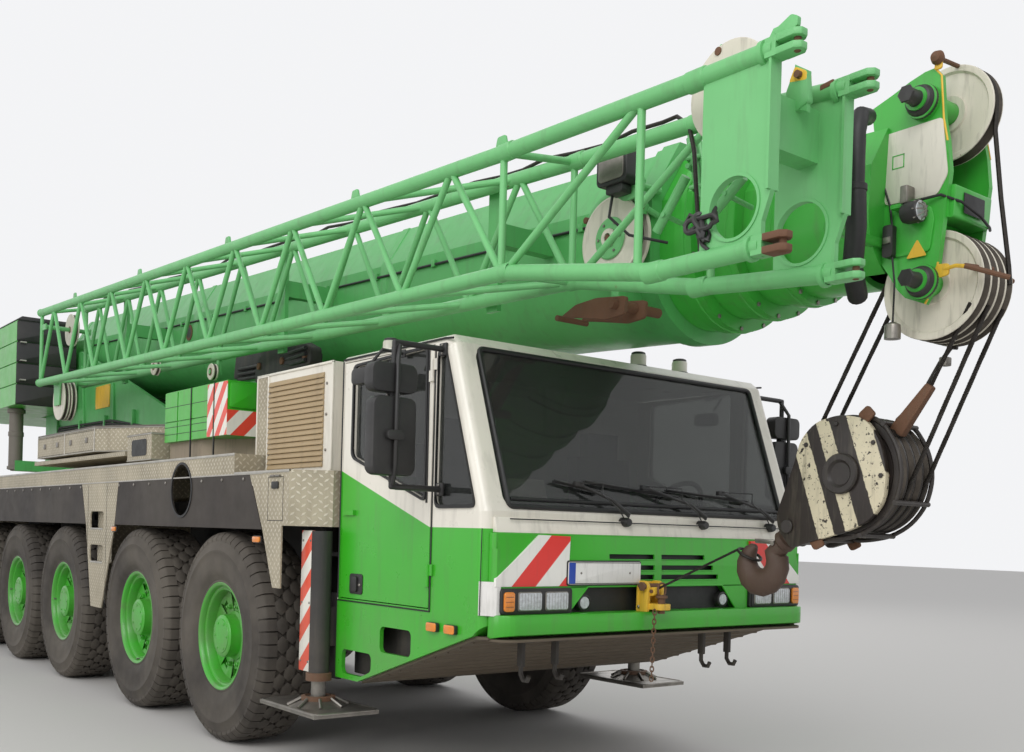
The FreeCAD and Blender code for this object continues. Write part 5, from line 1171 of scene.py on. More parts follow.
s = Shape("cream", "louvre", "gasket", "steel", "alu")
for side in (-1, 1):
    y = side * 1.290
    s.paint("louvre")
    for k in range(17):
        z = 1.858 + 0.0345 * k
        s.slab("yz", [(side * 1.291, z), (side * 1.303, z + 0.001), (side * 1.304, z + 0.005), (side * 1.293, z + 0.0325)],
               0.318, 1.078, 0.0, 1)
    # rear boxes: folded cream edge, seam and latch
    for x0, x1, z0, z1 in ((0.036, 0.250, 2.498, 2.516), (0.036, 0.050, 1.962, 2.516), (0.236, 0.250, 1.962, 2.516)):
        s.paint("cream").box(x0, x1, *sorted((side * 1.244, side * 1.256)), z0, z1, 0.003)
    s.paint("cream").box(0.036, 0.250, *sorted((side * 0.698, side * 1.256)), 2.508, 2.518, 0.003)
    for x in (0.30, 1.19):
        s.box(x - 0.010 if x > 1 else x - 0.004, x + 0.004 if x > 1 else x + 0.012, *sorted((y - side * 0.004, y + side * 0.010)),
              1.836, 2.503, 0.004)
    s.box(0.296, 1.194, *sorted((y - side * 0.004, y + side * 0.010)), 2.488, 2.504, 0.004)
    s.paint("steel")
    for x in (0.325, 1.11):
        for z in (1.96, 2.18, 2.37):
            s.disc((x, y + side * 0.003, z), "y", 0.010, 0.008, 6, 0.002)
s.paint("cream").box(0.300, 1.190, -0.010, 0.010, 2.499, 2.510, 0.003)
for y in (-0.62, 0.62):
    s.paint("gasket").slab("xy", soft(0.45, 1.05, y - 0.35, y + 0.35, 0.05), 2.4985, 2.5015, 0.001, 1)
    s.paint("louvre").slab("xy", soft(0.46, 1.04, y - 0.34, y + 0.34, 0.045), 2.5005, 2.506, 0.002, 1)
s.done("hood_trim", "carrier", "cream_paint")


# Deck ballast: stacked steel slabs, lashed down over grooves. The front third is a green box
# with a reflective red and white sheet; the low plinth is bare and rusty.
M["ballast_bands"] = hatched("ballast_bands", (0.84, 0.81, 0.72), (0.80, 0.07, 0.04), 0.085, -0.80, "x", "z", 0.02)
M["front_bands"] = hatched("front_bands", (0.84, 0.81, 0.72), (0.80, 0.07, 0.04), 0.110, 0.95, "|y|", "z", 0.04)
M["tan"] = painted("bare_plinth", (0.30, 0.245, 0.18), grime=0.5, rust=0.7, coat=0.0, rough=0.7, scale=2.0)
dress("deck_ballast", "green", "tan")
for f in nodes["deck_ballast"].data.polygons:
    f.material_index = 1 if f.center.z < 2.139 else 0

s = Shape("green", "ballast_bands", "front_bands", "gasket")
for side in (-1, 1):
    y = side * 1.250
    for x0, x1, key in ((-0.827, -0.722, "ballast_bands"), (-0.698, -0.468, "ballast_bands")):
        s.paint(key).slab("xz", soft(x0, x1, 2.142, 2.538, 0.006, 2), *sorted((y - side * 0.002, y + side * 0.004)), 0.001, 1)
    # front face: bands below, bare raised panel above
    a, b = sorted((side * 0.950, side * 1.252))
    s.paint("front_bands").slab("yz", soft(a, b, 2.142, 2.328, 0.006, 2), -0.472, -0.465, 0.001, 1)
    s.paint("green").slab("yz", soft(a + 0.02, b - 0.02, 2.345, 2.525, 0.012), -0.471, -0.456, 0.004)
    a, b = sorted((side * 0.30, side * 0.930))
    s.slab("yz", soft(a, b, 2.160, 2.520, 0.016), -0.471, -0.458, 0.004)
    # slab seams and the lashing straps in their grooves
    for z in (2.200, 2.258, 2.420):
        s.paint("gasket").box(-1.702, -0.830, *sorted((y - side * 0.006, y + side * 0.0012)), z - 0.0025, z + 0.0025, 0.0008, 1)
    for x in (-1.150, -0.700):
        s.box(x - 0.008, x + 0.008, *sorted((y - side * 0.004, y + side * 0.006)), 1.985, 2.545, 0.002)
# top plate, hollowed at the back where the upper works swing past
hollow = [(-4.890 + math.sqrt(3.358 ** 2 - (0.1 * k) ** 2), 0.1 * k) for k in range(-9, 10)]
s.paint("green").slab("xy", [(-1.692, -1.242), (-0.478, -1.242), (-0.478, 1.242), (-1.692, 1.242)] + hollow[::-1],
                      2.536, 2.546, 0.0)
s.done("ballast_fittings", "carrier", "green_paint")


# Upper works: mint-green side plates that carry the boom foot, winches between them, tread-plate
# lockers and a step beside them, and the tube posts of the rear walkway.
M["mint"] = painted("mint_paint", (0.095, 0.43, 0.115), grime=0.30, rust=0.30, coat=0.2, rough=0.42)
M["engine"] = plain("engine_metal", (0.16, 0.16, 0.155), rough=0.6, metal=0.4, vary=0.4, scale=7.0, dust=0.3)
M["post"] = painted("post_paint", (0.175, 0.155, 0.13), grime=0.5, rust=0.4, coat=0.0, rough=0.6)
dress("upper_frame", "mint", "alu", "post")
dress("winches", "engine")
for f in nodes["upper_frame"].data.polygons:
    c = f.center
    x, y, z = c.x - OX, abs(c.y), c.z
    if z < 2.365 and y > 0.745 and -5.21 < x < -1.8:
        f.material_index = 1
    elif y > 1.06 and x < -6.6:
        f.material_index = 2

s = Shape("alu", "trim", "gasket", "steel", "post", "yellow", "under", "mint")
# lids and edges of the right lockers, darker than their sides
LID = [(-5.205, -1.316), (-3.314, -1.316), (-2.444, -0.904), (-2.444, -0.756), (-5.205, -0.756)]
s.paint("post").slab("xy", LID, 2.359, 2.372, 0.004)
s.paint("trim")
for z in (2.135, 2.352):
    s.tube([(-5.203, -1.313, z), (-3.315, -1.313, z), (-2.447, -0.903, z)], 0.006, 6)
for a, b in (((-5.203, -1.313), (-5.203, -1.313)), ((-3.315, -1.313), (-3.315, -1.313)), ((-2.447, -0.903), (-2.447, -0.903)),
             ((-4.25, -1.312), (-4.25, -1.312))):
    s.tube([(a[0], a[1], 2.133), (b[0], b[1], 2.356)], 0.006, 6)
s.paint("gasket")
for x0, x1 in ((-5.18, -4.27), (-4.23, -3.34)):
    for z in (2.150, 2.335):
        s.box(x0, x1, -1.3125, -1.3105, z - 0.002, z + 0.002, 0.0005, 1)
s.paint("steel")
for x in (-4.95, -4.50, -4.05, -3.55):
    s.slab("xz", soft(x - 0.035, x + 0.035, 2.225, 2.275, 0.008), -1.318, -1.309, 0.003)
# step below the lockers
s.paint("post").box(-2.414, -1.826, -1.314, -0.756, 2.224, 2.233, 0.003)
s.paint("trim").tube([(-2.412, -1.312, 2.008), (-1.828, -1.312, 2.008), (-1.828, -0.76, 2.008)], 0.006, 6)
s.tube([(-2.412, -1.312, 2.222), (-1.828, -1.312, 2.222), (-1.828, -0.76, 2.222)], 0.006, 6)
s.paint("gasket").slab("xz", soft(-2.30, -1.94, 2.045, 2.185, 0.03), -1.3125, -1.3108, 0.0005, 1)
# rear walkway posts: flanged tops and a sleeve half way
for side in (-1, 1):
    s.paint("post").lathe([(0.079, 2.075), (0.092, 2.075), (0.092, 2.110), (0.079, 2.116)], (-6.80, side * 1.15, 0), "z", 28)
    s.lathe([(0.079, 2.470), (0.086, 2.470), (0.086, 2.520), (0.079, 2.524)], (-6.80, side * 1.15, 0), "z", 28)
    s.lathe([(0.079, 2.742), (0.100, 2.746), (0.100, 2.792), (0.079, 2.796)], (-6.80, side * 1.15, 0), "z", 28)
# hoses and cable trays along the right side plate
for k, (z, r) in enumerate(((2.62, 0.014), (2.59, 0.012), (2.565, 0.016))):
    s.paint("gasket").tube([(-7.40, -0.606, z - 0.25), (-6.9, -0.622, z), (-5.0, -0.620, z - 0.03), (-3.6, -0.618, z - 0.20),
                            (-3.28, -0.60, z - 0.30)], r, 8)
s.paint("mint")
for x in (-7.0, -6.1, -5.2, -4.3):
    s.box(x - 0.02, x + 0.02, -0.640, -0.598, 2.50, 2.66, 0.004)
for side in (-1, 1):
    s.lathe([(0.0, 0.0), (0.130, 0.0), (0.130, 0.022), (0.118, 0.030), (0.0, 0.030)],
            (-6.800, 0.598 if side > 0 else -0.628, 3.200), "y", 36, closed=False)
    for k in range(8):
        t = 2 * math.pi * k / 8
        s.disc((-6.800 + 0.100 * math.cos(t), side * 0.632, 3.200 + 0.100 * math.sin(t)), "y", 0.013, 0.014, 6, 0.003)
    # stiffening ribs on the side plates
    for pts in (((-7.1, 2.12), (-7.0, 3.35)), ((-5.9, 2.12), (-6.1, 3.30)), ((-4.9, 2.12), (-5.0, 3.0))):
        (xa, za), (xb, zb) = pts
        s.slab("xz", [(xa - 0.02, za), (xa + 0.02, za), (xb + 0.02, zb), (xb - 0.02, zb)],
               *sorted((side * 0.598, side * 0.626)), 0.004)
# bare yellow label plate
s.paint("yellow").slab("xz", soft(-5.600, -5.115, 2.753, 3.006, 0.012), -0.608, -0.600, 0.002)
s.paint("steel")
for x in (-5.585, -5.130):
    for z in (2.768, 2.991):
        s.disc((x, -0.609, z), "y", 0.007, 0.005, 8, 0.001)
s.done("upper_fittings", "upper", "light_green_paint")

# Winch drums: wound with dark wire rope between bolted flanges.
M["rope"] = plain("wire_rope", (0.030, 0.024, 0.019), rough=0.5, metal=0.4, vary=0.5, scale=80.0, bump=0.6)
s = Shape("rope", "engine", "steel")
for x, z in ((-7.180, 2.480), (-6.480, 2.480)):
    n = 38
    prof = [(0.191, -0.42)]
    for k in range(n):
        y = -0.418 + 0.836 * k / n
        w = 0.836 / n
        prof += [(0.200, y + w * 0.05), (0.2105, y + w * 0.5), (0.200, y + w * 0.95)]
    prof.append((0.191, 0.42))
    s.paint("rope").lathe(prof, (x, 0, z), "y", 36)
    for y in (-0.458, 0.458):
        s.paint("engine").lathe([(0.195, -0.016), (0.263, -0.016), (0.266, -0.010), (0.266, 0.010), (0.263, 0.016),
                                 (0.195, 0.016)], (x, y * 0.965, z), "y", 44)
        s.paint("steel")
        for k in range(12):
            t = 2 * math.pi * k / 12
            s.disc((x + 0.235 * math.cos(t), y, z + 0.235 * math.sin(t)), "y", 0.010, 0.010, 6, 0.002)
s.done("winch_rope", "upper", "rope_sheave")


# Counterweight: stacked cast blocks, green at the sides, dark in front with light lifting lugs,
# under a tapered dark lid.
dress("counterweight", "green", "black")
for f in nodes["counterweight"].data.polygons:
    f.material_index = 1 if abs(f.normal.x) > 0.7 and f.center.x > -6.4 + OX else 0
s = Shape("black", "gasket", "trim", "green")
for side in (-1, 1):
    a, b = sorted((side * 0.645, side * 1.297))
    for i in range(4):
        z0 = 2.800 + 0.2425 * i
        s.paint("black").slab("yz", soft(a, b, z0 + 0.006, z0 + 0.224, 0.014), -6.252, -6.242, 0.005)
    s.slab("yz", [(a, 3.770), (b, 3.770), (b - 0.05 if side > 0 else b, 3.815), (a if side > 0 else a + 0.05, 3.815)],
           -7.70, -6.250, 0.006)
    s.paint("trim")
    for z in (3.513, 3.303, 3.082):
        s.tube([(-6.245, side * 1.262, z), (-6.215, side * 1.262, z), (-6.215, side * 1.205, z),
                (-6.245, side * 1.205, z)], 0.009, 8)
    s.paint("black")
    for x in (-8.8, -7.9, -7.0):
        s.lathe([(0.0, 0.0), (0.055, 0.0), (0.055, 0.03), (0.025, 0.04), (0.0, 0.04)], (x, side * 0.95, 3.770), "z", 24,
                closed=False)
s.paint("black").box(-9.19, -7.72, -1.28, 1.28, 3.768, 3.800, 0.010)
s.done("counterweight_fittings", "upper", "green_paint")


# Operator's cab on the left: green sheet shell with big panes in rubber, a grab rail, a wiper
# and a roof pane guard.
dress("operator_cab operator_door", "green")
s = Shape("gasket", "black", "steel")
zf = 2.100
window_seal(s, [(-3.380, zf + 0.640), (-2.820, zf + 0.640), (-3.120, 3.590), (-3.380, 3.590)], 1.470, 0.014)
front = [(y, t) for y, t in rounded([(0.752, 0.0), (1.408, 0.0), (1.408, 1.0), (0.752, 1.0)], 0.08, 4)]
s.tube([(-2.760 + (-0.340) * t, y, 2.745 + 0.872 * t) for y, t in front], 0.013, 8, closed=True)
s.paint("black").tube([(-2.735, 1.05, 2.700), (-2.850, 1.08, 3.02), (-2.905, 1.10, 3.16)], 0.009, 8)
s.tube([(-2.815, 1.085, 2.92), (-2.985, 1.105, 3.36)], 0.008, 6)
s.paint("steel").tube([(-2.90, 1.485, 2.50), (-2.90, 1.530, 2.50), (-3.32, 1.530, 2.50), (-3.32, 1.485, 2.50)], 0.013, 10)
s.paint("gasket").box(-4.44, -3.12, 0.70, 1.46, 3.676, 3.684, 0.003)
s.done("operator_cab_seals", "upper", "black_rubber")
s = Shape("gasket", "black")
window_seal(s, [(-4.248, 2.680), (-3.532, 2.680), (-3.532, 3.542), (-4.248, 3.542)], 1.470, 0.014)
s.paint("black").slab("xz", soft(-3.530, -3.480, 2.52, 2.64, 0.014), 1.469, 1.492, 0.005)
s.done("operator_door_seal", "operator_door", "black_rubber")


# Boom: welded box of thick plate with a round belly, painted mint, its sections nested with
# guide collars. The base carries round inspection marks, cable clips and a walkway rail behind.
SLOPE = math.radians(2.4)
AXIS = Vector((1.945, 0, 3.073))


def boom_at(x, y, z):
    # From boom axes (x along the boom) to the machine.
    return (AXIS.x + x * math.cos(SLOPE) + z * math.sin(SLOPE), y, AXIS.z - x * math.sin(SLOPE) + z * math.cos(SLOPE))


def boom_ring(inset_by, n=14):
    r = 0.450 - inset_by
    top, top_y, flank = 0.520 - inset_by, 0.280 - inset_by * 0.5, 0.230
    low = [(-r * math.cos(math.pi * k / n), -r * math.sin(math.pi * k / n)) for k in range(n + 1)]
    return low + [(r, flank), (top_y, top), (-top_y, top), (-r, flank)]


M["vivid"] = painted("section_paint", (0.050, 0.43, 0.045), grime=0.30, rust=0.30, coat=0.25, rough=0.40)
dress("boom_base luff_barrel", "mint")
dress("boom_section_* boom_head", "vivid")
dress("luff_rod", "chrome")


def collar(s, x, inset_by, thick=0.016, wide=0.055):
    # Raised band round a tube of the boom.
    inner = boom_ring(inset_by)
    outer = boom_ring(inset_by - thick)
    before = set(s.bm.faces)
    loops = [[s.bm.verts.new(boom_at(xx, y, z)) for y, z in path]
             for path, xx in ((inner, x - wide / 2), (outer, x - wide / 2 + 0.004), (outer, x + wide / 2 - 0.004),
                              (inner, x + wide / 2))]
    made = []
    for a, b in zip(loops, loops[1:] + loops[:1]):
        for i in range(len(a)):
            j = (i + 1) % len(a)
            made.append(s.bm.faces.new((a[i], a[j], b[j], b[i])))
    bmesh.ops.recalc_face_normals(s.bm, faces=made)
    s.take(before)


def along(x):
    return (x - AXIS.x) / math.cos(SLOPE)


s = Shape("mint", "black", "rust", "gasket", "under", "steel")
for x in (2.90,):
    collar(s, along(x), 0.0, 0.018, 0.05)
for x in (-6.9, -3.1, 0.35):
    collar(s, along(x), 0.0, 0.006, 0.09)
# long weld seam and cable with clips on both flanks
for side in (-1, 1):
    s.paint("gasket").tube([boom_at(along(-6.6), side * 0.458, 0.160), boom_at(along(-3.0), side * 0.460, 0.155),
                            boom_at(along(2.55), side * 0.460, 0.150)], 0.009, 8)
    s.paint("mint")
    for k in range(13):
        p = boom_at(along(-6.4 + 0.74 * k), side * 0.458, 0.157)
        s.box(p[0] - 0.020, p[0] + 0.020, *sorted((side * 0.448, side * 0.472)), p[2] - 0.024, p[2] + 0.024, 0.004)
    # round marks: dark discs with a worn red rim
    for x in (-3.98, -3.26):
        c = boom_at(along(x), side * 0.450, 0.06)
        s.paint("rust").lathe([(0.052, 0.0), (0.078, 0.0), (0.078, 0.007), (0.052, 0.007)],
                              (c[0], c[1] if side > 0 else c[1] - 0.007, c[2]), "y", 32)
        s.paint("black").disc((c[0], c[1] + side * 0.003, c[2]), "y", 0.054, 0.008, 28)
# dark bracket with hoses between the boom and the lattice extension
s.paint("under").slab("xz", rounded([(-1.03, 2.62), (-0.10, 2.68), (-0.09, 2.80), (-0.30, 2.88), (-0.92, 2.86), (-1.03, 2.74)],
                                    0.03), -0.780, -0.690, 0.008)
s.slab("xz", rounded([(-1.95, 2.76), (-0.92, 2.75), (-0.90, 2.98), (-1.30, 3.04), (-1.90, 3.00)], 0.04), -0.560, -0.440, 0.008)
s.box(-0.80, -0.62, -0.72, -0.40, 2.66, 2.86, 0.008)
for k in range(3):
    z = 2.74 + 0.045 * k
    s.paint("gasket").tube([(-1.80, -0.575, z), (-1.10, -0.600, z - 0.02), (-0.85, -0.74, z - 0.04), (-0.15, -0.795, z - 0.03)],
                           0.016, 8)
s.paint("rust")
for x in (-0.95, -0.55, -0.18):
    s.disc((x, -0.785, 2.745), "y", 0.030, 0.022, 6)
# work bracket below the boom near its front, rusty all over
for y in (-0.70, -0.56):
    s.paint("rust").slab("xz", rounded([(2.62, 2.650), (2.78, 2.625), (2.98, 2.590), (3.11, 2.600), (3.12, 2.690), (2.90, 2.712), (2.74, 2.700)],
                                       0.02), y - 0.012, y + 0.012, 0.005)
s.tube([(2.60, -0.72, 2.648), (2.60, -0.50, 2.648)], 0.016, 10)
s.tube([(3.05, -0.75, 2.655), (3.05, -0.40, 2.655)], 0.026, 12)
s.paint("mint").box(2.86, 2.92, -0.570, -0.330, 2.680, 2.800, 0.006)
s.done("boom_base_fittings", "boom", "light_green_paint")

# Rail and ladder on the far side of the boom, dark tube clamped to the flank.
s = Shape("under")
for z in (3.62, 3.82):
    s.tube([(-7.0, 0.62, z + 0.02), (-5.0, 0.62, z - 0.06)], 0.017, 8)
for x in (-7.0, -6.0, -5.0):
    s.tube([(x, 0.44, 3.45), (x, 0.62, 3.50), (x, 0.62, 3.84 + (-x - 6) * 0.03)], 0.017, 8)
s.done("boom_rail", "boom", "grey_underbody")

for number in (1, 2, 3):
    s = Shape("vivid", "steel", "gasket")
    x = along(3.050) + 0.240 * number
    inset_by = 0.045 * number
    collar(s, x - 0.060, inset_by - 0.022, 0.008, 0.030)
    collar(s, x - 0.006, inset_by + 0.004, 0.028, 0.012)
    ring = boom_ring(inset_by - 0.022)
    # bolts of the wear pads
    s.paint("steel")
    for k, (y, z) in enumerate(ring):
        if k % 2 == 1:
            p = Vector(boom_at(x + 0.001, y * 0.97, z * 0.97))
            s.disc(p, "x", 0.012, 0.014, 6, 0.002)
    s.done("collar_%d" % number, "section_%d" % number, "light_green_paint")


# Boom head: two mint cheek plates with worn yellow edges round the sheaves. Greasy shaft caps,
# rope guard rods, a bare white panel, a caged work lamp and the hoist limit switch hang on it.
HEAD_LOW, HEAD_TOP = Vector((4.449, 0, 2.624)), Vector((4.424, 0, 3.419))
HEAD_EDGE = [(4.157, 3.465), (4.264, 3.502), (4.347, 3.535), (4.420, 3.556), (4.467, 3.559), (4.501, 3.518),
             (4.517, 3.327), (4.538, 3.226), (4.552, 3.094), (4.537, 2.968), (4.519, 2.799), (4.508, 2.706),
             (4.497, 2.608), (4.452, 2.532), (4.354, 2.573), (4.313, 2.615), (4.286, 2.660), (4.222, 2.757),
             (4.213, 3.040), (4.184, 3.275)]
M["panel"] = painted("panel_sheet", (0.74, 0.70, 0.60), grime=0.35, rust=0.5, coat=0.0, rough=0.55, scale=2.5)
s = Shape("vivid", "yellow", "panel", "black", "rust", "steel", "gasket", "lens")
for side in (-1, 1):
    y = side * 0.180
    s.paint("yellow").tube([(x - 0.001, y, z) for x, z in HEAD_EDGE[4:8]], 0.0045, 6)
    s.tube([(x, y, z) for x, z in HEAD_EDGE[11:14]], 0.0050, 6)
    for c in (HEAD_LOW, HEAD_TOP):
        base = (c.x, y + (side * 0.0), c.z)
        steps = [(0.0, 0.0), (0.074, 0.0), (0.076, 0.030), (0.066, 0.044), (0.060, 0.062), (0.040, 0.070), (0.034, 0.078),
                 (0.033, 0.150), (0.027, 0.156), (0.0, 0.158)]
        s.paint("black").lathe([(r, side * h) for r, h in steps], base, "y", 36, closed=False)
        s.disc((c.x, y + side * 0.150, c.z), "y", 0.040, 0.012, 6, 0.003)
    # web doubler between the shafts
    s.paint("vivid").slab("xz", rounded([(4.300, 2.760), (4.470, 2.760), (4.490, 2.900), (4.470, 2.960), (4.300, 2.960)], 0.02),
                         *sorted((y, y + side * 0.010)), 0.003)
# bare white panel with rounded corners and a small square
PANEL = [(4.206, 3.326), (4.514, 3.332), (4.545, 3.080), (4.497, 2.999), (4.242, 3.006)]
s.paint("panel").slab("xz", rounded(PANEL, 0.02), -0.187, -0.179, 0.002)
s.paint("vivid")
for a, b, c, d in ((4.275, 4.335, 3.158, 3.163), (4.275, 4.335, 3.215, 3.220), (4.275, 4.280, 3.158, 3.220),
                   (4.330, 4.335, 3.158, 3.220)):
    s.box(a, b, -0.1885, -0.1865, c, d, 0.0004, 1)
# rope guard rods across the cheeks
s.paint("rust").tube([(4.489, -0.190, 3.592), (4.478, -0.10, 3.606), (4.448, 0.130, 3.642), (4.445, 0.190, 3.642)], 0.010, 10)
s.lathe([(0.0, -0.030), (0.022, -0.022), (0.031, 0.0), (0.022, 0.022), (0.0, 0.030)], (4.489, -0.198, 3.592), "y", 20,
        closed=False)
s.tube([(4.645, -0.200, 2.662), (4.668, 0.0, 2.676), (4.645, 0.200, 2.662)], 0.012, 10)
s.paint("yellow")
for side in (-1, 1):
    s.slab("xz", rounded([(4.470, 3.545), (4.505, 3.545), (4.506, 3.612), (4.474, 3.614)], 0.012),
           *sorted((side * 0.180, side * 0.192)), 0.003)
    s.tube([(4.545, side * 0.188, 2.668), (4.600, side * 0.195, 2.672), (4.650, side * 0.198, 2.660)], 0.009, 8)
    s.slab("xz", rounded([(4.500, 2.632), (4.565, 2.640), (4.565, 2.690), (4.505, 2.694)], 0.014),
           *sorted((side * 0.180, side * 0.193)), 0.003)
s.paint("rust").tube([(4.645, -0.200, 2.662), (4.700, -0.190, 2.640), (4.800, -0.120, 2.600)], 0.011, 8)
# bare warning plate
s.paint("yellow").slab("xz", rounded([(4.360, 2.742), (4.460, 2.742), (4.412, 2.822)], 0.010), -0.1925, -0.1895, 0.001, 1)
# caged work lamp on a bracket
s.paint("vivid").box(4.300, 4.420, -0.235, -0.180, 2.965, 2.985, 0.004)
s.paint("black").lathe([(0.0, 0.0), (0.040, 0.0), (0.048, 0.020), (0.050, 0.075), (0.046, 0.082), (0.0, 0.082)],
                       (4.372, -0.236, 2.930), "x", 28, closed=False)
s.paint("lens").disc((4.455, -0.236, 2.930), "x", 0.043, 0.006, 24)
s.paint("steel")
for k in range(4):
    t = math.pi * k / 4
    dy, dz = math.cos(t) * 0.052, math.sin(t) * 0.052
    s.tube([(4.440, -0.236 - dy, 2.930 - dz), (4.472, -0.236 - dy * 0.5, 2.930 - dz * 0.5), (4.477, -0.236, 2.930),
            (4.472, -0.236 + dy * 0.5, 2.930 + dz * 0.5), (4.440, -0.236 + dy, 2.930 + dz)], 0.0035, 6)
s.box(4.362, 4.400, -0.262, -0.196, 2.972, 3.052, 0.008)
# power cable that droops across to the other cheek
s.paint("gasket").tube([(4.440, -0.215, 2.985), (4.520, -0.195, 2.992), (4.575, -0.120, 2.965), (4.598, 0.0, 2.920),
                        (4.575, 0.120, 2.900), (4.545, 0.182, 2.905)], 0.0065, 8)
# limit switch and the weight on its cable
s.paint("black").slab("xz", soft(4.256, 4.308, 2.760, 2.905, 0.014), -0.222, -0.178, 0.005)
s.paint("steel").box(4.262, 4.302, -0.228, -0.196, 2.820, 2.850, 0.004)
s.paint("gasket").tube([(4.300, -0.205, 2.760), (4.315, -0.205, 2.640), (4.312, -0.205, 2.470)], 0.0045, 6)
s.paint("steel").lathe([(0.0, 2.470), (0.012, 2.468), (0.034, 2.455), (0.036, 2.440), (0.036, 2.392), (0.0, 2.389)],
                       (4.312, -0.205, 0), "z", 24, closed=False)
s.paint("gasket").tube([(4.285, -0.190, 2.905), (4.270, -0.188, 3.000), (4.215, -0.186, 3.150), (4.190, -0.184, 3.300)], 0.0055, 6)
# bent grey pipe beside the root of the lattice, with dark hose ends, on two short brackets
s.paint("panel").tube([(4.300, -0.420, 3.330), (4.360, -0.560, 3.285), (4.372, -0.600, 3.200), (4.372, -0.600, 2.960)], 0.036, 16)
s.paint("gasket").tube([(4.372, -0.600, 2.970), (4.380, -0.600, 2.800), (4.340, -0.560, 2.640), (4.260, -0.400, 2.560)], 0.044, 14)
s.disc((4.372, -0.600, 2.965), "z", 0.048, 0.030, 20)
s.paint("vivid").box(4.225, 4.385, -0.600, -0.560, 2.815, 2.850, 0.004)
s.box(4.215, 4.250, -0.600, -0.175, 2.812, 2.853, 0.004)
s.box(4.215, 4.385, -0.580, -0.550, 3.150, 3.180, 0.004)
s.box(4.212, 4.240, -0.580, -0.350, 3.146, 3.184, 0.004)
# cross box between the cheeks, with a thin dark sheet on its face that paints the shade of its hollow inside
s.paint("vivid").slab("xz", rounded([(4.462, 2.898), (4.556, 2.900), (4.566, 3.040), (4.470, 3.045)], 0.012), -0.150, 0.150, 0.004)
s.paint("gasket").slab("xz", rounded([(4.566, 2.925), (4.5685, 2.925), (4.5690, 3.015), (4.5665, 3.015)], 0.001, 1), -0.085, 0.085, 0.0, 1)
s.paint("vivid").box(4.200, 4.300, -0.150, 0.150, 3.470, 3.492, 0.004)
for x in (4.225, 4.360):
    s.tube([(x, -0.150, 3.485 if x < 4.3 else 3.530), (x, 0.150, 3.485 if x < 4.3 else 3.530)], 0.020, 12)
s.done("head_fittings", "section_3", "light_green_paint")


# Sheaves in the head: cast, painted cream, with machined grooves, turning on the greasy shafts.
M["sheave"] = painted("sheave_paint", (0.72, 0.67, 0.555), grime=0.5, rust=0.38, coat=0.1, rough=0.45, scale=2.0)
M["groove"] = plain("worn_groove", (0.085, 0.070, 0.055), rough=0.45, metal=0.5, vary=0.5, scale=20.0, dust=0.2)


def make_sheave(s, centre, y, r, width, face="sheave", bore=0.051):
    w = width / 2
    floor = r + 0.004 - width * 0.32
    lip = width * 0.10
    s.paint(face).lathe([(bore, -w * 0.95), (0.080, -w * 0.98), (0.084, -w * 0.70), (r * 0.52, -w * 0.55),
                         (r * 0.60, -w * 0.52), (r * 0.84, -w * 0.62), (r * 0.88, -w * 0.96), (r - 0.003, -w),
                         (r, -w + 0.002), (r, -w + lip), (r, w - lip), (r, w - 0.002), (r - 0.003, w),
                         (r * 0.88, w * 0.96), (r * 0.84, w * 0.62), (r * 0.60, w * 0.52), (r * 0.52, w * 0.55),
                         (0.084, w * 0.70), (0.080, w * 0.98), (bore, w * 0.95)][:9]
                        + [(r, -w + lip), (floor + 0.006, -w * 0.34), (floor, 0.0), (floor + 0.006, w * 0.34), (r, w - lip)]
                        + [(r, w - 0.002), (r - 0.003, w), (r * 0.88, w * 0.96), (r * 0.84, w * 0.62), (r * 0.60, w * 0.52),
                           (r * 0.52, w * 0.55), (0.084, w * 0.70), (0.080, w * 0.98), (bore, w * 0.95)],
                        (centre.x, y, centre.z), "y", 56)
    # darker worn groove just over the casting
    s.paint("groove").lathe([(r + 0.0008, -w + lip + 0.001), (floor + 0.007, -w * 0.34), (floor + 0.0008, 0.0),
                             (floor + 0.007, w * 0.34), (r + 0.0008, w - lip - 0.001), (floor + 0.003, w * 0.40),
                             (floor - 0.002, 0.0), (floor + 0.003, -w * 0.40)], (centre.x, y, centre.z), "y", 56)


s = Shape("sheave", "groove")
for y in (-0.093, -0.031, 0.031, 0.093):
    make_sheave(s, HEAD_LOW, y, 0.240, 0.058)
make_sheave(s, HEAD_TOP, 0.050, 0.215, 0.080)
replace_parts(s.done("cast_sheaves", "section_3", "rope_sheave"), "head_sheaves")

# Hoist rope from the winch over the boom to the top sheave and down the front to the lower ones.
s = Shape("rope", "under")
rx = 0.215 - 0.0216 + 0.011
ry = 0.050
path = [(0.6, ry, 3.80), (3.2, ry, 3.66)]
path += [(HEAD_TOP.x + rx * math.cos(math.radians(a)), ry, HEAD_TOP.z + rx * math.sin(math.radians(a))) for a in range(96, -1, -8)]
path += [(HEAD_TOP.x + rx * 0.99, ry, 3.30), (4.655, 0.062, 3.00), (4.685, 0.090, 2.70), (4.690, 0.093, 2.624)]
s.paint("rope").tube(path[2:], 0.011, 8)
s.done("rope_over_head", "section_3", "rope_sheave")
s = Shape("rope", "under")
s.tube([(-6.55, 0.05, 2.70), (-6.40, 0.05, 3.72)], 0.011, 8)
s.done("rope_from_winch", "upper", "rope_sheave")
s = Shape("rope", "under")
s.paint("rope").tube([(-6.38, 0.05, 4.000), (2.90, 0.05, 3.610), (3.05, 0.05, 3.606)], 0.011, 8)
s.paint("under")
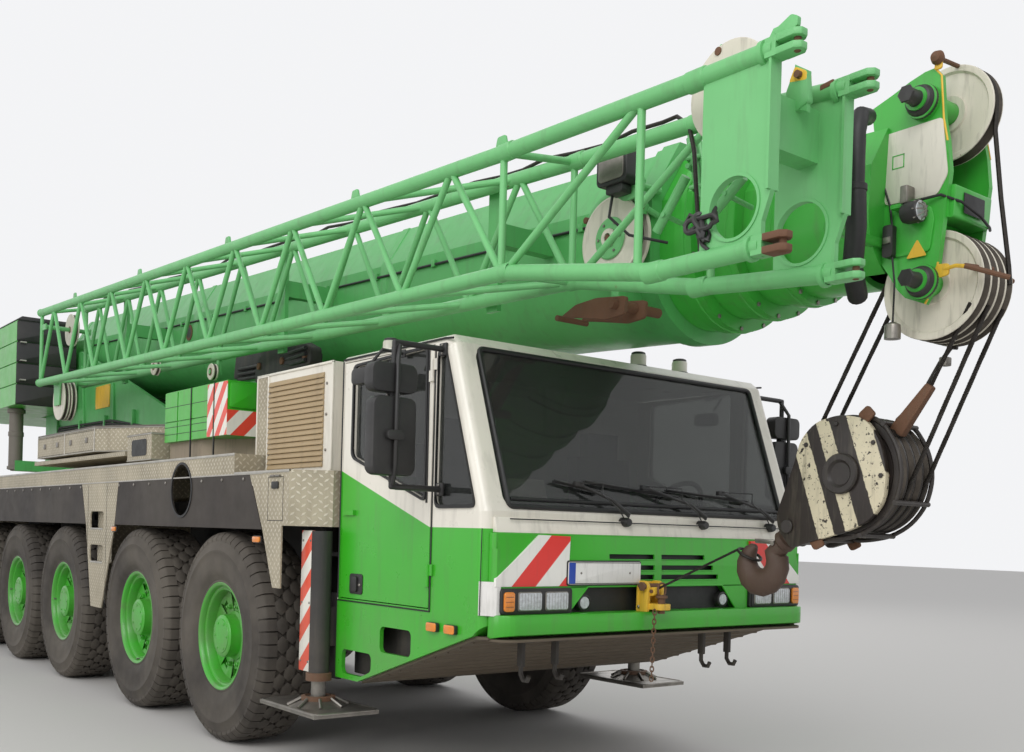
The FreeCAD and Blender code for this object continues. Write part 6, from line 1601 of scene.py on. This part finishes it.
for x in (-6.30, -2.0, 2.80):
    z = 3.593 - (x - 1.945) * math.tan(SLOPE)
    s.slab("xz", rounded([(x - 0.06, z - 0.01), (x + 0.06, z - 0.01), (x + 0.03, z + 0.075), (x - 0.03, z + 0.075)], 0.01), -0.05, -0.03, 0.004)
    s.slab("xz", rounded([(x - 0.06, z - 0.01), (x + 0.06, z - 0.01), (x + 0.03, z + 0.075), (x - 0.03, z + 0.075)], 0.01), 0.13, 0.15, 0.004)
    s.tube([(x, -0.05, z + 0.045), (x, 0.15, z + 0.045)], 0.022, 14)
s.done("rope_on_boom", "boom", "rope_sheave")


# Lattice extension: mint tube truss stowed along the boom's right side, its foot plates pinned
# at the head. Cream rope rollers turn in it; forks and pins are worn down to rust.
M["jib"] = painted("jib_paint", (0.155, 0.50, 0.175), grime=0.26, rust=0.42, coat=0.15, rough=0.45)
dress("lattice_jib", "jib")
NEAR, FAR = -1.350, -0.900
CHORD_LINES = {
    (NEAR, "low"): [(-5.060, 2.927), (2.950, 2.725), (3.950, 2.557), (4.500, 2.557)],
    (NEAR, "high"): [(-5.060, 3.664), (2.950, 3.304), (4.160, 3.272), (4.540, 3.268)],
    (FAR, "low"): [(-5.060, 2.960), (2.950, 2.757), (3.790, 2.595), (4.500, 2.535)],
    (FAR, "high"): [(-5.060, 3.770), (2.950, 3.365), (3.760, 3.335), (4.540, 3.252)]}
ROLLERS = ((-4.870, -1.180, 2.747, 0.2125, 0.054, 0.041), (-4.870, -1.110, 2.747, 0.2125, 0.054, 0.041),
           (-4.900, -1.080, 3.500, 0.1675, 0.054, 0.023), (4.165, -1.150, 3.279, 0.2025, 0.059, 0.023),
           (-2.769, -0.950, 2.907, 0.077, 0.044, 0.021), (-1.466, -0.950, 2.733, 0.068, 0.044, 0.021))


def chord_height(key, x):
    points = CHORD_LINES[key]
    for (xa, za), (xb, zb) in zip(points, points[1:]):
        if x <= xb:
            return za + (zb - za) * (x - xa) / (xb - xa)
    return points[-1][1]


s = Shape("sheave", "groove", "jib", "rust", "rope", "black", "steel", "yellow")
for x, y, z, r, width, bore in ROLLERS:
    w = width / 2
    floor = r - width * 0.30
    s.paint("sheave")
    side_in = [(bore, -w), (0.4 * r, -w), (0.45 * r, -w - 0.001), (r - 0.004, -w - 0.001), (r, -w + 0.004),
               (r, -w + 0.008)]
    side_out = [(rr, -h) for rr, h in reversed(side_in)]
    s.lathe(side_in + [(floor + 0.006, -w * 0.3), (floor, 0), (floor + 0.006, w * 0.3)] + side_out, (x, y, z), "y", 48)
    s.paint("groove").lathe([(r - 0.006, -w + 0.011), (floor + 0.010, -w * 0.28), (floor + 0.004, 0), (floor + 0.010, w * 0.28),
                             (r - 0.006, w - 0.011), (floor, w * 0.2), (floor, -w * 0.2)], (x, y, z), "y", 48)
    s.paint("rust").lathe([(bore, -w - 0.004), (bore * 1.5, -w - 0.004), (bore * 1.6, -w), (bore, -w)], (x, y, z), "y", 24)
    s.lathe([(bore, w), (bore * 1.6, w), (bore * 1.5, w + 0.004), (bore, w + 0.004)], (x, y, z), "y", 24)
s.done("jib_rollers", "boom", "rope_sheave")

s = Shape("rust", "jib", "black", "rope", "yellow", "steel")
# worn fork ends, with a rough layer of rust over the paint
for (y, level), points in CHORD_LINES.items():
    x, z = points[-1]
    worn_key = "rust" if (y, level) == (NEAR, "low") else "jib"
    for a in (-0.0375, 0.0105):
        s.paint(worn_key).slab("xy", [(x + 0.022, y - 0.0365), (x + 0.099, y - 0.0365), (x + 0.1225, y - 0.016),
                                    (x + 0.1225, y + 0.016), (x + 0.099, y + 0.0365), (x + 0.022, y + 0.0365)],
                             z + a, z + a + 0.027, 0.004)
    s.paint("rust").disc((x + 0.092, y, z), "z", 0.014, 0.080, 12)
    s.paint("jib").lathe([(0.039, -0.012), (0.048, -0.010), (0.048, 0.010), (0.039, 0.012)], (x - 0.05, y, z), "x", 20)
    # weld sleeves where the chord bends
    for bx, bz in points[1:-1]:
        s.lathe([(0.0385, -0.05), (0.043, -0.045), (0.043, 0.045), (0.0385, 0.05)], (bx, y, bz), "x", 20)
# rear ends of the chords: closing caps
for key, points in CHORD_LINES.items():
    x, z = points[0]
    s.paint("jib").disc((x - 0.004, key[0], z), "x", 0.043, 0.014, 20)
# rims of the holes in the foot plates
for y, x, z, r in ((NEAR, 4.365, 2.727, 0.118), (FAR, 4.335, 2.725, 0.125)):
    s.paint("jib").lathe([(r - 0.002, -0.017), (r + 0.010, -0.017), (r + 0.010, 0.017), (r - 0.002, 0.017)], (x, y, z), "y", 40)
# flap and pinned lugs above the root, their edges worn to rust
s.paint("jib").slab("xz", rounded([(4.527, 3.333), (4.607, 3.369), (4.637, 3.353), (4.635, 3.319), (4.554, 3.303)], 0.008),
                    NEAR - 0.010, NEAR + 0.010, 0.003)
s.slab("xz", [(4.470, 3.262), (4.520, 3.262), (4.560, 3.345), (4.527, 3.345)], NEAR - 0.008, NEAR + 0.008, 0.002)
s.slab("xz", rounded([(4.060, 3.300), (4.060, 3.423), (4.097, 3.496), (4.159, 3.453), (4.175, 3.300)], 0.015), -1.158, -1.142, 0.003)
s.paint("rust").tube([(4.108, -1.185, 3.452), (4.108, -1.115, 3.452)], 0.017, 12)
s.paint("jib").slab("xz", rounded([(4.360, 3.237), (4.402, 3.328), (4.457, 3.296), (4.470, 3.175), (4.400, 3.150)], 0.012), -1.066, -1.034, 0.004)
s.paint("yellow").slab("xz", rounded([(4.375, 3.275), (4.402, 3.330), (4.457, 3.298), (4.460, 3.262)], 0.010), -1.0665, -1.0335, 0.001, 1)
s.paint("rust").tube([(4.425, -1.085, 3.290), (4.425, -1.015, 3.290)], 0.015, 12)
s.slab("xz", [(4.428, 3.262), (4.489, 3.270), (4.489, 3.292), (4.428, 3.284)], FAR - 0.040, FAR + 0.030, 0.003)
# plate lugs on the upper chord and feet of the lacing
for x in (-3.9, -2.1, -0.3, 1.5, 2.9):
    z = chord_height((NEAR, "high"), x)
    s.paint("jib").slab("xz", rounded([(x - 0.05, z + 0.02), (x + 0.05, z + 0.02), (x + 0.03, z + 0.085), (x - 0.03, z + 0.085)], 0.012),
                        NEAR - 0.006, NEAR + 0.006, 0.002)
# dark rope tied along the far upper chord, down behind the root
rope = []
for k in range(41):
    x = -4.9 + 8.45 * k / 40
    rope.append((x, FAR + 0.020 * math.sin(k * 1.7), chord_height((FAR, "high"), x) + 0.050 + 0.006 * math.sin(k * 2.3)))
rope += [(3.62, FAR, 3.400), (3.715, FAR - 0.02, 3.330), (3.760, FAR - 0.03, 3.200), (3.790, FAR - 0.03, 2.92), (3.800, FAR - 0.01, 2.70)]
s.paint("rope").tube(rope, 0.010, 8)
# steel pins and a short chain at the rear corner
s.paint("steel")
for y in (NEAR, FAR):
    s.disc((-5.066, y, chord_height((y, "low"), -5.06)), "x", 0.016, 0.022, 6)
# bundle of brown rods and tubes stowed beside the boom
for k, (dx, dy) in enumerate(((0.0, 0.0), (0.030, 0.012), (-0.028, 0.008), (0.010, -0.026), (-0.012, 0.032))):
    s.paint("rust").tube([(3.484 + dx, -0.650 + dy, 3.407), (3.557 + dx, -0.650 + dy, 3.088)], 0.013, 10)
s.paint("black").tube([(3.455, -0.640, 3.300), (3.490, -0.690, 3.290), (3.545, -0.665, 3.296), (3.525, -0.615, 3.302)], 0.010, 8,
                      closed=True)
s.tube([(3.495, -0.640, 3.150), (3.520, -0.690, 3.145), (3.585, -0.665, 3.150), (3.560, -0.615, 3.152)], 0.010, 8, closed=True)
s.paint("rust").tube([(3.265, -0.650, 2.992), (3.454, -0.650, 3.222)], 0.024, 14)
s.tube([(3.643, -0.650, 3.015), (3.810, -0.650, 3.136)], 0.024, 14)
s.paint("jib").tube([(3.46, -0.455, 3.235), (3.505, -0.700, 3.250)], 0.013, 8)
s.tube([(3.30, -0.455, 3.050), (3.33, -0.680, 3.060)], 0.013, 8)
s.tube([(3.70, -0.455, 3.060), (3.72, -0.680, 3.075)], 0.013, 8)
s.done("jib_fittings", "boom", "light_green_paint")

# A coil of black rope knotted on the root plate's rear edge, with loose ends.
s = Shape("black")
for turn in range(3):
    pts = []
    for k in range(22):
        t = 2 * math.pi * k / 22
        pts.append((4.205 + 0.022 * math.sin(t * 2) + 0.012 * turn, -1.352 + 0.034 * math.sin(t + turn),
                    2.690 + 0.050 * math.cos(t) + 0.012 * turn * math.sin(3 * t)))
    s.tube(pts, 0.011, 7, closed=True)
pts = [(4.215 + 0.075 * math.cos(t), -1.366 - 0.004 * t, 2.692 + 0.030 * math.sin(t) + 0.006 * math.sin(3 * t))
       for t in [2 * math.pi * k / 20 for k in range(20)]]
s.tube(pts, 0.010, 7, closed=True)
s.tube([(4.215, -1.374, 2.70), (4.160, -1.380, 2.672), (4.128, -1.372, 2.705), (4.150, -1.366, 2.745), (4.190, -1.366, 2.720)], 0.008, 7)
s.tube([(4.205, -1.368, 2.650), (4.225, -1.372, 2.610), (4.255, -1.370, 2.585)], 0.008, 7)
s.done("knotted_rope", "boom", "black_rubber")

# Cable reel: spring drum on the boom's flank that pays out the cable to the head. Two cream
# discs with a mint hub plate, a curved mint arm with pins, and a black lamp beside it.
M["reel"] = painted("reel_paint", (0.74, 0.69, 0.58), grime=0.4, rust=0.25, coat=0.15, rough=0.42, scale=2.0)
REEL = Vector(boom_at(along(2.860), 0, 0.018))
s = Shape("reel", "jib", "black", "rust", "gasket", "steel", "lens")
cx, cz = REEL.x, REEL.z
for y, rim in ((-0.510, 0.220), (-0.578, 0.220)):
    s.paint("reel").lathe([(0.060, -0.004), (0.205, -0.004), (0.212, -0.008), (0.222, -0.006), (0.222, 0.006), (0.212, 0.008),
                           (0.205, 0.004), (0.060, 0.004)], (cx, y, cz), "y", 56)
s.paint("gasket").lathe([(0.10, -0.030), (0.178, -0.030), (0.184, -0.010), (0.180, 0.0), (0.184, 0.012), (0.178, 0.030), (0.10, 0.030)],
                        (cx, -0.544, cz), "y", 44)
s.paint("jib").box(cx - 0.062, cx + 0.062, -0.580, -0.4485, cz - 0.062, cz + 0.062, 0.006)
s.lathe([(0.0, -0.006), (0.105, -0.006), (0.112, 0.0), (0.105, 0.006), (0.0, 0.006)], (cx, -0.588, cz), "y", 40, closed=False)
s.paint("reel").lathe([(0.024, -0.014), (0.046, -0.014), (0.050, -0.004), (0.050, 0.0), (0.024, 0.0)], (cx, -0.596, cz), "y", 28)
s.paint("rust").disc((cx, -0.602, cz), "y", 0.016, 0.022, 12)
s.paint("steel")
for k in range(6):
    t = 2 * math.pi * k / 6
    s.disc((cx + 0.082 * math.cos(t), -0.597, cz + 0.082 * math.sin(t)), "y", 0.008, 0.010, 6, 0.002)
# curved arm above, with two pins, and its foot on the boom
arm = [(cx + (0.262 + 0.0) * math.cos(math.radians(a)), cz + 0.262 * math.sin(math.radians(a))) for a in range(150, 24, -9)]
back = [(cx + 0.226 * math.cos(math.radians(a)), cz + 0.226 * math.sin(math.radians(a))) for a in range(24, 151, 9)]
s.paint("jib").slab("xz", arm + back, -0.566, -0.522, 0.004)
for a in (146, 90, 30):
    px, pz = cx + 0.245 * math.cos(math.radians(a)), cz + 0.245 * math.sin(math.radians(a))
    s.paint("jib").tube([(px, -0.452, pz - 0.02), (px, -0.530, pz)], 0.016, 10)
    s.paint("rust").disc((px, -0.575, pz), "y", 0.018, 0.024, 12)
# lamp in a black box on a mint bracket
s.paint("jib").slab("xz", rounded([(2.840, 3.491), (3.115, 3.471), (3.165, 3.216), (3.020, 3.196), (2.860, 3.300)], 0.04), -0.642, -0.630, 0.004)
s.tube([(2.96, -0.450, 3.36), (2.96, -0.632, 3.36)], 0.020, 10)
s.tube([(3.08, -0.450, 3.28), (3.08, -0.632, 3.28)], 0.020, 10)
s.paint("black").slab("xz", soft(2.902, 3.126, 3.268, 3.458, 0.035, 5), -0.735, -0.640, 0.012, 3)
s.slab("xz", soft(2.960, 3.080, 3.225, 3.275, 0.015), -0.720, -0.650, 0.006)
s.paint("steel").slab("xz", soft(2.922, 3.106, 3.288, 3.438, 0.025, 5), -0.741, -0.734, 0.003)
s.paint("gasket").tube([(2.98, -0.69, 3.228), (2.97, -0.70, 3.120), (3.06, -0.64, 3.02), (3.20, -0.50, 2.98)], 0.008, 8)
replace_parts(s.done("spring_reel", "boom", "rope_sheave"), "cable_reel")

# Cable from the reel over the boom's tip to the head: a thin black line just clear of the flank.
s = Shape("gasket")
s.tube([(cx + 0.02, -0.544, cz + 0.186), (cx + 0.10, -0.540, cz + 0.178), (3.040, -0.530, cz + 0.160)], 0.006, 6)
s.done("reel_cable", "boom", "black_rubber")


# Hook block: cheek plates in dark paint with worn cream stripes over four sheaves, a cross-head
# below and a forged hook turning in it. The wire rope runs in falls up to the head's sheaves.
HUB, BOWL = Vector((4.040, 0, 1.800)), Vector((3.440, 0, 1.385))
DOWN = BOWL - HUB
BLOCK_LENGTH = DOWN.length
TURN = math.atan2(-DOWN.x, -DOWN.z)
CHEEK = [(-0.277, -0.102), (-0.297, 0.014), (-0.241, 0.145), (-0.142, 0.240), (-0.009, 0.248), (0.124, 0.199),
         (0.233, 0.116), (0.268, 0.008), (0.248, -0.104), (0.152, -0.378), (0.132, -0.435), (0.083, -0.439),
         (0.018, -0.447), (-0.052, -0.418), (-0.111, -0.329), (-0.213, -0.178)]


def striped_cheek():
    # Worn stripes across the plate: position measured along the block's own axes.
    m, nt, bsdf, co = start("striped_cheek")
    x, y, z = node(nt, "SeparateXYZ", co).outputs
    dx = calc(nt, "SUBTRACT", x, HUB.x + OX)
    dz = calc(nt, "SUBTRACT", z, HUB.z)
    c, sn = math.cos(TURN), math.sin(TURN)
    # back to the block's own axes
    lx = calc(nt, "SUBTRACT", calc(nt, "MULTIPLY", dx, c), calc(nt, "MULTIPLY", dz, sn))
    lz = calc(nt, "ADD", calc(nt, "MULTIPLY", dx, sn), calc(nt, "MULTIPLY", dz, c))
    h = calc(nt, "MULTIPLY_ADD", lx, 0.27, lz)
    rough = calc(nt, "MULTIPLY", calc(nt, "SUBTRACT", spots(nt, co, 34, 0.2, 0.8), 0.5), 0.008)
    h = calc(nt, "ADD", h, rough)
    pale = None
    for low, high in ((-0.222, -0.128), (-0.063, 0.012), (0.108, 0.225)):
        band = calc(nt, "MULTIPLY", above(nt, h, low), calc(nt, "SUBTRACT", 1.0, above(nt, h, high)))
        pale = band if pale is None else calc(nt, "MAXIMUM", pale, band)
    # chipped through to dark rusty steel
    chips = calc(nt, "MAXIMUM", spots(nt, co, 30, 0.60, 0.64), spots(nt, co, 75, 0.63, 0.67))
    pale = calc(nt, "MULTIPLY", pale, calc(nt, "SUBTRACT", 1.0, chips))
    colour = blend(nt, pale, (0.020, 0.013, 0.010), (0.72, 0.64, 0.45))
    worn(nt, bsdf, co, colour, grime=0.6, rust=1.0, rough=0.5, coat=0.1, fade=0.2, low_dirt=0.0, scale=2.6)
    return m


def on_block(p):
    # From the block's own axes (down is minus z) to the machine.
    c, sn = math.cos(TURN), math.sin(TURN)
    return (HUB.x + p[0] * c + p[2] * sn, p[1], HUB.z - p[0] * sn + p[2] * c)


def block_done(s, name):
    for v in s.bm.verts:
        v.co = on_block(v.co)
    return s.done(name, "hook", "hook_paint")


M["cheek"] = striped_cheek()
M["hook"] = painted("hook_paint", (0.026, 0.020, 0.017), grime=0.5, rust=1.0, coat=0.1, rough=0.5, scale=3.0)
M["forged"] = painted("forged_hook", (0.085, 0.050, 0.034), grime=0.4, rust=0.9, coat=0.0, rough=0.6, scale=3.0)
dress("hook_block", "hook")

s = Shape("cheek", "hook", "rust", "steel", "sheave", "groove")
for side in (-1, 1):
    a, b = sorted((side * 0.135, side * 0.166))
    s.paint("cheek").slab("xz", rounded(CHEEK, 0.05, 4), a, b, 0.004)
    # hub: dark dished ring
    y = side * 0.166
    s.paint("hook").lathe([(0.0, side * 0.010), (0.052, side * 0.010), (0.066, side * 0.024), (0.090, side * 0.024), (0.096, side * 0.016),
                           (0.096, 0.0)], (0, y, 0), "y", 40, closed=False)
    # rivets and spacer bolts round the rim
    for px, pz in ((-0.215, 0.105), (0.130, 0.165), (-0.235, -0.085), (-0.020, 0.215)):
        s.disc((px, y + side * 0.003, pz), "y", 0.012, 0.012, 6, 0.003)
for px, pz in ((-0.215, 0.105), (0.130, 0.165), (-0.235, -0.085), (-0.020, 0.215)):
    s.paint("rust").tube([(px, -0.140, pz), (px, 0.140, pz)], 0.011, 10)
for y in (-0.093, -0.031, 0.031, 0.093):
    make_sheave(s, Vector((0, 0, 0)), y, 0.280, 0.058, face="hook")
for y in (-0.062, 0.0, 0.062):
    s.paint("hook").lathe([(0.052, -0.003), (0.20, -0.0015), (0.20, 0.0015), (0.052, 0.003)], (0, y, 0), "y", 36)
# cross-head with its end caps and the round nut
s.paint("hook").solid([(-0.060, -0.134, -0.350), (0.130, -0.134, -0.350), (0.130, 0.134, -0.350), (-0.060, 0.134, -0.350)],
                      [(-0.050, -0.134, -0.432), (0.118, -0.134, -0.432), (0.118, 0.134, -0.432), (-0.050, 0.134, -0.432)], 0.010)
for side in (-1, 1):
    s.paint("hook").disc((0.035, side * 0.172, -0.390), "y", 0.034, 0.014, 24)
s.lathe(
    [(0.040, -0.432), (0.078, -0.432), (0.082, -0.440), (0.082, -0.472), (0.072, -0.484), (0.046, -0.486), (0.040, -0.480)],
    (0.015, 0, 0), "z", 32)
block = block_done(s, "block_cheeks")
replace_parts(block, "hook_block")

# Guard frame on the front of the block: bent flat bar that keeps the rope in the grooves.
s = Shape("hook", "rust")
GUARD = [(-0.160, 0.245), (-0.076, 0.288), (0.056, 0.286), (0.176, 0.236), (0.262, 0.142), (0.297, 0.028), (0.286, -0.090),
         (0.236, -0.200), (0.180, -0.290)]
for side in (-1, 1):
    y = side * 0.128
    path = rounded(GUARD, 0.06, 4)
    s.paint("hook").tube([(x, y, z) for x, z in path[2:-2]], 0.011, 8)
for x, z in (GUARD[1], GUARD[4], GUARD[6], GUARD[8]):
    s.paint("hook").tube([(x, -0.140, z), (x, 0.140, z)], 0.012, 10)
for side in (-1, 1):
    y = side * 0.150
    s.paint("rust").slab("xz", rounded([(0.150, -0.330), (0.215, -0.330), (0.225, -0.270), (0.160, -0.260)], 0.015), y - 0.008, y + 0.008, 0.003)
    s.slab("xz", rounded([(-0.185, 0.215), (-0.120, 0.225), (-0.130, 0.290), (-0.190, 0.280)], 0.015), y - 0.008, y + 0.008, 0.003)
block_done(s, "rope_guard")

# Forged hook: shank with a collar, thick bowl narrowing to the tip, a spring latch across it.
s = Shape("forged", "rust", "steel")
L = BLOCK_LENGTH
s.paint("forged").lathe([(0.0, -0.484), (0.046, -0.486), (0.046, -0.520), (0.058, -0.528), (0.060, -0.556), (0.048, -0.570), (0.0, -0.572)],
                        (0.015, 0, 0), "z", 28, closed=False)
PATH = [(0.018, -0.560, 0.050, 0.046), (0.024, -0.600, 0.053, 0.046)]
for deg, thick, wide in ((88, 0.052, 0.046), (110, 0.056, 0.048), (135, 0.060, 0.050), (160, 0.064, 0.051), (185, 0.067, 0.052),
                         (210, 0.069, 0.052), (235, 0.069, 0.051), (260, 0.066, 0.050), (285, 0.060, 0.047), (308, 0.052, 0.043),
                         (328, 0.043, 0.037), (345, 0.034, 0.030), (360, 0.024, 0.022), (368, 0.012, 0.012)):
    t = math.radians(deg)
    PATH.append((0.030 - 0.095 * math.cos(t), -L + 0.095 * math.sin(t), thick * 1.18, wide * 1.08))
before = set(s.bm.faces)
rings = []
N = 20
for i, (x, z, thick, wide) in enumerate(PATH):
    a = PATH[max(i - 1, 0)]
    b = PATH[min(i + 1, len(PATH) - 1)]
    way = Vector((b[0] - a[0], 0, b[1] - a[1])).normalized()
    out = Vector((way.z, 0, -way.x))
    ring = []
    for k in range(N):
        t = 2 * math.pi * k / N
        # flattened inside face, rounder back
        r_in = thick * 0.82 if math.cos(t) > 0 else thick
        ring.append(s.bm.verts.new(Vector((x, 0, z)) + out * (r_in * math.cos(t)) + Vector((0, wide * math.sin(t), 0))))
    rings.append(ring)
made = [s.bm.faces.new(rings[0]), s.bm.faces.new(rings[-1][::-1])]
for ra, rb in zip(rings, rings[1:]):
    for k in range(N):
        made.append(s.bm.faces.new((ra[k], ra[(k + 1) % N], rb[(k + 1) % N], rb[k])))
bmesh.ops.recalc_face_normals(s.bm, faces=made)
s.take(before)
for y in (-0.030, 0.030):
    s.paint("steel").tube([(0.000, y, -0.590), (-0.078, y * 0.7, -L + 0.050)], 0.008, 8)
s.slab("xz", rounded([(0.010, -0.585), (-0.010, -0.575), (-0.092, -L + 0.045), (-0.070, -L + 0.035)], 0.006), -0.026, 0.026, 0.003)
s.tube([(0.002, -0.052, -0.588), (0.002, 0.052, -0.588)], 0.012, 10)
block_done(s, "forged_hook")


# Falls of wire rope: six strands laid round each other, from the block up to the head.
def laid_rope(s, a, b, r=0.011, strands=6, pitch=0.085):
    a, b = Vector(a), Vector(b)
    way = (b - a).normalized()
    side = way.orthogonal().normalized()
    other = way.cross(side)
    n = max(6, int((b - a).length / pitch * 8))
    for k in range(strands):
        pts = []
        for i in range(n + 1):
            t = i / n
            ang = 2 * math.pi * (k / strands + (b - a).length * t / pitch)
            pts.append(a.lerp(b, t) + (side * math.cos(ang) + other * math.sin(ang)) * r * 0.62)
        s.tube(pts, r * 0.42, 5)


s = Shape("rope", "rust", "steel")
line = (HEAD_LOW - HUB).normalized()
across = Vector((line.z, 0, -line.x))
for y, side in ((-0.093, -1), (-0.031, 1), (0.031, -1), (0.093, 1)):
    top = HEAD_LOW + across * (side * 0.2367) + Vector((0, y, 0))
    foot = HUB + across * (side * 0.2710) + Vector((0, y, 0))
    laid_rope(s, foot, top)
# rope lying in the grooves of the block
for y in (-0.093, -0.031, 0.031, 0.093):
    pts = []
    for k in range(24):
        ang = math.atan2(across.z, across.x) - math.pi * k / 23
        pts.append(HUB + Vector((math.cos(ang) * 0.2735, y, math.sin(ang) * 0.2735)))
    s.tube(pts, 0.0105, 7)
# dead end: wedge socket pinned to the block with a tail of rope and its clip
end = Vector((4.262, -0.060, 2.060))
tip = Vector((4.420, -0.060, 2.170))
s.paint("rust").solid([(4.225, -0.085, 2.010), (4.290, -0.085, 1.965), (4.290, -0.035, 1.965), (4.225, -0.035, 2.010)],
                      [(4.405, -0.080, 2.205), (4.440, -0.080, 2.180), (4.440, -0.040, 2.180), (4.405, -0.040, 2.205)], 0.010)
s.tube([(4.250, -0.110, 1.985), (4.250, -0.010, 1.985)], 0.018, 12)
s.tube([(4.250, -0.060, 1.985), (4.170, -0.060, 1.900)], 0.020, 10)
s.paint("rope")
laid_rope(s, (4.420, -0.060, 2.190), (4.630, -0.120, 2.520), 0.010)
s.tube([(4.400, -0.050, 2.200), (4.452, -0.045, 2.290), (4.500, -0.042, 2.352), (4.530, -0.040, 2.350)], 0.010, 8)
s.paint("steel").box(4.462, 4.500, -0.075, -0.028, 2.272, 2.312, 0.006)
s.done("hoist_falls", "hook", "rope_sheave")

# Sling that ties the hook to the tow point at the bumper: thin steel rope with a shackle and a
# short chain.
s = Shape("rope", "yellow", "rust")
# its eye is round the arm of the hook
middle, grip = Vector(on_block((0.030, 0, -L))), Vector(on_block((-0.052, 0, -L - 0.046)))
reach = (grip - middle).normalized()
laid_rope(s, (2.868, -0.185, 1.185), grip + reach * 0.070, 0.007, 5)
s.paint("rope").tube([grip + reach * (0.066 * math.cos(math.pi * k / 9)) + Vector((0, 0.060 * math.sin(math.pi * k / 9), 0))
                      for k in range(18)], 0.008, 7, closed=True)
s.paint("yellow").slab("xz", rounded([(2.846, 1.150), (2.886, 1.160), (2.890, 1.205), (2.850, 1.200)], 0.012), -0.205, -0.165, 0.004)
s.paint("rust").tube([(2.868, -0.215, 1.180), (2.868, -0.155, 1.180)], 0.010, 10)
s.done("tie_down", "carrier", "rope_sheave")
